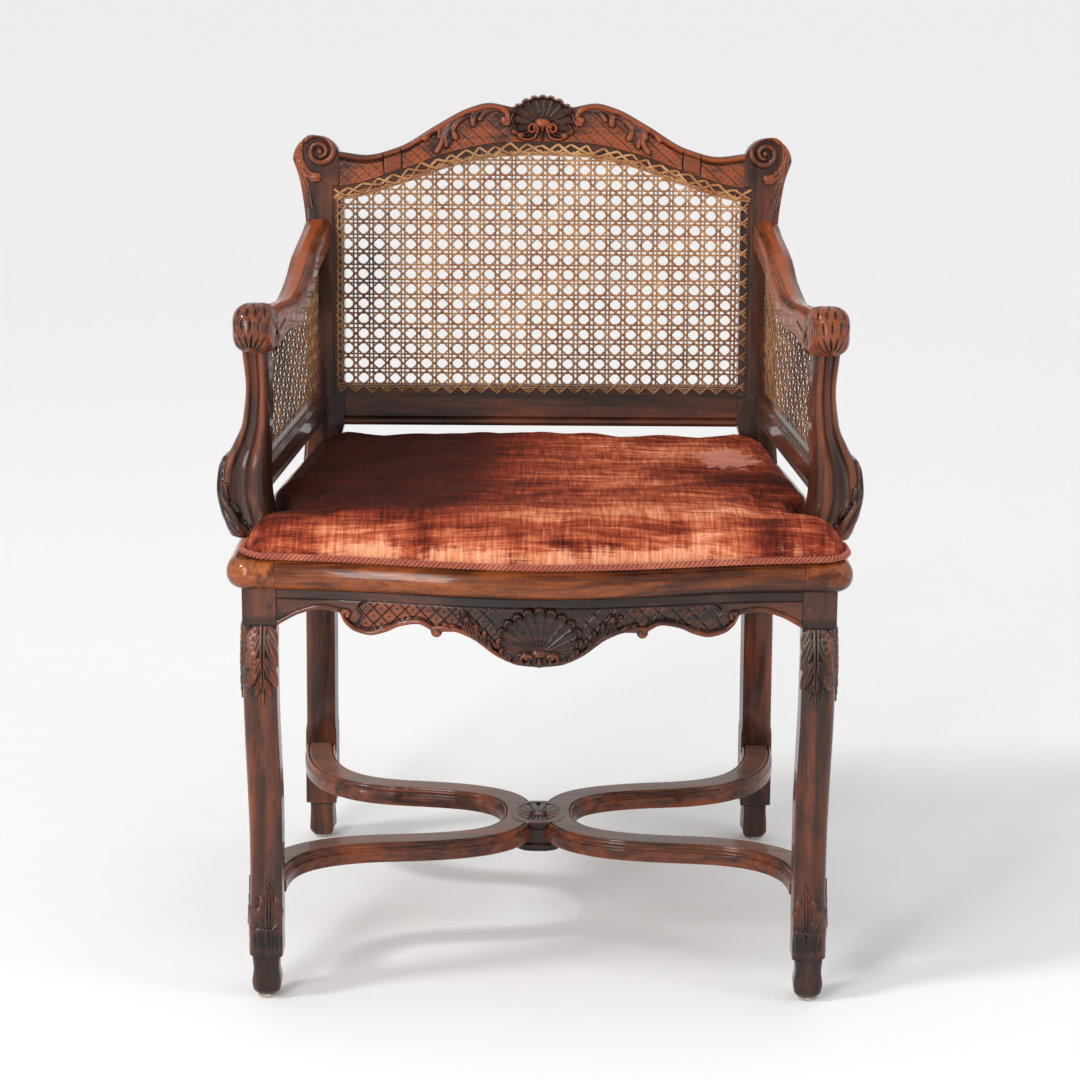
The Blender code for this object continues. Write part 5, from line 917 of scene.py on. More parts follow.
RAKED_UP = np.array((0, math.sin(BACK_RAKE), math.cos(BACK_RAKE)))
RAKED_BACK = np.array((0, math.cos(BACK_RAKE), -math.sin(BACK_RAKE)))
BACK_ORIGIN = np.array((0, BACK_LEG_Y, SEAT_HEIGHT))
cane_top = smooth_through(
    (0, CANE_TOP), (0.05, CANE_TOP - 0.002), (0.105, CANE_TOP - 0.013), (0.162, CANE_CORNER + 0.019),
    (CREST_JOINT_X, CANE_CORNER + 0.001), (STILE_OUTER_X, CANE_CORNER),
)
crest_top = smooth_through(
    (0, 0.395), (0.034, 0.399), (0.06, 0.4035), (0.084, 0.3975), (0.118, 0.3795), (0.163, 0.3535),
    (0.2, 0.3445), (CREST_JOINT_X, 0.348),
)
SCROLL_NECK = SCROLL_UP - 2.9 * SCROLL_RADIUS
STILE_STEP = CANE_BOTTOM - 0.006
STILE_SIDES, STILE_ARC = (14, 10, 1, 1, 46, 12), 7
CREST_FOOT = float(cane_top(CREST_JOINT_X)) - REBATE_WIDTH - GAP
stile_inner = smooth_through((0, BACK_LEG_X - BACK_LEG_WIDTH / 2), (BACK_RAIL_BOTTOM, STILE_INNER_X))
stile_outer = smooth_through(
    (0, BACK_LEG_X + BACK_LEG_WIDTH / 2), (STILE_STEP, STILE_OUTER_X), (SCROLL_NECK, STILE_OUTER_X),
    (SCROLL_UP - SCROLL_RADIUS, STILE_OUTER_X + 0.006), (SCROLL_UP, SCROLL_X + SCROLL_RADIUS),
)


def back_point(x, depth, up):
    """Points of the raked back, for arrays that fit one another."""
    x, depth, up = np.broadcast_arrays(x, depth, up)
    return BACK_ORIGIN + x[..., None] * X_AXIS + depth[..., None] * RAKED_BACK + up[..., None] * RAKED_UP


def stile_carving(x, up):
    """The volute at a stile's top and the leaves that trail down its outer edge."""
    relief = Relief(x - SCROLL_X, up - SCROLL_UP)
    relief.tint -= 0.45 * ramp(relief.y, -30, -16)
    relief.blade(((20, 4), (18, -14), (12, -34), (6, -56)), 5.6, 2.2 * MM, 3, (0.5, 0.1))
    relief.blade(((8, -40), (6, -52), (4, -62), (2, -76)), 2.6, 1.6 * MM, 1, (0.0, 0.0))
    relief.blade(((16, 24), (20, 12), (19, 0), (12, -10)), 4.8, 2.6 * MM, 3, (0.6, 0.6))
    relief.lobe(((19, 2), (15, -9), (8, -17), (-1, -19)), 3.4, 5.0, 3.2 * MM, 0.7, (0.3, 0.75))
    relief.lobe(((15, -6), (12, -14), (5, -23), (-2, -23)), 1.8, 2.4, 2.2 * MM, 0.3)
    relief.roll(spiral((-3.6, 9.0), 20.5, 6.0, 40, 1.62, 130), 3.3, 3.6 * MM, (1.3, 0.75), (0.40, 0.30))
    relief.dome((-3.6, 9.0), 3.6, 3.4 * MM, 0.5)
    return relief


def back_leg_places(z):
    share = 1 - np.clip(z / SEAT_HEIGHT, 0, 1)
    return BACK_LEG_X + BACK_FOOT_SPLAY * share**1.5, BACK_LEG_Y + BACK_FOOT_SET_BACK * share**2


def back_leg_rings(side):
    """The leg below the seat: a small foot, a block for the stretcher and an eased shank."""
    wide = smooth_through(
        (GLIDE_HEIGHT, 0.62), (0.012, 0.82), (0.042, 0.76), (0.0468, 0.78), (0.047, 1.02), (0.136, 1.02),
        (0.148, 0.97), (0.386, 0.97), (0.398, 1.0), (0.47, 1.0),
    )
    deep = smooth_through(
        (GLIDE_HEIGHT, 0.68), (0.012, 0.90), (0.042, 0.86), (0.0468, 0.86), (0.047, 1.0), (0.47, 1.0),
    )
    edge = smooth_through(
        (GLIDE_HEIGHT, 0.007), (0.042, 0.005), (0.047, 0.003), (0.136, 0.003), (0.148, 0.008),
        (0.386, 0.008), (0.398, 0.0015), (0.47, 0.0015),
    )
    z = np.concatenate([np.linspace(*run) for run in (
        (GLIDE_HEIGHT + GAP, 0.0469, 26), (0.0471, 0.135, 16), (0.137, 0.16, 10), (0.17, 0.38, 28),
        (0.384, 0.4665, 24))])
    half_x, half_y = wide(z) * BACK_LEG_WIDTH / 2, deep(z) * BACK_LEG_DEPTH / 2
    corners = box_corners(-half_x, half_x, -half_y, half_y)
    corners = np.concatenate((corners[:, :2], corners[:, 1:2], corners[:, 2:3], corners[:, 2:]), 1)
    corners[:, 2, 1] -= 0.004
    corners[:, 3, 0] += 0.004
    eases = np.repeat(edge(z)[:, None], 6, 1) * (1, 1, 0, 0, 1, 1)
    section, _ = eased_section(corners, eases, STILE_SIDES, STILE_ARC)
    x, y = back_leg_places(z)
    return placed(section, np.column_stack((side * x, y, z)), X_AXIS * side, Y_AXIS)


def stile_section(up):
    """A stile's sections and the places round them, and its edges beside the rebate and outside."""
    low, high = stile_inner(up), stile_outer(up)
    low = np.where(up > CREST_FOOT, CREST_JOINT_X + GAP, low)
    rise = np.clip((up - SCROLL_UP) / SCROLL_RADIUS, -1, 1)
    reach = SCROLL_RADIUS * np.sqrt(1 - rise**2)
    above = up > SCROLL_UP
    low = np.where(above, np.maximum(low, SCROLL_X - reach), low)
    high = np.where(above, SCROLL_X + reach, high)
    front, back = -STILE_DEPTH / 2, STILE_DEPTH / 2
    edge = STILE_INNER_X + REBATE_WIDTH
    in_cane = (up > CANE_BOTTOM - 0.001) & (up < CANE_CORNER + 0.0015)
    step_x = np.where(in_cane, np.maximum(edge, low), low + 0.0005)
    step_v = np.where(in_cane, front + REBATE_DEPTH, front + 0.0005)
    corners = corners_of((high, back), (low, back), (low, step_v), (step_x, step_v), (step_x, front),
                         (high, front))
    ease = np.minimum(0.0045, (high - low) / 4)
    eases = np.stack(np.broadcast_arrays(ease, 0.0015, 0.0003, 0.0003, 0.0012, ease), 1)
    return *eased_section(corners, eases, STILE_SIDES, STILE_ARC), step_x, high


def back_stile(name, side):
    """A back leg and the stile above it, with the rebate for the cane and the carved scroll on top."""
    up = np.concatenate((np.linspace(0.002, STILE_STEP, 22), np.linspace(CANE_BOTTOM - 0.0005, 0.25, 60),
                         np.linspace(0.2505, SCROLL_UP, 120),
                         SCROLL_UP + SCROLL_RADIUS * np.sin(np.radians(np.linspace(1, 86, 60)))))
    section, place, step_x, high = stile_section(up)
    stile = placed(section, back_point(0, 0, up), X_AXIS * side, RAKED_BACK)
    leg = back_leg_rings(side)
    height = np.zeros((len(leg) + len(stile), stile.shape[1]))
    faced = ramp(place, 3.9, 4.1) * ramp(-place, -5.08, -4.95)
    across = section[..., 0]
    carving = stile_carving(across, np.broadcast_to(up[:, None], across.shape))
    inset = ramp(across - step_x[:, None], 0.0002, 0.002) * ramp(high[:, None] - across, 0.0, 0.003)
    height[len(leg):] = carving.height * faced * inset
    tint = np.zeros_like(height)
    tint[len(leg):] = carving.tint * faced
    points = np.concatenate((leg, stile))
    height += years_of_use(points, 0.2, 8, 0.02)
    carved(f"back_stile_{name}_dressed", points, height, WALNUT[2], [f"back_stile_{name}"], crisp=50,
           tint=tint)


CREST_PAD_X = 0.1693
CREST_SHELL = (0, 380.0)
CREST_FLUTES = ((0, 32.5), (19, 33.0), (38.5, 34.5), (58.5, 37.5), (79, 37.5), (99, 33.0))


def shell_outline(hinge, flutes, x):
    """How high a shell's scalloped rim stands over each place across it."""
    angles, radii = np.array(flutes, float).T
    turn = np.linspace(0, 80, 400)
    pick = np.abs(turn[:, None] - angles).argmin(1)
    width = np.gradient(angles)[pick] / 2
    f = np.clip((turn - angles[pick]) / width, -1, 1)
    rim = radii[pick] * (0.87 + 0.13 * np.sqrt(1 - f**2)) * 1.02
    across, up = rim * np.sin(np.radians(turn)), hinge[1] + rim * np.cos(np.radians(turn))
    order = np.argsort(across)
    return np.interp(np.abs(x) / MM, across[order], up[order], right=0) * MM


def crest_leaves(relief):
    """Each half's acanthus: crescents by the volute, a leaf of curved ridges, and lobes along the roll."""
    relief.blade(((70, 399), (93, 391), (106, 377), (108, 355)), 9.5, 2.6 * MM, 5, (-0.35, 0.0))
    relief.blade(((98, 387), (121, 374), (142, 362), (162, 352)), 5.0, 2.2 * MM, 3, (-0.1, 0.35))
    crescent = ((49, 396.6), (60.5, 394.7), (67.9, 389.2), (70.6, 385.0))
    relief.lobe(crescent, 2.2, 3.2, 3.4 * MM, 0.3, (0.0, 0.45))
    crescent = ((56, 398.4), (69.8, 395.9), (78, 389.1), (78.2, 379.5))
    relief.lobe(crescent, 2.6, 3.9, 3.8 * MM, 0.5, (0.0, 0.5))
    for ridge, tip, wear in (
        (((75, 399.2), (93.8, 391.8), (103.9, 378.9), (107.6, 366)), 2.4, -0.3),
        (((81, 396.4), (98.4, 389), (108.5, 377.1), (109.2, 364), (108.5, 355)), 2.8, 0.2),
        (((88, 394.2), (105.8, 385), (112.6, 371), (114.3, 357.5), (119.5, 349)), 3.4, 0.6),
        (((95, 393.4), (108, 385.5), (115.5, 375), (117, 365)), 2.6, 0.3),
        (((86.4, 391.8), (96.5, 380.8), (101, 373.5), (98, 364)), 3.6, 0.5),
    ):
        relief.lobe(ridge, 2.1, tip, 3.9 * MM, 0.25, (0.1, wear + 0.45))
    for lobe, root, tip in (
        (((102, 385), (110, 381.5), (119.5, 374)), 2.6, 3.9),
        (((114, 378), (126.5, 371), (132.8, 363.3)), 2.4, 4.1),
        (((130, 370), (138.5, 366), (144, 360.8)), 2.2, 3.5),
        (((145, 362), (154, 358), (162, 352)), 1.8, 2.9),
    ):
        relief.lobe(lobe, root, tip, 3.5 * MM, 0.4, (0.35, 0.95))


def crest_shell(relief):
    """The crest's shell on its scrolled base, with small leaves below the lowest flutes."""
    relief.lobe(((10, 368), (16, 365), (21, 365), (25, 367)), 2.6, 4.0, 4.6 * MM, 0.8, (-0.6, 0.8))
    relief.lobe(((12, 374), (20, 372), (26, 371), (31, 372)), 2.8, 4.6, 5.0 * MM, 0.8, (-0.6, 0.8))
    relief.shell(CREST_SHELL, CREST_FLUTES, 6.4 * MM, 0.35)
    relief.tongue((0, 380.5), 9.5, 6.6, 5.4 * MM, 0.9)
    relief.volute(spiral((11.4, 374.5), 6.4, 2.6, 215, -1.2, 60), 2.3, 6.4 * MM, 2.8, 0.9)
    relief.roll(bend(((6.5, 371), (8, 366), (13, 363), (22, 363)), 20), 2.2, 5.2 * MM, (1, 0.7), (0.5, 0.8))
    relief.roll(bend(((0, 372), (0, 366), (0, 362)), 10), 1.4, 4.0 * MM, (1, 0.5), (0.0, -0.3))
    relief.dome((0, 373.5), 2.2, 5.8 * MM, 0.8)


def crest_carving(x, up, top, foot):
    """The crest's relief: lattice ground, a roll along the top edge, leaf scrolls, pad and shell."""
    far = np.abs(x)
    relief = Relief(far, up)
    shaded = ramp(up - top, -0.036, -0.018) * ramp(-far, -0.140, -0.115)
    relief.tint += 0.78 - 0.42 * shaded - 0.25 * bump(far - 0.038, 0.014) - 0.45 * ramp(far, 0.205, 0.228)
    relief.tint += 0.25 * ripple(x, up, seed=27, scale=0.012)
    plain = ramp(np.abs(far - CREST_PAD_X), 0.0098, 0.0104)
    edge = ramp(top - up, 0.007, 0.009) * ramp(up - foot, 0.0010, 0.0020)
    relief.lattice(x, edge * plain * ramp(far, 0.034, 0.038), 15.6, 14.0, 0.8 * MM, 0.5, 0.54)
    across = np.linspace(0.062, CREST_JOINT_X + 0.004, 150)
    rail = np.column_stack((across, crest_top(across) - 0.0038)) / MM
    curl = ((62, 400), (52, 399.5), (44.5, 396), (39.5, 390.5), (37.8, 384.5), (40, 380.2), (43, 380.5))
    relief.roll(np.concatenate((rail[::-1], bend(curl, 50))), 4.4, 3.2 * MM, (0.85, 0.80), (0.62, 0.85))
    relief.groove(rail - (0, 5.2), 0.8, 1.1 * MM)
    crest_leaves(relief)
    relief.dome((43.2, 384.0), 4.8, 4.4 * MM, 0.9)
    pad = ramp(-np.abs(far - CREST_PAD_X), -0.0104, -0.0082)
    pad = pad * ramp(top - up, 0.006, 0.009) * ramp(up - foot, 0.001, 0.003)
    raised = (pad > 0.02) & (0.5 * MM * pad > relief.height)
    relief.tint = np.where(raised, 0.6 * pad, relief.tint)
    relief.height = np.where(raised, 0.5 * MM * pad, relief.height)
    for sign in (-1, 1):
        side = [(169.3 + sign * out, height) for out, height in ((9.0, 352), (10.8, 336), (9.4, 322))]
        relief.groove(bend(side, 16), 0.7, 1.0 * MM)
    crest_shell(relief)
    return relief


def crest():
    x = np.linspace(-(CREST_JOINT_X - GAP), CREST_JOINT_X - GAP, 701)
    far = np.abs(x)
    foot = cane_top(far)
    low = foot - REBATE_WIDTH
    top = np.maximum(crest_top(far), shell_outline(CREST_SHELL, CREST_FLUTES, x))
    front, back = -CREST_DEPTH / 2, CREST_DEPTH / 2
    floor = front + REBATE_DEPTH - 0.001
    corners = corners_of((back, low), (back, top), (front, top), (front, foot), (floor, foot), (floor, low))
    eases = (0.001, 0.005, 0.0035, 0.0008, 0.0003, 0.0003)
    section, place = eased_section(corners, eases, (10, 6, 84, 1, 3, 3), 5)
    points = placed(section, back_point(x, 0, 0), RAKED_BACK, RAKED_UP)
    up = section[..., 1]
    faced = ramp(place, 1.95, 2.10) * ramp(-place, -3.0, -2.9)
    spread = [np.broadcast_to(k[:, None], up.shape) for k in (x, top, foot)]
    relief = crest_carving(spread[0], up, spread[1], spread[2])
    height = relief.height * faced + 0.15 * MM * ripple(points[..., 0], points[..., 2], seed=11, scale=0.012)
    carved("crest_rail_dressed", points, height, WALNUT[0], ["crest_rail"], -RAKED_BACK,
           tint=relief.tint * faced - 0.2 * (1 - faced), dust=relief.dust * faced)


# Arms and posts

class SideFrame:
    """The upright plane of one arm: s runs back from the post and n points out from the chair."""

    def __init__(self, side):
        self.side = side
        self.foot = np.array((side * POST_X, POST_Y, SEAT_HEIGHT))
        run = np.array((side * ARM_STILE_X, ARM_STILE_Y, SEAT_HEIGHT)) - self.foot
        self.length = float(np.linalg.norm(run))
        self.s = run / self.length
        self.n = np.array((self.s[1], -self.s[0], 0)) * side

    def point(self, s, n, height):
        s, n, height = np.broadcast_arrays(s, n, height)
        return self.foot + s[..., None] * self.s + n[..., None] * self.n + height[..., None] * Z_AXIS

    def stile_face(self, height):
        """How far back the raked front of the stile is at a height above the seat."""
        lean = math.tan(BACK_RAKE) * height + STILE_DEPTH / 2 * (1 - 1 / math.cos(BACK_RAKE))
        return self.length + lean / self.s[1]


SIDE_LENGTH = SideFrame(1).length
KNUCKLE_FRONT = -KNUCKLE_REACH
KNUCKLE_MIDDLE = KNUCKLE_FRONT + KNUCKLE_RADIUS
ARM_END = SIDE_LENGTH + 0.035


def on_knuckle(share):
    """A height on the knuckle, from 0 at its foot to 2 at its top."""
    return ARM_POST_TOP + KNUCKLE_RADIUS * share


arm_top = smooth_through(
    (KNUCKLE_FRONT, on_knuckle(1)), (KNUCKLE_FRONT + 0.004, on_knuckle(1.55)),
    (KNUCKLE_FRONT + 0.012, on_knuckle(1.86)), (KNUCKLE_FRONT + 0.025, on_knuckle(2)), (0, on_knuckle(1.92)),
    (0.022, on_knuckle(1.62)), (0.06, ARM_DIP + 0.0085), (0.1, ARM_DIP + 0.006), (0.175, ARM_DIP),
    (0.245, ARM_DIP + 0.014), (0.293, ARM_DIP + 0.0345), (ARM_END, ARM_STILE_TOP + 0.004),
)
arm_low = smooth_through(
    (KNUCKLE_FRONT, on_knuckle(0.9)), (KNUCKLE_FRONT + 0.004, on_knuckle(0.42)),
    (KNUCKLE_FRONT + 0.012, on_knuckle(0.12)), (KNUCKLE_FRONT + 0.021, ARM_POST_TOP), (0.0185, ARM_POST_TOP),
    (0.03, ARM_POST_TOP - 0.006), (0.06, ARM_POST_TOP - 0.003), (0.11, ARM_DIP + 0.005 - ARM_DEPTH),
    (0.175, ARM_DIP - ARM_DEPTH), (0.245, ARM_DIP + 0.014 - ARM_DEPTH),
    (0.293, ARM_DIP + 0.0345 - ARM_DEPTH), (ARM_END, ARM_STILE_TOP + 0.003 - ARM_DEPTH),
)
arm_half = smooth_through(
    (KNUCKLE_FRONT, KNUCKLE_WIDTH * 0.34), (KNUCKLE_FRONT + 0.01, KNUCKLE_WIDTH * 0.49),
    (-0.01, KNUCKLE_WIDTH * 0.5), (0.016, KNUCKLE_WIDTH * 0.47), (0.045, ARM_WIDTH * 0.54),
    (0.09, ARM_WIDTH / 2), (ARM_END, ARM_WIDTH / 2),
)
arm_ease = smooth_through(
    (KNUCKLE_FRONT, 0.019), (-0.006, 0.0185), (0.02, 0.013), (0.05, 0.009), (SIDE_LENGTH, 0.0085),
)
arm_under_ease = smooth_through(
    (KNUCKLE_FRONT, 0.014), (-0.024, 0.013), (-0.012, 0.0075), (0.02, 0.0045), (0.05, 0.0035),
    (SIDE_LENGTH, 0.0035),
)


def knuckle_gouges(s, n, height):
    """Lens-shaped cuts on the knuckle: long flutes gathered at its neck, and short cuts over its top."""
    above = height - ARM_POST_TOP - KNUCKLE_RADIUS
    off = np.stack(np.broadcast_arrays(KNUCKLE_MIDDLE - s, n * 1.2, above), -1)
    reach = np.linalg.norm(off, axis=-1) + 1e-9
    pole, level = np.array((0.42, 0.0, -0.9075)), np.array((0.9075, 0.0, 0.42))
    polar = np.degrees(np.arccos(np.clip(off @ pole / reach, -1, 1)))
    round_axis = np.arctan2(off[..., 1], off @ level) / (2 * np.pi)
    cut = np.zeros(polar.shape)
    for first, last, count, shift, width in (
        (16, 62, 16, 0.5, 1.1), (66, 98, 14, 0.2, 1.2), (100, 128, 14, 0.7, 1.2), (126, 156, 9, 0.3, 1.2),
    ):
        phase = round_axis * count + shift
        apart = np.abs(phase - np.round(phase)) / count * 2 * np.pi * np.sin(np.radians(polar)) * reach / MM
        lens = np.sqrt(np.sin(np.pi * np.clip((polar - first) / (last - first), 0.001, 0.999)))
        cut = np.maximum(cut, lens * bump(apart, width * lens))
    return cut * (1 - ramp(s, -0.004, 0.008))


def arm_carving(s, place, n, height):
    """Coves beside the flat top of an arm, a scrolled moulding on its cheeks, and gouges on its knuckle."""
    run = ramp(s, 0.006, 0.040)
    cove = bump(place - 0.03, 0.11) + bump(place - 0.97, 0.11) + bump(place - 4.03, 0.11)
    ball = 1 - ramp(s, -0.002, 0.014)
    gouges = knuckle_gouges(s, n, height)
    cheek = Relief(np.broadcast_to(s, height.shape), height - arm_low(s))
    cheek.roll(bend(((90, 13.5), (45, 13.5), (24, 17), (12.5, 23.5)), 40), 4.0, 2.0 * MM, wear=(0.1, 0.1))
    scroll = ((90, 8.5), (45, 8.5), (22, 11.5), (11, 16.5), (5.5, 15), (4.5, 8), (7.5, 4))
    cheek.groove(bend(scroll, 40), 1.3, 1.9 * MM)
    cheek.groove(bend(((90, 18), (45, 18), (26, 22), (14, 31)), 30), 1.2, 1.5 * MM)
    inner = ramp(place, 1.15, 1.3) * ramp(-place, -1.9, -1.8)
    beside = inner + ramp(place, 3.1, 3.2) * ramp(-place, -3.85, -3.7)
    rise = -2.6 * MM * run * cove - 1.7 * MM * gouges + cheek.height * beside
    tint = 0.55 * ball + 0.72 * run - 1.3 * gouges + cheek.tint * 0.6 * beside - 0.35 * run * cove
    # Pale grey on the inner cheek's moulding: painted highlight, kept with the dust
    dust = 0.42 * inner * ramp(cheek.height / MM, -0.3, 0.5) * ramp(-s, -0.20, -0.06)
    return rise, tint + 0.42 * run * bump(place - 0.5, 0.25), dust


def arm(name, side):
    rail = SideFrame(side)
    end = rail.stile_face(ARM_STILE_TOP - ARM_DEPTH / 2)
    turn = np.radians(np.linspace(6, 89, 56))
    s = np.concatenate((KNUCKLE_MIDDLE - KNUCKLE_RADIUS * np.cos(turn),
                        np.linspace(KNUCKLE_MIDDLE + 0.0004, 0.03, 70), np.linspace(0.031, end, 125)))
    ahead = np.clip((KNUCKLE_MIDDLE - s) / KNUCKLE_RADIUS, 0, 1)
    reach, middle = KNUCKLE_RADIUS * np.sqrt(1 - ahead**2), ARM_POST_TOP + KNUCKLE_RADIUS
    low = np.where(ahead > 0, middle - reach, arm_low(s))
    high = np.where(ahead > 0, middle + reach, arm_top(s))
    half = arm_half(np.maximum(s, KNUCKLE_MIDDLE)) * np.sqrt(1 - ahead**2.6)
    most = MOST_EASE * np.minimum(2 * half, high - low)
    ball = 1 - ramp(s, -0.004, 0.012)
    upper, under = arm_ease(s), arm_under_ease(s)
    eases = np.stack((upper, upper * (1 - 0.35 * ball), under, under + 0.008 * ball), 1)
    section, place = eased_section(box_corners(-half, half, low, high), np.minimum(eases, most[:, None]),
                                   (22, 26, 16, 26), 18)
    points = placed(section, rail.point(s, 0, 0), rail.n, Z_AXIS)
    lean = ramp(s, end - 0.05, end)[:, None] * (rail.stile_face(points[..., 2] - SEAT_HEIGHT) - end)
    points = points + lean[..., None] * Y_AXIS
    fade = 1 - ramp(s, end - 0.03, end - 0.004)[:, None]
    height, tint, dust = arm_carving(s[:, None], place, section[..., 0], section[..., 1])
    height = height * fade + years_of_use(points, 0.2, 13, 0.015) * fade
    carved(f"arm_{name}_dressed", points, height, WALNUT[1], [f"arm_{name}"], tint=tint, dust=dust)


POST_ROWS = (
    (0, -0.0205, 0.0235, 0.021, 0.0185), (0.08, -0.017, 0.0318, 0.0206, 0.0185),
    (0.25, -0.0115, 0.0395, 0.0194, 0.018), (0.36, -0.0112, 0.037, 0.0186, 0.0175),
    (0.5, -0.012, 0.024, 0.017, 0.017), (0.62, -0.0135, 0.0145, 0.017, 0.017),
    (0.82, -0.0138, 0.0104, 0.017, 0.017), (1, -0.0134, 0.0135, 0.017, 0.017),
)
post_inner, post_outer, post_front, post_back = (
    smooth_through(*((row[0], row[k]) for row in POST_ROWS)) for k in (1, 2, 3, 4)
)
POST_HEIGHT = ARM_POST_TOP - GAP
post_leaf_edge = smooth_through(
    (0, 33), (13, 31), (16, 26), (33, 24), (36.5, 18), (55, 15.5), (58.5, 11), (76, 8), (84, 0),
)
POST_LEAF_CUTS = (
    ((3, 76), (5, 62), (8, 45)), ((11, 56), (13, 45), (18, 31)), ((15, 41), (19, 29), (24, 13)),
    ((-4, 74), (-2, 52), (2, 24)), ((8, 40), (11, 26), (15, 7)), ((22, 25), (25, 14), (28.5, 3)),
    ((-12, 68), (-11, 42), (-7, 10)), ((0, 22), (3, 12), (6, 2)), ((-20, 60), (-20, 36), (-17, 8)),
    ((-29, 50), (-29, 30), (-27, 6)),
)
POST_FACE_DEPTH = 0.010
# How far in the post's face lies, from its outer to its inner side: two ribs with a hollow between them
post_face = smooth_through(
    (0, POST_FACE_DEPTH), (0.03, 0.0060), (0.08, 0.0028), (0.16, 0.0006), (0.22, 0.0008), (0.30, 0.0036),
    (0.42, 0.0052), (0.54, 0.0050), (0.62, 0.0022), (0.70, 0.0004), (0.82, 0.0002), (0.91, 0.0022),
    (0.955, 0.0050), (1, POST_FACE_DEPTH),
)


def post_leaf(across, height):
    """The acanthus round a post's outer bulge: overlapping lobes with a stepped edge, gouged between."""
    relief = Relief(across, height)
    room = post_leaf_edge(relief.y) - relief.x
    leaf = ramp(room, 0, 1.6) * ramp(-relief.y, -84, -80) * ramp(relief.x, -46, -42)
    relief.height += 2.8 * MM * leaf
    relief.tint += leaf * (0.10 + 0.25 * bump(room - 1.5, 1.6)) - 0.7 * bump(room, 1.0) * (relief.y < 84)
    for points in POST_LEAF_CUTS:
        relief.gouge(points, 2.3, 2.8 * MM)
    return relief


def arm_post(name, side):
    """A post: two round ribs with a hollow between them, and a leaf over its outer bulge."""
    rail = SideFrame(side)
    share = np.linspace(0, 1, 230)
    height = GAP + (POST_HEIGHT - GAP) * share
    inner, outer, front, back = (k(share)[:, None] for k in (post_inner, post_outer, post_front, post_back))
    across = np.sin((np.linspace(0, 1, 56) - 0.5) * np.pi) * 0.5 + 0.5
    face = np.stack((outer + (inner - outer) * across, front - post_face(across) + 0 * inner), -1)
    left, right, rear, fore = inner[:, 0], outer[:, 0], -back[:, 0], front[:, 0] - POST_FACE_DEPTH
    corners = corners_of((left, fore), (left, rear), (right, rear), (right, fore))
    rest, _ = eased_section(corners, (0.0001, 0.003, 0.003, 0.0001), (14, 16, 22, 1), 5)
    section = np.concatenate((face, rest[:, 5:-6]), 1)
    points = placed(section, rail.point(0, 0, height), rail.n, -rail.s)
    run, total = run_round(section)
    wrap = np.where(run > total * 0.62, run - total, run)
    leaf = post_leaf(wrap, np.broadcast_to(height[:, None], wrap.shape))
    raised = leaf.height * ramp(height, 0.0, 0.003)[:, None] + years_of_use(points, 0.2, 17, 0.015)
    raised = raised * ramp(share, 1.0, 0.985)[:, None]
    ribs = np.zeros(wrap.shape)
    crowns = 0.50 * bump(across - 0.13, 0.09) + 0.42 * bump(across - 0.74, 0.12)
    ribs[:, : len(across)] = crowns - 0.25 * bump(across - 0.43, 0.10)
    covered = ramp(leaf.height, 0.0003, 0.0012)
    carved(f"arm_post_{name}_dressed", points, raised, WALNUT[2], [f"arm_post_{name}"],
           tint=leaf.tint + ribs * (1 - covered))


# Front apron

apron_plain = smooth_through(
    (0, 0.0705), (0.02, 0.0685), (0.0395, 0.061), (0.069, 0.0415), (0.085, 0.0367),
    (APRON_BALL_X, APRON_BALL_DEPTH), (0.12, 0.031), (0.138, 0.0345), (0.153, 0.0415), (0.168, 0.0453),
    (0.183, 0.042), (0.193, 0.034), (0.199, 0.0235), (0.218, 0.021), (0.238, 0.0262),
    (FRONT_LEG_X - LEG_HALF, APRON_END_DEPTH),
)
APRON_SHELL = (0, -57.0)
APRON_FLUTES = (
    (0, 49.5), (15, 49.0), (30, 48.5), (44.5, 49.0), (58, 48.5), (71, 45.5), (84, 40.0), (98, 31.0),
)


def apron_depth(far):
    """How deep the apron is, with the round end of each scroll hanging from its lower edge."""
    aside = (far - APRON_BALL_X) / APRON_BALL_RADIUS
    ball = APRON_BALL_DEPTH + APRON_BALL_RADIUS * np.sqrt(np.clip(1 - aside**2, 0, 1))
    return np.where(np.abs(aside) < 1, np.maximum(apron_plain(far), ball), apron_plain(far))


def apron_scrolls(relief):
    """The rolled lower edge: a C-scroll from the hanging ball, a short end roll and the central sweep."""
    edge = np.linspace(0.106, 0.1905, 90)
    bead = np.column_stack((edge, -apron_plain(edge) + 0.0032)) / MM
    hook = bend(((190.5, -33), (194.5, -29.5), (196, -24.5), (193, -20.5), (189.5, -22), (190.5, -25.5)), 40)
    relief.roll(np.concatenate((bead, hook)), 3.3, 3.2 * MM, (1, 0.85), (0.25, 0.5))
    relief.groove(bead + (0, 4.6), 0.7, 1.0 * MM)
    end = np.linspace(0.2005, 0.262, 50)
    relief.roll(np.column_stack((end, -apron_plain(end) + 0.003)) / MM, 3.2, 2.6 * MM, wear=(0.3, 0.3))
    sweep = np.linspace(0.010, 0.096, 80)
    low = np.column_stack((sweep, -apron_plain(sweep))) / MM
    relief.roll(low + (0, 3.0), 3.2, 3.4 * MM, wear=(0.15, 0.3))
    relief.groove(low + (0, 6.6), 0.8, 1.2 * MM)
    hood = bend(((78, -36.5), (88, -33), (96, -32), (103.5, -33.5), (107, -37.5)), 30)
    relief.roll(hood, 3.0, 3.6 * MM, (0.5, 1), (0.1, 0.5))
    relief.dome((101.6, -38.4), 5.4, 4.6 * MM, 0.5)


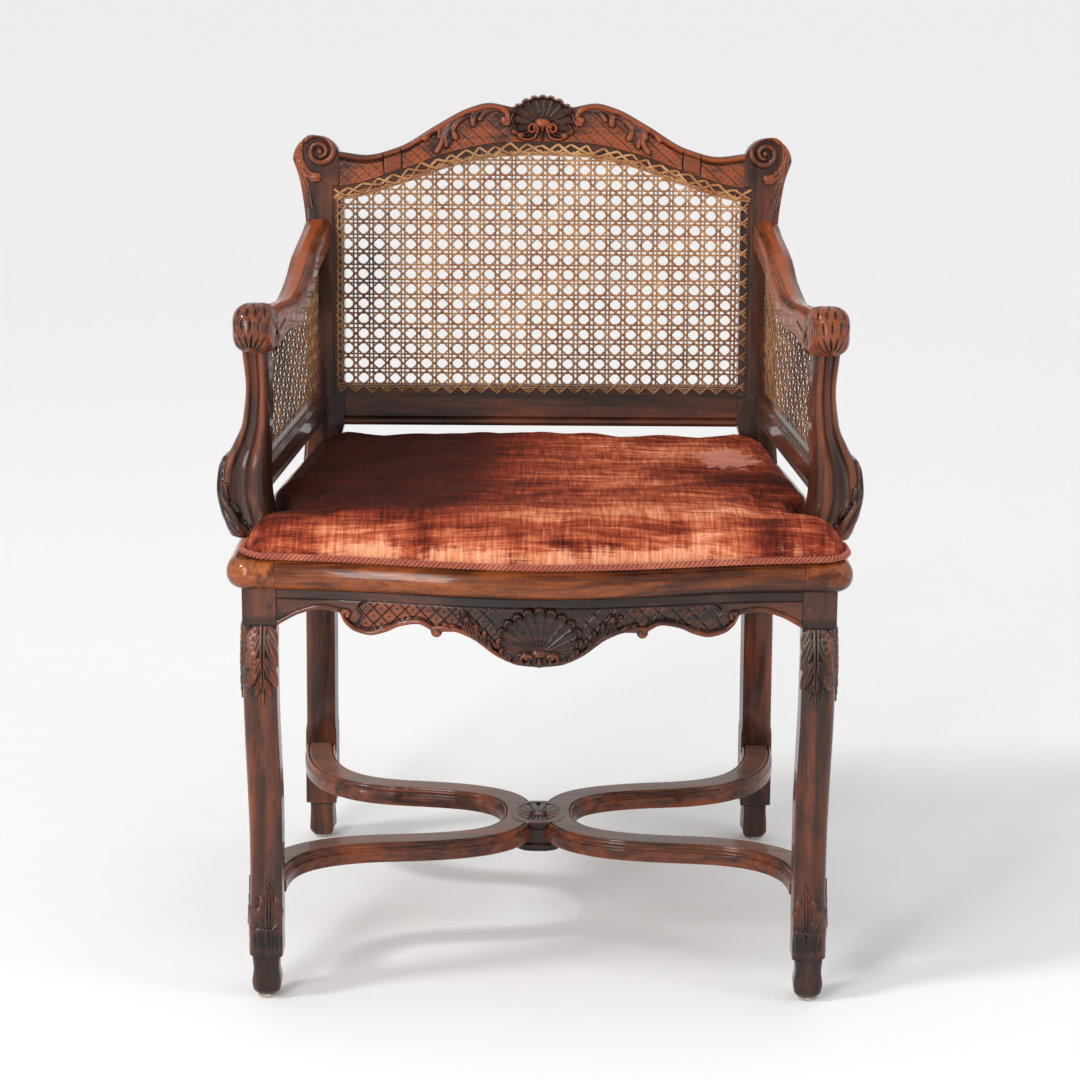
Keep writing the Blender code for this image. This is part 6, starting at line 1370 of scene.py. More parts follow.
def apron_leaves(relief):
    """Acanthus that grows up from the central sweep beside the shell: fluted blades with curled tips."""
    for points, width, height, flutes in (
        (((26, -69), (40.4, -63.6), (50.3, -52.1), (55, -42.8), (53.4, -33)), 4.6, 3.6, 3),
        (((36, -66), (46.5, -55.1), (49.6, -43)), 2.6, 3.2, 1),
        (((60, -50), (75.5, -39.3), (85.4, -34), (96, -27.6)), 4.6, 3.6, 3),
        (((72, -40), (81, -34.4), (87, -28)), 3.2, 3.3, 1),
        (((48, -58.5), (61.8, -47.8), (68.6, -35.5), (72.6, -18)), 6.0, 4.0, 4),
        (((56, -52), (61.8, -38.3), (62.5, -25)), 4.0, 3.5, 2),
        (((60, -52), (71.7, -41.2), (75.4, -32)), 3.6, 3.5, 2),
    ):
        relief.blade(points, width, height * MM, flutes, (-0.1, 0.2))
        (x, y), (far_x, far_y) = points[-1], points[-2]
        curl = (x + 0.25 * (far_x - x), y + 0.25 * (far_y - y))
        relief.dome(curl, width * 0.55, (height + 0.5) * MM, 0.25)
    relief.dome((79.8, -19.6), 2.6, 3.0 * MM, 0.2)


def apron_carving(x, down):
    """The front apron's relief: plain band, lattice panels, scrolled lower edge, leaves and shell."""
    far = np.abs(x)
    relief = Relief(far, -down)
    warm = ramp(far, 0.075, 0.11) * ramp(-far, -0.200, -0.150)
    worn = 0.2 * ripple(x, down, seed=29, scale=0.02)
    relief.tint += 0.30 * warm + 0.06 - 0.18 * bump(far - 0.046, 0.030) + worn
    panel = ramp(down, 0.0112, 0.0122) * ramp(apron_plain(far) - down, 0.0062, 0.0075)
    panel = panel * ramp(far, 0.040, 0.044) * ramp(-far, -0.181, -0.178)
    relief.lattice(x, panel, 15.6, 16.4, 1.0 * MM, 0.0)
    band = ramp(-down, -0.0098, -0.0088)
    relief.height += 1.5 * MM * band
    relief.tint -= 0.50 * band
    relief.groove(np.array([(0, -10.3), (262, -10.3)]), 0.6, 0.8 * MM)
    panel_end = ((172, -11), (178, -14), (179.5, -19), (176, -24), (178.5, -30), (182, -36))
    relief.groove(bend(panel_end, 24), 0.9, 1.2 * MM)
    apron_scrolls(relief)
    apron_leaves(relief)
    relief.lobe(((16, -63), (24, -63), (30, -60), (34, -56)), 2.2, 3.4, 3.6 * MM, 0.6, (-0.3, 0.2))
    relief.shell(APRON_SHELL, APRON_FLUTES, 6.0 * MM, 0.06)
    relief.tongue((0, -56.0), 7.5, 4.0, 4.2 * MM, 0.35)
    relief.volute(spiral((13.6, -62.0), 6.4, 2.6, 150, -1.15, 50), 2.7, 5.6 * MM, 3.2, 0.35)
    relief.roll(bend(((0, -62), (0, -66), (0, -70)), 10), 2.8, 4.4 * MM, (1, 0.6), (0.3, 0.3))
    relief.dome((0, -65.5), 3.2, 5.2 * MM, 0.5)
    return relief


def apron():
    end = FRONT_LEG_X - LEG_HALF - GAP
    x = np.linspace(-end, end, 821)
    depth = apron_depth(np.abs(x))
    zero = np.zeros_like(x)
    corners = corners_of((-APRON_THICK, zero), (zero, zero), (zero, depth), (-APRON_THICK, depth))
    section, place = eased_section(corners, (0.0008, 0.0008, 0.003, 0.002), (3, 76, 6, 10), 5)
    origin = at_height(np.column_stack((x, seat_front(x) + APRON_SET_BACK)), LEG_TOP)
    points = placed(section, origin, -Y_AXIS, -Z_AXIS)
    down = section[..., 1]
    faced = ramp(place, 0.9, 1.05) * ramp(-place, -2.06, -1.96)
    relief = apron_carving(np.broadcast_to(x[:, None], down.shape), down)
    height = np.where(down < 0.0005, 0, relief.height * faced)
    height += 0.15 * MM * ripple(points[..., 0], points[..., 2], seed=19, scale=0.012) * faced
    carved("apron_front_dressed", points, height, WALNUT[0], ["apron_front"], -Y_AXIS,
           tint=relief.tint * faced)


# Stretcher

# The mould of its edge, in from its side and down from its top, and how far each corner is eased
STRETCHER_EDGE = (
    (0.0, 0.0085), (0.0022, 0.0075), (0.0026, 0.0052), (0.0012, 0.0030), (0.0030, 0.0004), (0.0050, 0.0024),
    (0.0058, 0.0),
)
STRETCHER_EASES = (0.0015, 0.0008, 0.0008, 0.0012, 0.0012, 0.0012, 0.0005, 0.0006)
# The hub's sides from its top down: shares of its width, and depths
HUB_SIDES = (
    (1.0, 0.0025), (0.97, 0.0040), (0.88, 0.0085), (0.85, 0.0110), (0.79, 0.0118), (0.79, 0.0260),
    (0.88, 0.0272), (0.90, 0.0290), (0.90, 0.0325), (0.86, 0.0350), (0.5, 0.0358), (0.05, HUB_HEIGHT),
)
HUB_RAYS = 18
HUB_RINGS = 90


def bezier(points, t):
    points = [np.array(p, float)[None] for p in points]
    while len(points) > 1:
        points = [a + (b - a) * t[:, None] for a, b in zip(points, points[1:])]
    return points[0]


def stretcher_half(side, end):
    """Middle line of half a stretcher in plan, from its leg to the waist."""
    if end == "front":
        share = shank_share(np.linspace(STRETCHER_TOP - STRETCHER_HEIGHT, STRETCHER_TOP, 4))
        leg_x = FRONT_LEG_X + float(leg_out(shank_share(STRETCHER_TOP)))
        leg_y = float((FRONT_LEG_Y - leg_forward(share) + leg_half(share)).max()) + 2 * GAP
        turn_y, leave = STRETCHER_RUN_FRONT, 0.075
    else:
        leg_x, back_y = (float(k) for k in back_leg_places(STRETCHER_TOP))
        leg_y = back_y - BACK_LEG_DEPTH / 2 - 3 * GAP
        turn_y, leave = STRETCHER_RUN_BACK, -0.105
    across = leg_x - STRETCHER_WAIST
    middle = np.array((STRETCHER_WAIST + across * 0.5, turn_y))
    slope = np.array((across * 0.3, (leg_y - turn_y) * 0.06))
    waist = np.array((STRETCHER_NECK, STRETCHER_CENTRE_Y))
    outer = ((leg_x, leg_y), (leg_x, leg_y + leave), middle + slope, middle)
    inner = (middle, middle - slope * 1.15, waist + (0, (turn_y - STRETCHER_CENTRE_Y) * 0.75), waist)
    fine = np.linspace(0, 1, 90)
    return np.concatenate((bezier(outer, fine), bezier(inner, fine)[1:])) * (side, 1)


def stretcher(name, side):
    """A serpentine stretcher from back leg to front leg: a flat top between quirked ovolo edges."""
    back, front = (stretcher_half(side, end) for end in ("back", "front"))
    line = np.concatenate((back, front[-2::-1]))
    way = unit(np.gradient(line, axis=0))
    way[0] = way[-1] = (0, -1)
    half, high = STRETCHER_WIDTH / 2, STRETCHER_HEIGHT
    right = [(half, 0.0)] + [(half - aside, high - down) for aside, down in STRETCHER_EDGE]
    outline = np.array(right + [(-u, v) for u, v in right[::-1]])
    corners = np.broadcast_to(outline, (len(line), *outline.shape))
    sides = (5, 1, 1, 1, 1, 1, 1, 9, 1, 1, 1, 1, 1, 1, 5, 9)
    section, _ = eased_section(corners, STRETCHER_EASES + STRETCHER_EASES[::-1], sides, 4)
    origin = at_height(line, STRETCHER_TOP - STRETCHER_HEIGHT)
    points = placed(section, origin, at_height(-leftward(way), 0.0), Z_AXIS)
    carved(f"stretcher_{name}_dressed", points, years_of_use(points, 0.2, 23, 0.02), LOW_WALNUT,
           [f"stretcher_front_{name}", f"stretcher_back_{name}"], crisp=45, tint=0.36)


def rosette(x, y):
    """The cuts of an oval rosette and the boss in it, over places on the hub's top."""
    oval = np.hypot(x / (PATERA_WIDTH / 2), y / (PATERA_LENGTH / 2))
    off_x, off_y = x / MM, (y + PATERA_LENGTH * 0.14) / MM
    reach = np.hypot(off_x, off_y)
    phase = np.arctan2(off_x, off_y) * HUB_RAYS / (2 * np.pi)
    apart = np.abs(phase - np.round(phase)) / HUB_RAYS * 2 * np.pi * reach
    cut = bump(apart, 0.55 + 0.055 * reach) * ramp(reach, 5.0, 8.5) * ramp(0.95 - oval, 0.0, 0.06)
    cut = np.clip(cut + 0.9 * bump(oval - 0.98, 0.022) + 0.8 * bump(reach - 5.2, 0.6), 0, 1)
    return cut, np.sqrt(np.clip(1 - (reach / 4.6) ** 2, 0, 1))


def stretcher_hub():
    """The hub where the stretchers meet: an oval rosette on top, a hollow neck, a block and a foot."""
    turn = np.linspace(0, 2 * np.pi, 241)[:-1]
    square = (np.abs(np.cos(turn)) ** 3 + np.abs(np.sin(turn)) ** 3) ** (-1 / 3)
    sides = np.array(HUB_SIDES)
    share = np.concatenate((np.linspace(0.02, 0.985, HUB_RINGS), [0.997], sides[:, 0]))
    drop = np.concatenate((np.zeros(HUB_RINGS), [0.0006], sides[:, 1]))[:, None]
    x = share[:, None] * np.cos(turn) * square * HUB_WIDTH / 2
    y = share[:, None] * np.sin(turn) * square * HUB_LENGTH / 2
    cut, boss = (k * (drop == 0) for k in rosette(x, y))
    z = STRETCHER_TOP + 0.0006 - drop - 1.5 * MM * cut + 0.7 * MM * boss
    points = np.stack((x, y + STRETCHER_CENTRE_Y - 0.003, z), -1)
    mesh = net_mesh("stretcher_hub", points)
    set_value(mesh, "hollow", 0.5 * cut)
    set_value(mesh, "tint", -1.0 * cut - 0.6 * np.broadcast_to(drop > 0.001, x.shape))
    set_value(mesh, "dust", -0.6 * cut)
    mesh.set_sharp_from_angle(angle=math.radians(50))
    add_piece("stretcher_hub", mesh, LOW_WALNUT, ["stretcher_centre"])


# Cane

class Strands:
    """Split-cane strands gathered into one mesh. Each follows a line over a surface."""

    PROFILE = np.array([(-1, 0), (-0.6, 0.75), (0, 1), (0.6, 0.75), (1, 0), (0, -0.35)])

    def __init__(self, surface, age):
        self.surface, self.age = surface, age
        self.points, self.faces, self.ages, self.count = [], [], [], 0

    def lay(self, line, lift, width, thick):
        """Adds a strand. The line and lift are on the surface, the lift away from it."""
        line = np.array(line, float)
        side = leftward(unit(np.gradient(line, axis=0), TINY))
        flat = line[:, None] + side[:, None] * self.PROFILE[:, :1] * width / 2
        high = np.broadcast_to(lift, (len(line),))[:, None] + self.PROFILE[:, 1] * thick
        points = self.surface(flat[..., 0], flat[..., 1], high)
        rows, count = points.shape[:2]
        self.faces += capped(np.arange(rows * count).reshape(rows, count) + self.count)
        self.points.append(points.reshape(-1, 3))
        self.ages.append(np.broadcast_to(self.age(line[:, 0], line[:, 1])[:, None], (rows, count)).ravel())
        self.count += rows * count

    def piece(self, name, cad_node):
        mesh = smooth_mesh(name, np.concatenate(self.points), self.faces)
        set_value(mesh, "age", np.concatenate(self.ages))
        add_piece(name, mesh, CANE, [cad_node])


CANE_PITCH = 0.0179
CANE_PAIR = 0.0043
CANE_WIDTH = 0.0020
CANE_THICK = 0.0007
# Steps in a pitch when strands are cut to a panel, and the shortest piece that is kept, in pitches
FINE_STEPS, SHORTEST_STRAND = 14, 0.43
CANE_LIFT = 0.0006


def between_holes(first, low, high, step):
    """Places midway between holes that are a step apart, from low to high."""
    start, stop = math.floor((low - first) / step), math.ceil((high - first) / step)
    return first + step * (np.arange(start, stop) + 0.5)


def weave(strands, origin, span, inside, pitch, seed, steps=4):
    """Six-way caning: pairs of uprights and levels, and two slants that cross midway between their holes.

    The origin is the middle of one of the holes.
    """
    (x0, y0), (x1, y1) = span
    px, py = pitch
    draw = np.random.default_rng(seed)
    columns, rows = between_holes(origin[0], x0, x1, px), between_holes(origin[1], y0, y1, py)

    def run(start, stop, offset, wave):
        """One strand. Its offset to the side closes up at both ends, where it goes into the frame."""
        start, stop = np.array(start), np.array(stop)
        whole = np.hypot(*(stop - start))
        share = np.linspace(0, 1, max(int(whole / (px / FINE_STEPS)), 2) + 1)
        line = start + (stop - start) * share[:, None]
        kept = inside(line[:, 0], line[:, 1])
        edges = np.flatnonzero(np.diff(np.concatenate(([0], kept.astype(int), [0]))))
        side = np.array((stop[1] - start[1], start[0] - stop[0])) / whole
        for a, b in zip(edges[::2], edges[1::2]):
            length = whole * (share[b - 1] - share[a])
            if length < SHORTEST_STRAND * px:
                continue
            t = np.linspace(0, 1, math.ceil(length / (px / steps)) + 1)
            stretch = line[a] + (line[b - 1] - line[a]) * t[:, None]
            near_end = np.minimum(t, 1 - t) * length
            spread = offset * ramp(near_end, -0.002, 0.009) + draw.normal(scale=0.0002)
            width = CANE_WIDTH * draw.uniform(0.92, 1.1)
            strands.lay(stretch + side * spread[:, None], wave(stretch), width, CANE_THICK)

    for i, x in enumerate(columns):
        for k in (-1, 1):
            run((x, y0), (x, y1), k * CANE_PAIR / 2,
                lambda p, i=i: CANE_LIFT * np.cos(np.pi * (p[:, 1] - rows[0]) / py + np.pi * i))
    for j, y in enumerate(rows):
        for k in (-1, 1):
            run((x0, y), (x1, y), k * CANE_PAIR / 2,
                lambda p, j=j: -CANE_LIFT * np.cos(np.pi * (p[:, 0] - columns[0]) / px + np.pi * j))
    reach = len(rows) + 1
    for i in range(-reach, len(columns) + reach):
        for way in (-1, 1):
            start = (columns[0] + px * i, rows[0] - py / 2)
            stop = (start[0] + way * px * reach, start[1] + py * reach)
            run(start, stop, 0.0, lambda p, way=way: 0.0009 + 0.0003 * way + 0 * p[:, 0])


def lacing(strands, border, outer, inner, lift, seed):
    """The border's lacing: strands crossed from holes in the frame to the net, over two binding strands."""
    inward = leftward(unit(np.gradient(border, axis=0)))
    draw = np.random.default_rng(seed)
    holes = border + inward * outer + draw.normal(scale=0.0010, size=border.shape)
    knots = border + inward * inner + draw.normal(scale=0.0020, size=border.shape)
    t = np.linspace(0, 1, 9)[:, None]
    for i in range(len(border) - 1):
        for n, (a, b) in enumerate(((holes[i], knots[i + 1]), (holes[i + 1], knots[i]))):
            line = a + (b - a) * t + inward[i] * 0.0008 * np.sin(t * np.pi) * (1 if n else -1)
            arch = lift + (0.0007 + 0.0009 * n) * np.sin(np.pi * t.ravel())
            strands.lay(line, arch, CANE_WIDTH * draw.uniform(1.3, 1.7), 0.0010)
    for at, high in ((inner * 0.96, 0.0006), (inner * 1.16, 0.0)):
        strands.lay(evenly(border + inward * at, 0.006), lift * 0.3 + high, CANE_WIDTH * 1.2, 0.0008)


def back_cane():
    depth = -STILE_DEPTH / 2 + REBATE_DEPTH - GAP - 0.001
    edge = STILE_INNER_X + REBATE_WIDTH - GAP
    inset = 0.003

    def surface(x, up, lift):
        return back_point(x, depth - lift, up)

    def age(x, up):
        # Strands go darker in a patch at the lower left and towards the bottom
        dark_patch = bump(x + 0.195, 0.030) * bump(up - 0.215, 0.065)
        low = ramp(-up, -0.20, -0.08) * 0.30
        border = 0.10 * ramp(up - cane_top(np.abs(x)), -0.016, -0.011)
        worn = 0.20 + 0.75 * dark_patch + low - border + 0.18 * ripple(x, up, seed=31, scale=0.05)
        return np.clip(worn, 0, 0.9)

    def inside(x, up):
        return (np.abs(x) < edge - inset) & (up > CANE_BOTTOM + inset) & (up < cane_top(np.abs(x)) - 0.009)

    strands = Strands(surface, age)
    span = ((-edge, CANE_BOTTOM), (edge, CANE_TOP))
    weave(strands, (-0.0055, CANE_BOTTOM + 0.0033), span, inside, (CANE_PITCH, 0.0169), 41)
    x = np.linspace(-edge, edge, 90)
    arch = np.column_stack((x, cane_top(np.abs(x)) - GAP))[::-1]
    lacing(strands, evenly(arch, 0.0172), 0.0020, 0.0122, 0.0008, 43)
    strands.piece("cane_back_woven", "cane_back")


def side_cane(name, side):
    rail = SideFrame(side)
    low = SIDE_RAIL_TOP + 2 * GAP

    def top(s):
        return np.minimum(arm_low(s - 0.004), arm_low(s + 0.004)) - 4 * GAP

    def first(height):
        return post_back(np.clip(height / ARM_POST_TOP, 0, 1)) + 2 * GAP

    def surface(s, height, lift):
        return rail.point(s, -lift, height)

    def age(s, height):
        return np.clip(0.62 + 0.25 * ripple(s, height, seed=37, scale=0.05), 0, 0.9)

    def inside(s, height):
        return ((height > low + 0.003) & (height < top(s) - 0.003) & (s > first(height) + 0.003)
                & (s < rail.stile_face(height) - 0.003))

    strands = Strands(surface, age)
    weave(strands, (0.02, low), ((POST_HALF, low), (rail.length + 0.03, 0.25)), inside, (0.0165, 0.0160), 47)
    strands.piece(f"cane_side_{name}_woven", f"cane_side_{name}")


def seat_cane():
    height = SEAT_HEIGHT - REBATE_DEPTH + GAP + 0.001
    inset = REBATE_WIDTH - 0.0006
    back = STILE_FRONT_Y + GAP + inset

    def half(y):
        share = np.clip((y - seat_front_inner(CREASE_X)) / (back - seat_front_inner(CREASE_X)), 0, 1)
        return CREASE_X + (BACK_LEG_X - BACK_LEG_WIDTH / 2 - CREASE_X) * share - 0.001

    def surface(x, y, lift):
        x, y, lift = np.broadcast_arrays(x, y, lift)
        return np.stack((x, y, height + np.clip(lift, -0.0006, 0.0008)), -1)

    def age(x, y):
        return np.clip(0.25 + 0.2 * ripple(x, y, seed=59, scale=0.06), 0, 0.7)

    def inside(x, y):
        return (np.abs(x) < half(y)) & (y > seat_front_inner(x) - inset + 0.001) & (y < back - 0.001)

    strands = Strands(surface, age)
    span = ((-CREASE_X, FRONT_EDGE_Y), (CREASE_X, back))
    weave(strands, (0, back), span, inside, (CANE_PITCH, CANE_PITCH), 61, steps=3)
    strands.piece("cane_seat_woven", "cane_seat")


# Cushion and its cord

NOTCH_RUN = 0.010
NOTCH_FRONT = POST_Y - POST_HALF - 0.004 - 2 * CORD_RADIUS - 0.003 - NOTCH_RUN
NOTCH_BACK = POST_Y + POST_HALF + 2 * CORD_RADIUS
CUSHION_FRONT_Y = FRONT_EDGE_Y + CUSHION_FRONT_INSET
cushion_half = smooth_through(
    (CUSHION_FRONT_Y, CUSHION_EAR_X - 0.018), (CUSHION_FRONT_Y + 0.009, CUSHION_EAR_X - 0.006),
    (CUSHION_FRONT_Y + 0.024, CUSHION_EAR_X), (NOTCH_FRONT - 0.018, CUSHION_EAR_X - 0.001),
    (NOTCH_FRONT - 0.006, CUSHION_EAR_X - 0.007), (NOTCH_FRONT, CUSHION_EAR_X - 0.019),
    (NOTCH_FRONT + NOTCH_RUN, CUSHION_NOTCH_X), (NOTCH_BACK, CUSHION_NOTCH_X),
    (NOTCH_BACK + 0.005, CUSHION_NOTCH_X + 0.007), (NOTCH_BACK + 0.011, CUSHION_NOTCH_X + 0.0125),
    (NOTCH_BACK + 0.024, CUSHION_NOTCH_X + 0.0148), (NOTCH_BACK + 0.064, CUSHION_NOTCH_X + 0.0110),
    (NOTCH_BACK + 0.114, CUSHION_NOTCH_X + 0.0064), (0.1, CUSHION_NOTCH_X - 0.0026),
    (CUSHION_BACK_Y - 0.035, CUSHION_BACK_X + 0.0210), (CUSHION_BACK_Y - 0.014, CUSHION_BACK_X + 0.0176),
    (CUSHION_BACK_Y, CUSHION_BACK_X + 0.008),
)


def half_at(along):
    return cushion_half(CUSHION_FRONT_Y + (CUSHION_BACK_Y - CUSHION_FRONT_Y) * along)


def cushion_front(x):
    return seat_front(x) + CUSHION_FRONT_INSET + 0.010 * (np.abs(x) / CUSHION_EAR_X) ** 6


def cushion_plan(across, along):
    """The cushion's plan, from shares that run from -1 to 1 across it and from 0 to 1 back over it.

    Its front lies a little askew.
    """
    x = across * half_at(along)
    front = cushion_front(x)
    return x + CUSHION_SKEW * (1 - ramp(along, 0.10, 0.22)), front + (CUSHION_BACK_Y - front) * along


def cushion_crown(across, along):
    """Height of the top above the seam: quick over the rolled edge, then a slow crown."""
    length = CUSHION_BACK_Y - cushion_front(across * half_at(along))
    rise = 0.90 + 0.10 * np.cos(across * np.pi / 2)
    beside = CUSHION_EAR_ROLL + (CUSHION_SHOULDER - CUSHION_EAR_ROLL) * ramp(along, 0.12, 0.24)
    for room, shoulder in ((half_at(along) * (1 - np.abs(across)), beside), (length * along, CUSHION_ROLL),
                           (length * (1 - along), CUSHION_SHOULDER)):
        rise = rise * np.sqrt(1 - (1 - np.minimum(room / shoulder, 1)) ** 2)
    return (CUSHION_CROWN - CUSHION_SEAM) * rise


def seam_height(x, y):
    """The seam's height: lifted a little along the front, and puckered along the back."""
    front = cushion_front(np.clip(x, -CUSHION_EAR_X, CUSHION_EAR_X))
    along = np.clip((y - front) / (CUSHION_BACK_Y - front), 0, 1)
    puckers = 1 + np.cos(x * 2 * np.pi / 0.072 + 1.1 * np.sin(19 * x))
    lifted = 0.4 * MM * ramp(-along, -0.12, 0) + 1.2 * MM * puckers * ramp(along, 0.90, 1)
    return SEAT_HEIGHT + CUSHION_SEAM + lifted


def cushion_mesh():
    """The squab as two sheets that meet in a seam. Its sides bulge past the seam."""
    edge = np.sin(np.linspace(-np.pi / 2, np.pi / 2, 103))
    across = 0.70 * edge + 0.30 * np.linspace(-1, 1, 103)
    along = 0.35 * (np.sin(np.linspace(-np.pi / 2, np.pi / 2, 87)) + 1) / 2 + 0.65 * np.linspace(0, 1, 87)
    u, v = np.meshgrid(across, along, indexing="ij")
    x, y = cushion_plan(u, v)
    rise = cushion_crown(u, v)
    seam = seam_height(x, y)
    dents = 1 + 0.10 * ripple(x, y, seed=71, scale=0.07) + 0.04 * ripple(x, y, seed=73, scale=0.02)
    room = np.clip(half_at(v) * (1 - np.abs(u)) / CUSHION_BULGE_RUN, 0, 1)
    bulge = CUSHION_BULGE * np.sin(np.pi * room**0.45) * ramp(v, 0.24, 0.34) * ramp(-v, -1.0, -0.90)
    top = np.stack((x + np.sign(u) * bulge, y, seam + 0.94 * rise * dents), -1)
    low = np.stack((x, y, np.maximum(seam - rise * 0.5, SEAT_HEIGHT + 2 * GAP)), -1)
    rows, count = u.shape
    index = np.arange(rows * count).reshape(rows, count)
    quads = np.stack((index[:-1, :-1], index[1:, :-1], index[1:, 1:], index[:-1, 1:]), -1).reshape(-1, 4)
    border = np.zeros((rows, count), bool)
    border[[0, -1]] = border[:, [0, -1]] = True
    under = np.where(border, index, index + rows * count)
    below = np.stack((under[:-1, :-1], under[:-1, 1:], under[1:, 1:], under[1:, :-1]), -1).reshape(-1, 4)
    places = np.concatenate((top.reshape(-1, 3), low.reshape(-1, 3)))
    faces = np.concatenate((quads, below))
    used, compact = np.unique(faces, return_inverse=True)
    return smooth_mesh("cushion_dressed", places[used], compact.reshape(-1, 4).tolist())


CLOTH_SETTINGS = {
    "vertex_group_mass": "held", "use_pressure": True, "uniform_pressure_force": 4.0, "mass": 0.35,
    "tension_stiffness": 18.0, "compression_stiffness": 18.0, "bending_stiffness": 0.8,
}
CLOTH_STEPS = 20
MOST_SWELL = 0.005
HELD_ABOVE_SEAM = 0.0015


def swell(cushion):
    """Fills the cushion by cloth simulation: the seam and the underside are held, the top may rise."""
    rest = places_of(cushion.data)
    held = cushion.vertex_groups.new(name="held")
    for vertex in np.flatnonzero(rest[:, 2] < seam_height(rest[:, 0], rest[:, 1]) + HELD_ABOVE_SEAM):
        held.add([int(vertex)], 1.0, "REPLACE")
    cloth = cushion.modifiers.new("filling", "CLOTH")
    for name, value in CLOTH_SETTINGS.items():
        setattr(cloth.settings, name, value)
    cloth.settings.effector_weights.gravity = 0.0
    cloth.collision_settings.use_self_collision = False
    scene = bpy.context.scene
    for step in range(1, CLOTH_STEPS + 1):
        scene.frame_set(step)
    shift = places_of(cushion.evaluated_get(bpy.context.evaluated_depsgraph_get()).data) - rest
    cushion.modifiers.remove(cloth)
    scene.frame_set(1)
    shift[:, 0] *= np.where(shift[:, 0] * rest[:, 0] > 0, 0.5, 0.1)
    shift[:, 1] *= 0.3
    shift[:, 2] = np.clip(shift[:, 2], -0.0005, MOST_SWELL)
    length = np.linalg.norm(shift, axis=1, keepdims=True) + TINY
    shift *= np.minimum(length, MOST_SWELL) / length
    cushion.data.vertices.foreach_set("co", (rest + shift).ravel())
    cushion.vertex_groups.clear()


def velvet_wear(mesh):
    """How the nap lies, where it is rubbed bald and where it is stained, from places on the cushion."""
    x, y, z = places_of(mesh).T
    from_front = y - cushion_front(np.clip(x, -CUSHION_EAR_X, CUSHION_EAR_X))
    above = z - seam_height(x, y)
    wander = ripple(x, y, seed=83, scale=0.055) + 0.6 * ripple(x, y, seed=84, scale=0.022)
    nap = 0.50 + 0.12 * wander
    forward = from_front + 0.03 * wander + 0.05 * ramp(-x, 0.04, 0.20)
    nap -= 0.50 * ramp(0.05 * wander - x, -0.09, 0.17) * ramp(forward, 0.035, 0.15)
    nap -= 0.24 * ramp(-x + 0.04 * wander, -0.08, 0.16) * ramp(y, 0.02, 0.18)
    nap += 0.26 * bump(from_front - 0.062, 0.030) * ramp(x, -0.20, -0.02)
    nap += 0.16 * bump(x - 0.06, 0.08) * bump(y + 0.07, 0.10)
    nap += 0.18 * bump(x - 0.12, 0.08) * bump(y - 0.11, 0.05)
    nap -= 0.24 * bump(y + 0.02 + 0.25 * (x - 0.15), 0.035) * ramp(x, 0.07, 0.13)
    nap -= 0.14 * ramp(x, 0.20, 0.26)
    rolled = 1 - ramp(from_front, 0.03, 0.06)
    brushed = 0.57 + 0.17 * ripple(x, 0.5 * z, seed=81, scale=0.009) - 0.20 * ramp(np.abs(x), 0.19, 0.27)
    nap = nap * (1 - rolled) + brushed * rolled
    bald = (1 - ramp(above, 0.008, 0.026)) * (1 - ramp(from_front, 0.026, 0.042)) * ramp(x, -0.26, -0.19)
    bald *= (1 - 0.5 * ramp(x, 0.14, 0.22)) * (0.72 + 0.45 * ripple(x, 0.6 * y, seed=85, scale=0.020))
    spot = np.hypot((x - 0.203) / 0.034, (y - 0.056) / 0.056)
    set_value(mesh, "nap", np.clip(nap, 0.05, 0.95))
    set_value(mesh, "bald", np.clip(bald, 0, 1))
    set_value(mesh, "stain", np.clip(1.5 - spot, 0, 1))


def cushion():
    mesh = cushion_mesh()
    piece = add_piece("cushion_dressed", mesh, VELVET, ["cushion"], "cushion")
    swell(piece)
    velvet_wear(mesh)
    finer = piece.modifiers.new("finer", "SUBSURF")
    finer.levels = finer.render_levels = 1


CORD_STEP = 0.0011
CORD_TURN = 0.0145
PLIES, PLY_SIDES = 3, 7
# A ply's distance from the cord's middle and its radius, in radii of the cord
PLY_OFF, PLY_RADIUS = 0.46, 0.56


def outward_of(line, reach):
    """Directions out from a closed line, over a few points to each side."""
    return -leftward(unit(np.roll(line, -reach, 0) - np.roll(line, reach, 0)))


def cushion_seam():
    """The cushion's outline, once round, moved out by the cord's own radius."""
    t = np.linspace(-1, 1, 400)
    v = np.linspace(0, 1, 400)
    one = np.ones_like(v)
    line = np.concatenate([np.column_stack(cushion_plan(*k)) for k in (
        (t, 0 * t), (one, v), (t[::-1], 0 * t + 1), (-one, v[::-1]))])
    line = evenly(line, 0.0015, closed=True)
    return evenly(line + outward_of(line, 3) * (CORD_RADIUS + GAP), CORD_STEP, closed=True)


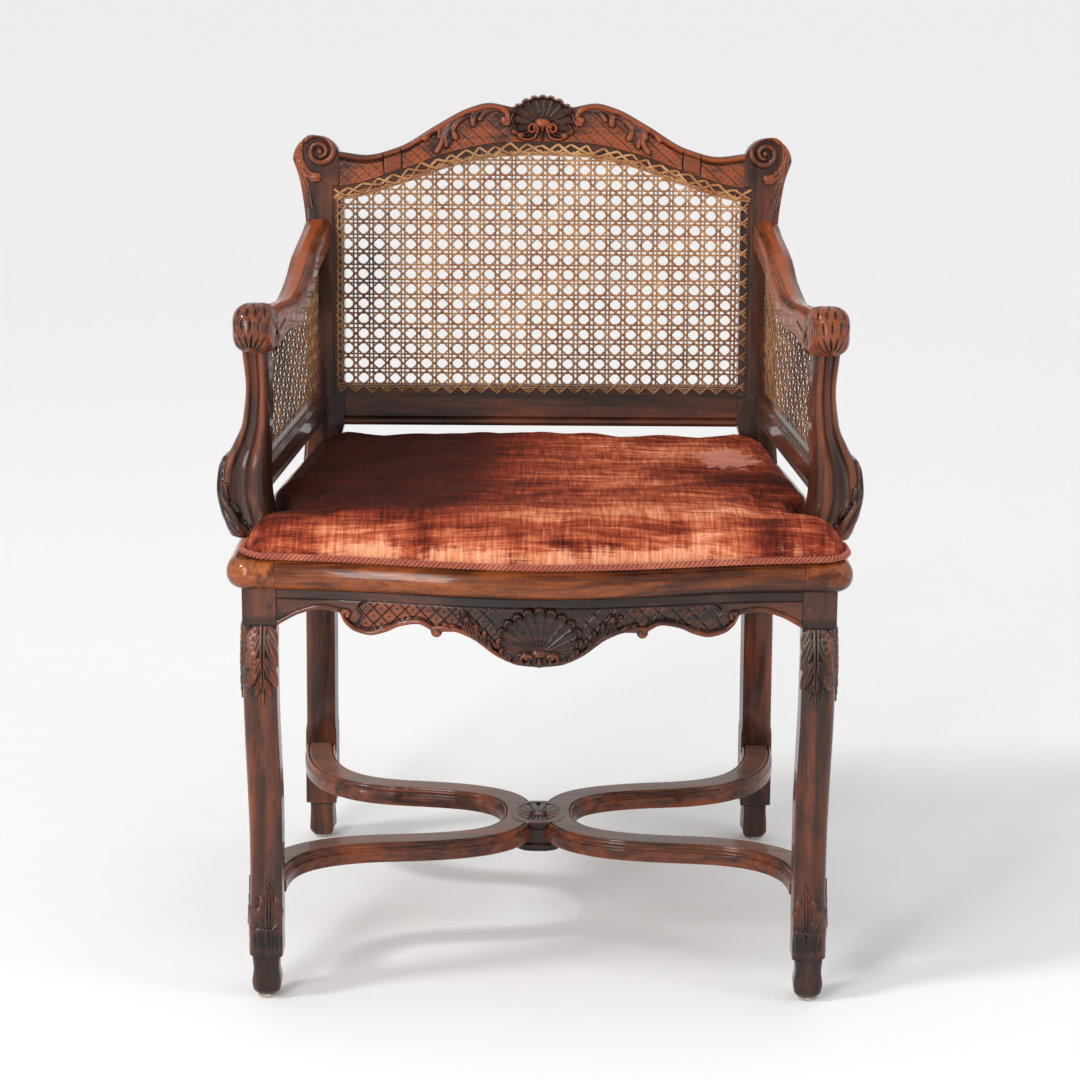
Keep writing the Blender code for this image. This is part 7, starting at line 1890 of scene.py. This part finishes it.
def cushion_cord():
    """Three plies twisted round the seam, with painted shade in the creases between them."""
    line = cushion_seam()
    count = len(line)
    turns = round(count * CORD_STEP / CORD_TURN)
    outward = at_height(outward_of(line, 2), 0.0)
    middle = at_height(line, seam_height(line[:, 0], line[:, 1]))
    turn = 2 * np.pi * np.arange(PLY_SIDES) / PLY_SIDES
    ring = np.cos(turn)[None, :, None] * outward[:, None] + np.sin(turn)[None, :, None] * Z_AXIS
    points, faces, painted_crease_shade = [], [], []
    for ply in range(PLIES):
        angle = 2 * np.pi * (turns * np.arange(count) / count + ply / PLIES)
        radial = np.cos(angle)[:, None] * outward + np.sin(angle)[:, None] * Z_AXIS
        centre = middle + radial * CORD_RADIUS * PLY_OFF
        skin = centre[:, None] + ring * CORD_RADIUS * PLY_RADIUS
        apart = np.linalg.norm(skin - middle[:, None], axis=-1) / CORD_RADIUS
        # Painted shade in the creases between the plies
        painted_crease_shade.append(0.85 * (1 - ramp(apart, 0.62, 0.88)).ravel())
        points.append(skin.reshape(-1, 3))
        index = np.arange(count * PLY_SIDES).reshape(count, PLY_SIDES) + ply * count * PLY_SIDES
        faces += net_quads(np.concatenate((index, index[:1]))).tolist()
    mesh = smooth_mesh("cushion_cord_twisted", np.concatenate(points), faces)
    set_value(mesh, "painted_crease_shade", np.concatenate(painted_crease_shade))
    add_piece("cushion_cord_twisted", mesh, PIPING, ["cushion_cord"], "cushion")


# Members kept from the CAD model, each with the axis of its grain

KEPT_EDGE = 0.0008
KEPT = {
    "apron_back": 0, "apron_left": 1, "apron_right": 1, "back_lower_rail": 0, "seat_rail_back": 0,
    "side_lower_rail_left": 1, "side_lower_rail_right": 1,
}


def dress_kept_nodes():
    for name, node_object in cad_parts.items():
        if node_object.hide_render:
            continue
        material = GLIDE if name.startswith("glide") else WALNUT[KEPT.get(name, 1)]
        node_object.data.materials.clear()
        node_object.data.materials.append(material)
        if name in KEPT:
            eased = node_object.modifiers.new("eased", "BEVEL")
            eased.width, eased.segments, eased.limit_method = KEPT_EDGE, 2, "ANGLE"
            eased.angle_limit = math.radians(35)
            eased.use_clamp_overlap = True


# Stage

CAMERA_PLACE = (0.0, -2.9179, 1.15543)
CAMERA_PITCH, CAMERA_ROLL = 14.0, 0.35
CAMERA_LENS, SENSOR = 93.33, 36.0
FLOOR_REACH = 150.0
SKY_STRENGTH = 0.688
LAMP_TARGET = (0, 0, 0.5)


def camera():
    data = bpy.data.cameras.new("camera")
    data.lens, data.sensor_width, data.sensor_height = CAMERA_LENS, SENSOR, SENSOR
    data.sensor_fit = "HORIZONTAL"
    view = linked("camera", data)
    view.location = CAMERA_PLACE
    pitch = Matrix.Rotation(math.radians(90 - CAMERA_PITCH), 4, "X")
    roll = Matrix.Rotation(math.radians(CAMERA_ROLL), 4, "Z")
    view.rotation_euler = (pitch @ roll).to_euler()
    bpy.context.scene.camera = view


def lamp(name, kind, energy, place, target, **settings):
    data = bpy.data.lights.new(name, kind)
    data.energy = energy
    for key, value in settings.items():
        setattr(data, key, value)
    light = linked(name, data)
    light.location = place
    light.rotation_euler = (Vector(target) - Vector(place)).to_track_quat("-Z", "Y").to_euler()


def floor():
    mesh = bpy.data.meshes.new("floor")
    corners = [(x * FLOOR_REACH, y * FLOOR_REACH, 0) for x, y in ((-1, -1), (1, -1), (1, 1), (-1, 1))]
    mesh.from_pydata(corners, [], [(0, 1, 2, 3)])
    ground = linked("floor", mesh)
    material, tree, shader = new_material("floor")
    grit = noise(tree, (1, 1, 1), 30.0, 3.0, 0.5)
    paper = blend(tree, spread_of(tree, grit, 0.3, 0.7), (0.925, 0.925, 0.923, 1), (0.932, 0.932, 0.928, 1))
    complete(tree, shader, paper, 0.9, constants={"Specular IOR Level": 0.1})
    mesh.materials.append(material)


def lights():
    world = bpy.data.worlds.new("studio")
    bpy.context.scene.world = world
    world.use_nodes = True
    back = world.node_tree.nodes["Background"]
    back.inputs["Color"].default_value = (1.0, 1.0, 1.0, 1)
    back.inputs["Strength"].default_value = SKY_STRENGTH
    lamp("key", "SUN", 0.92, (-2.31, -0.94, 3.0), (0, 0, 0), angle=math.radians(9))
    for name, energy, place, wide, high in (
        ("front", 20.0, (-1.6, -2.4, 2.2), 0.8, 1.2), ("strip", 24.0, (-1.3, -2.6, 1.1), 0.5, 1.6),
        ("right", 8.0, (2.2, -1.0, 1.8), 0.5, 1.8),
    ):
        lamp(name, "AREA", energy, place, LAMP_TARGET, shape="RECTANGLE", size=wide, size_y=high)


def main():
    bpy.context.scene.view_settings.view_transform = "Standard"
    camera()
    seat_rails()
    crest()
    apron()
    stretcher_hub()
    for name, side in SIDES.items():
        front_leg(name, side)
        back_stile(name, side)
        arm(name, side)
        arm_post(name, side)
        side_cane(name, side)
        stretcher(name, side)
    back_cane()
    seat_cane()
    cushion()
    cushion_cord()
    dress_kept_nodes()
    floor()
    lights()


main()
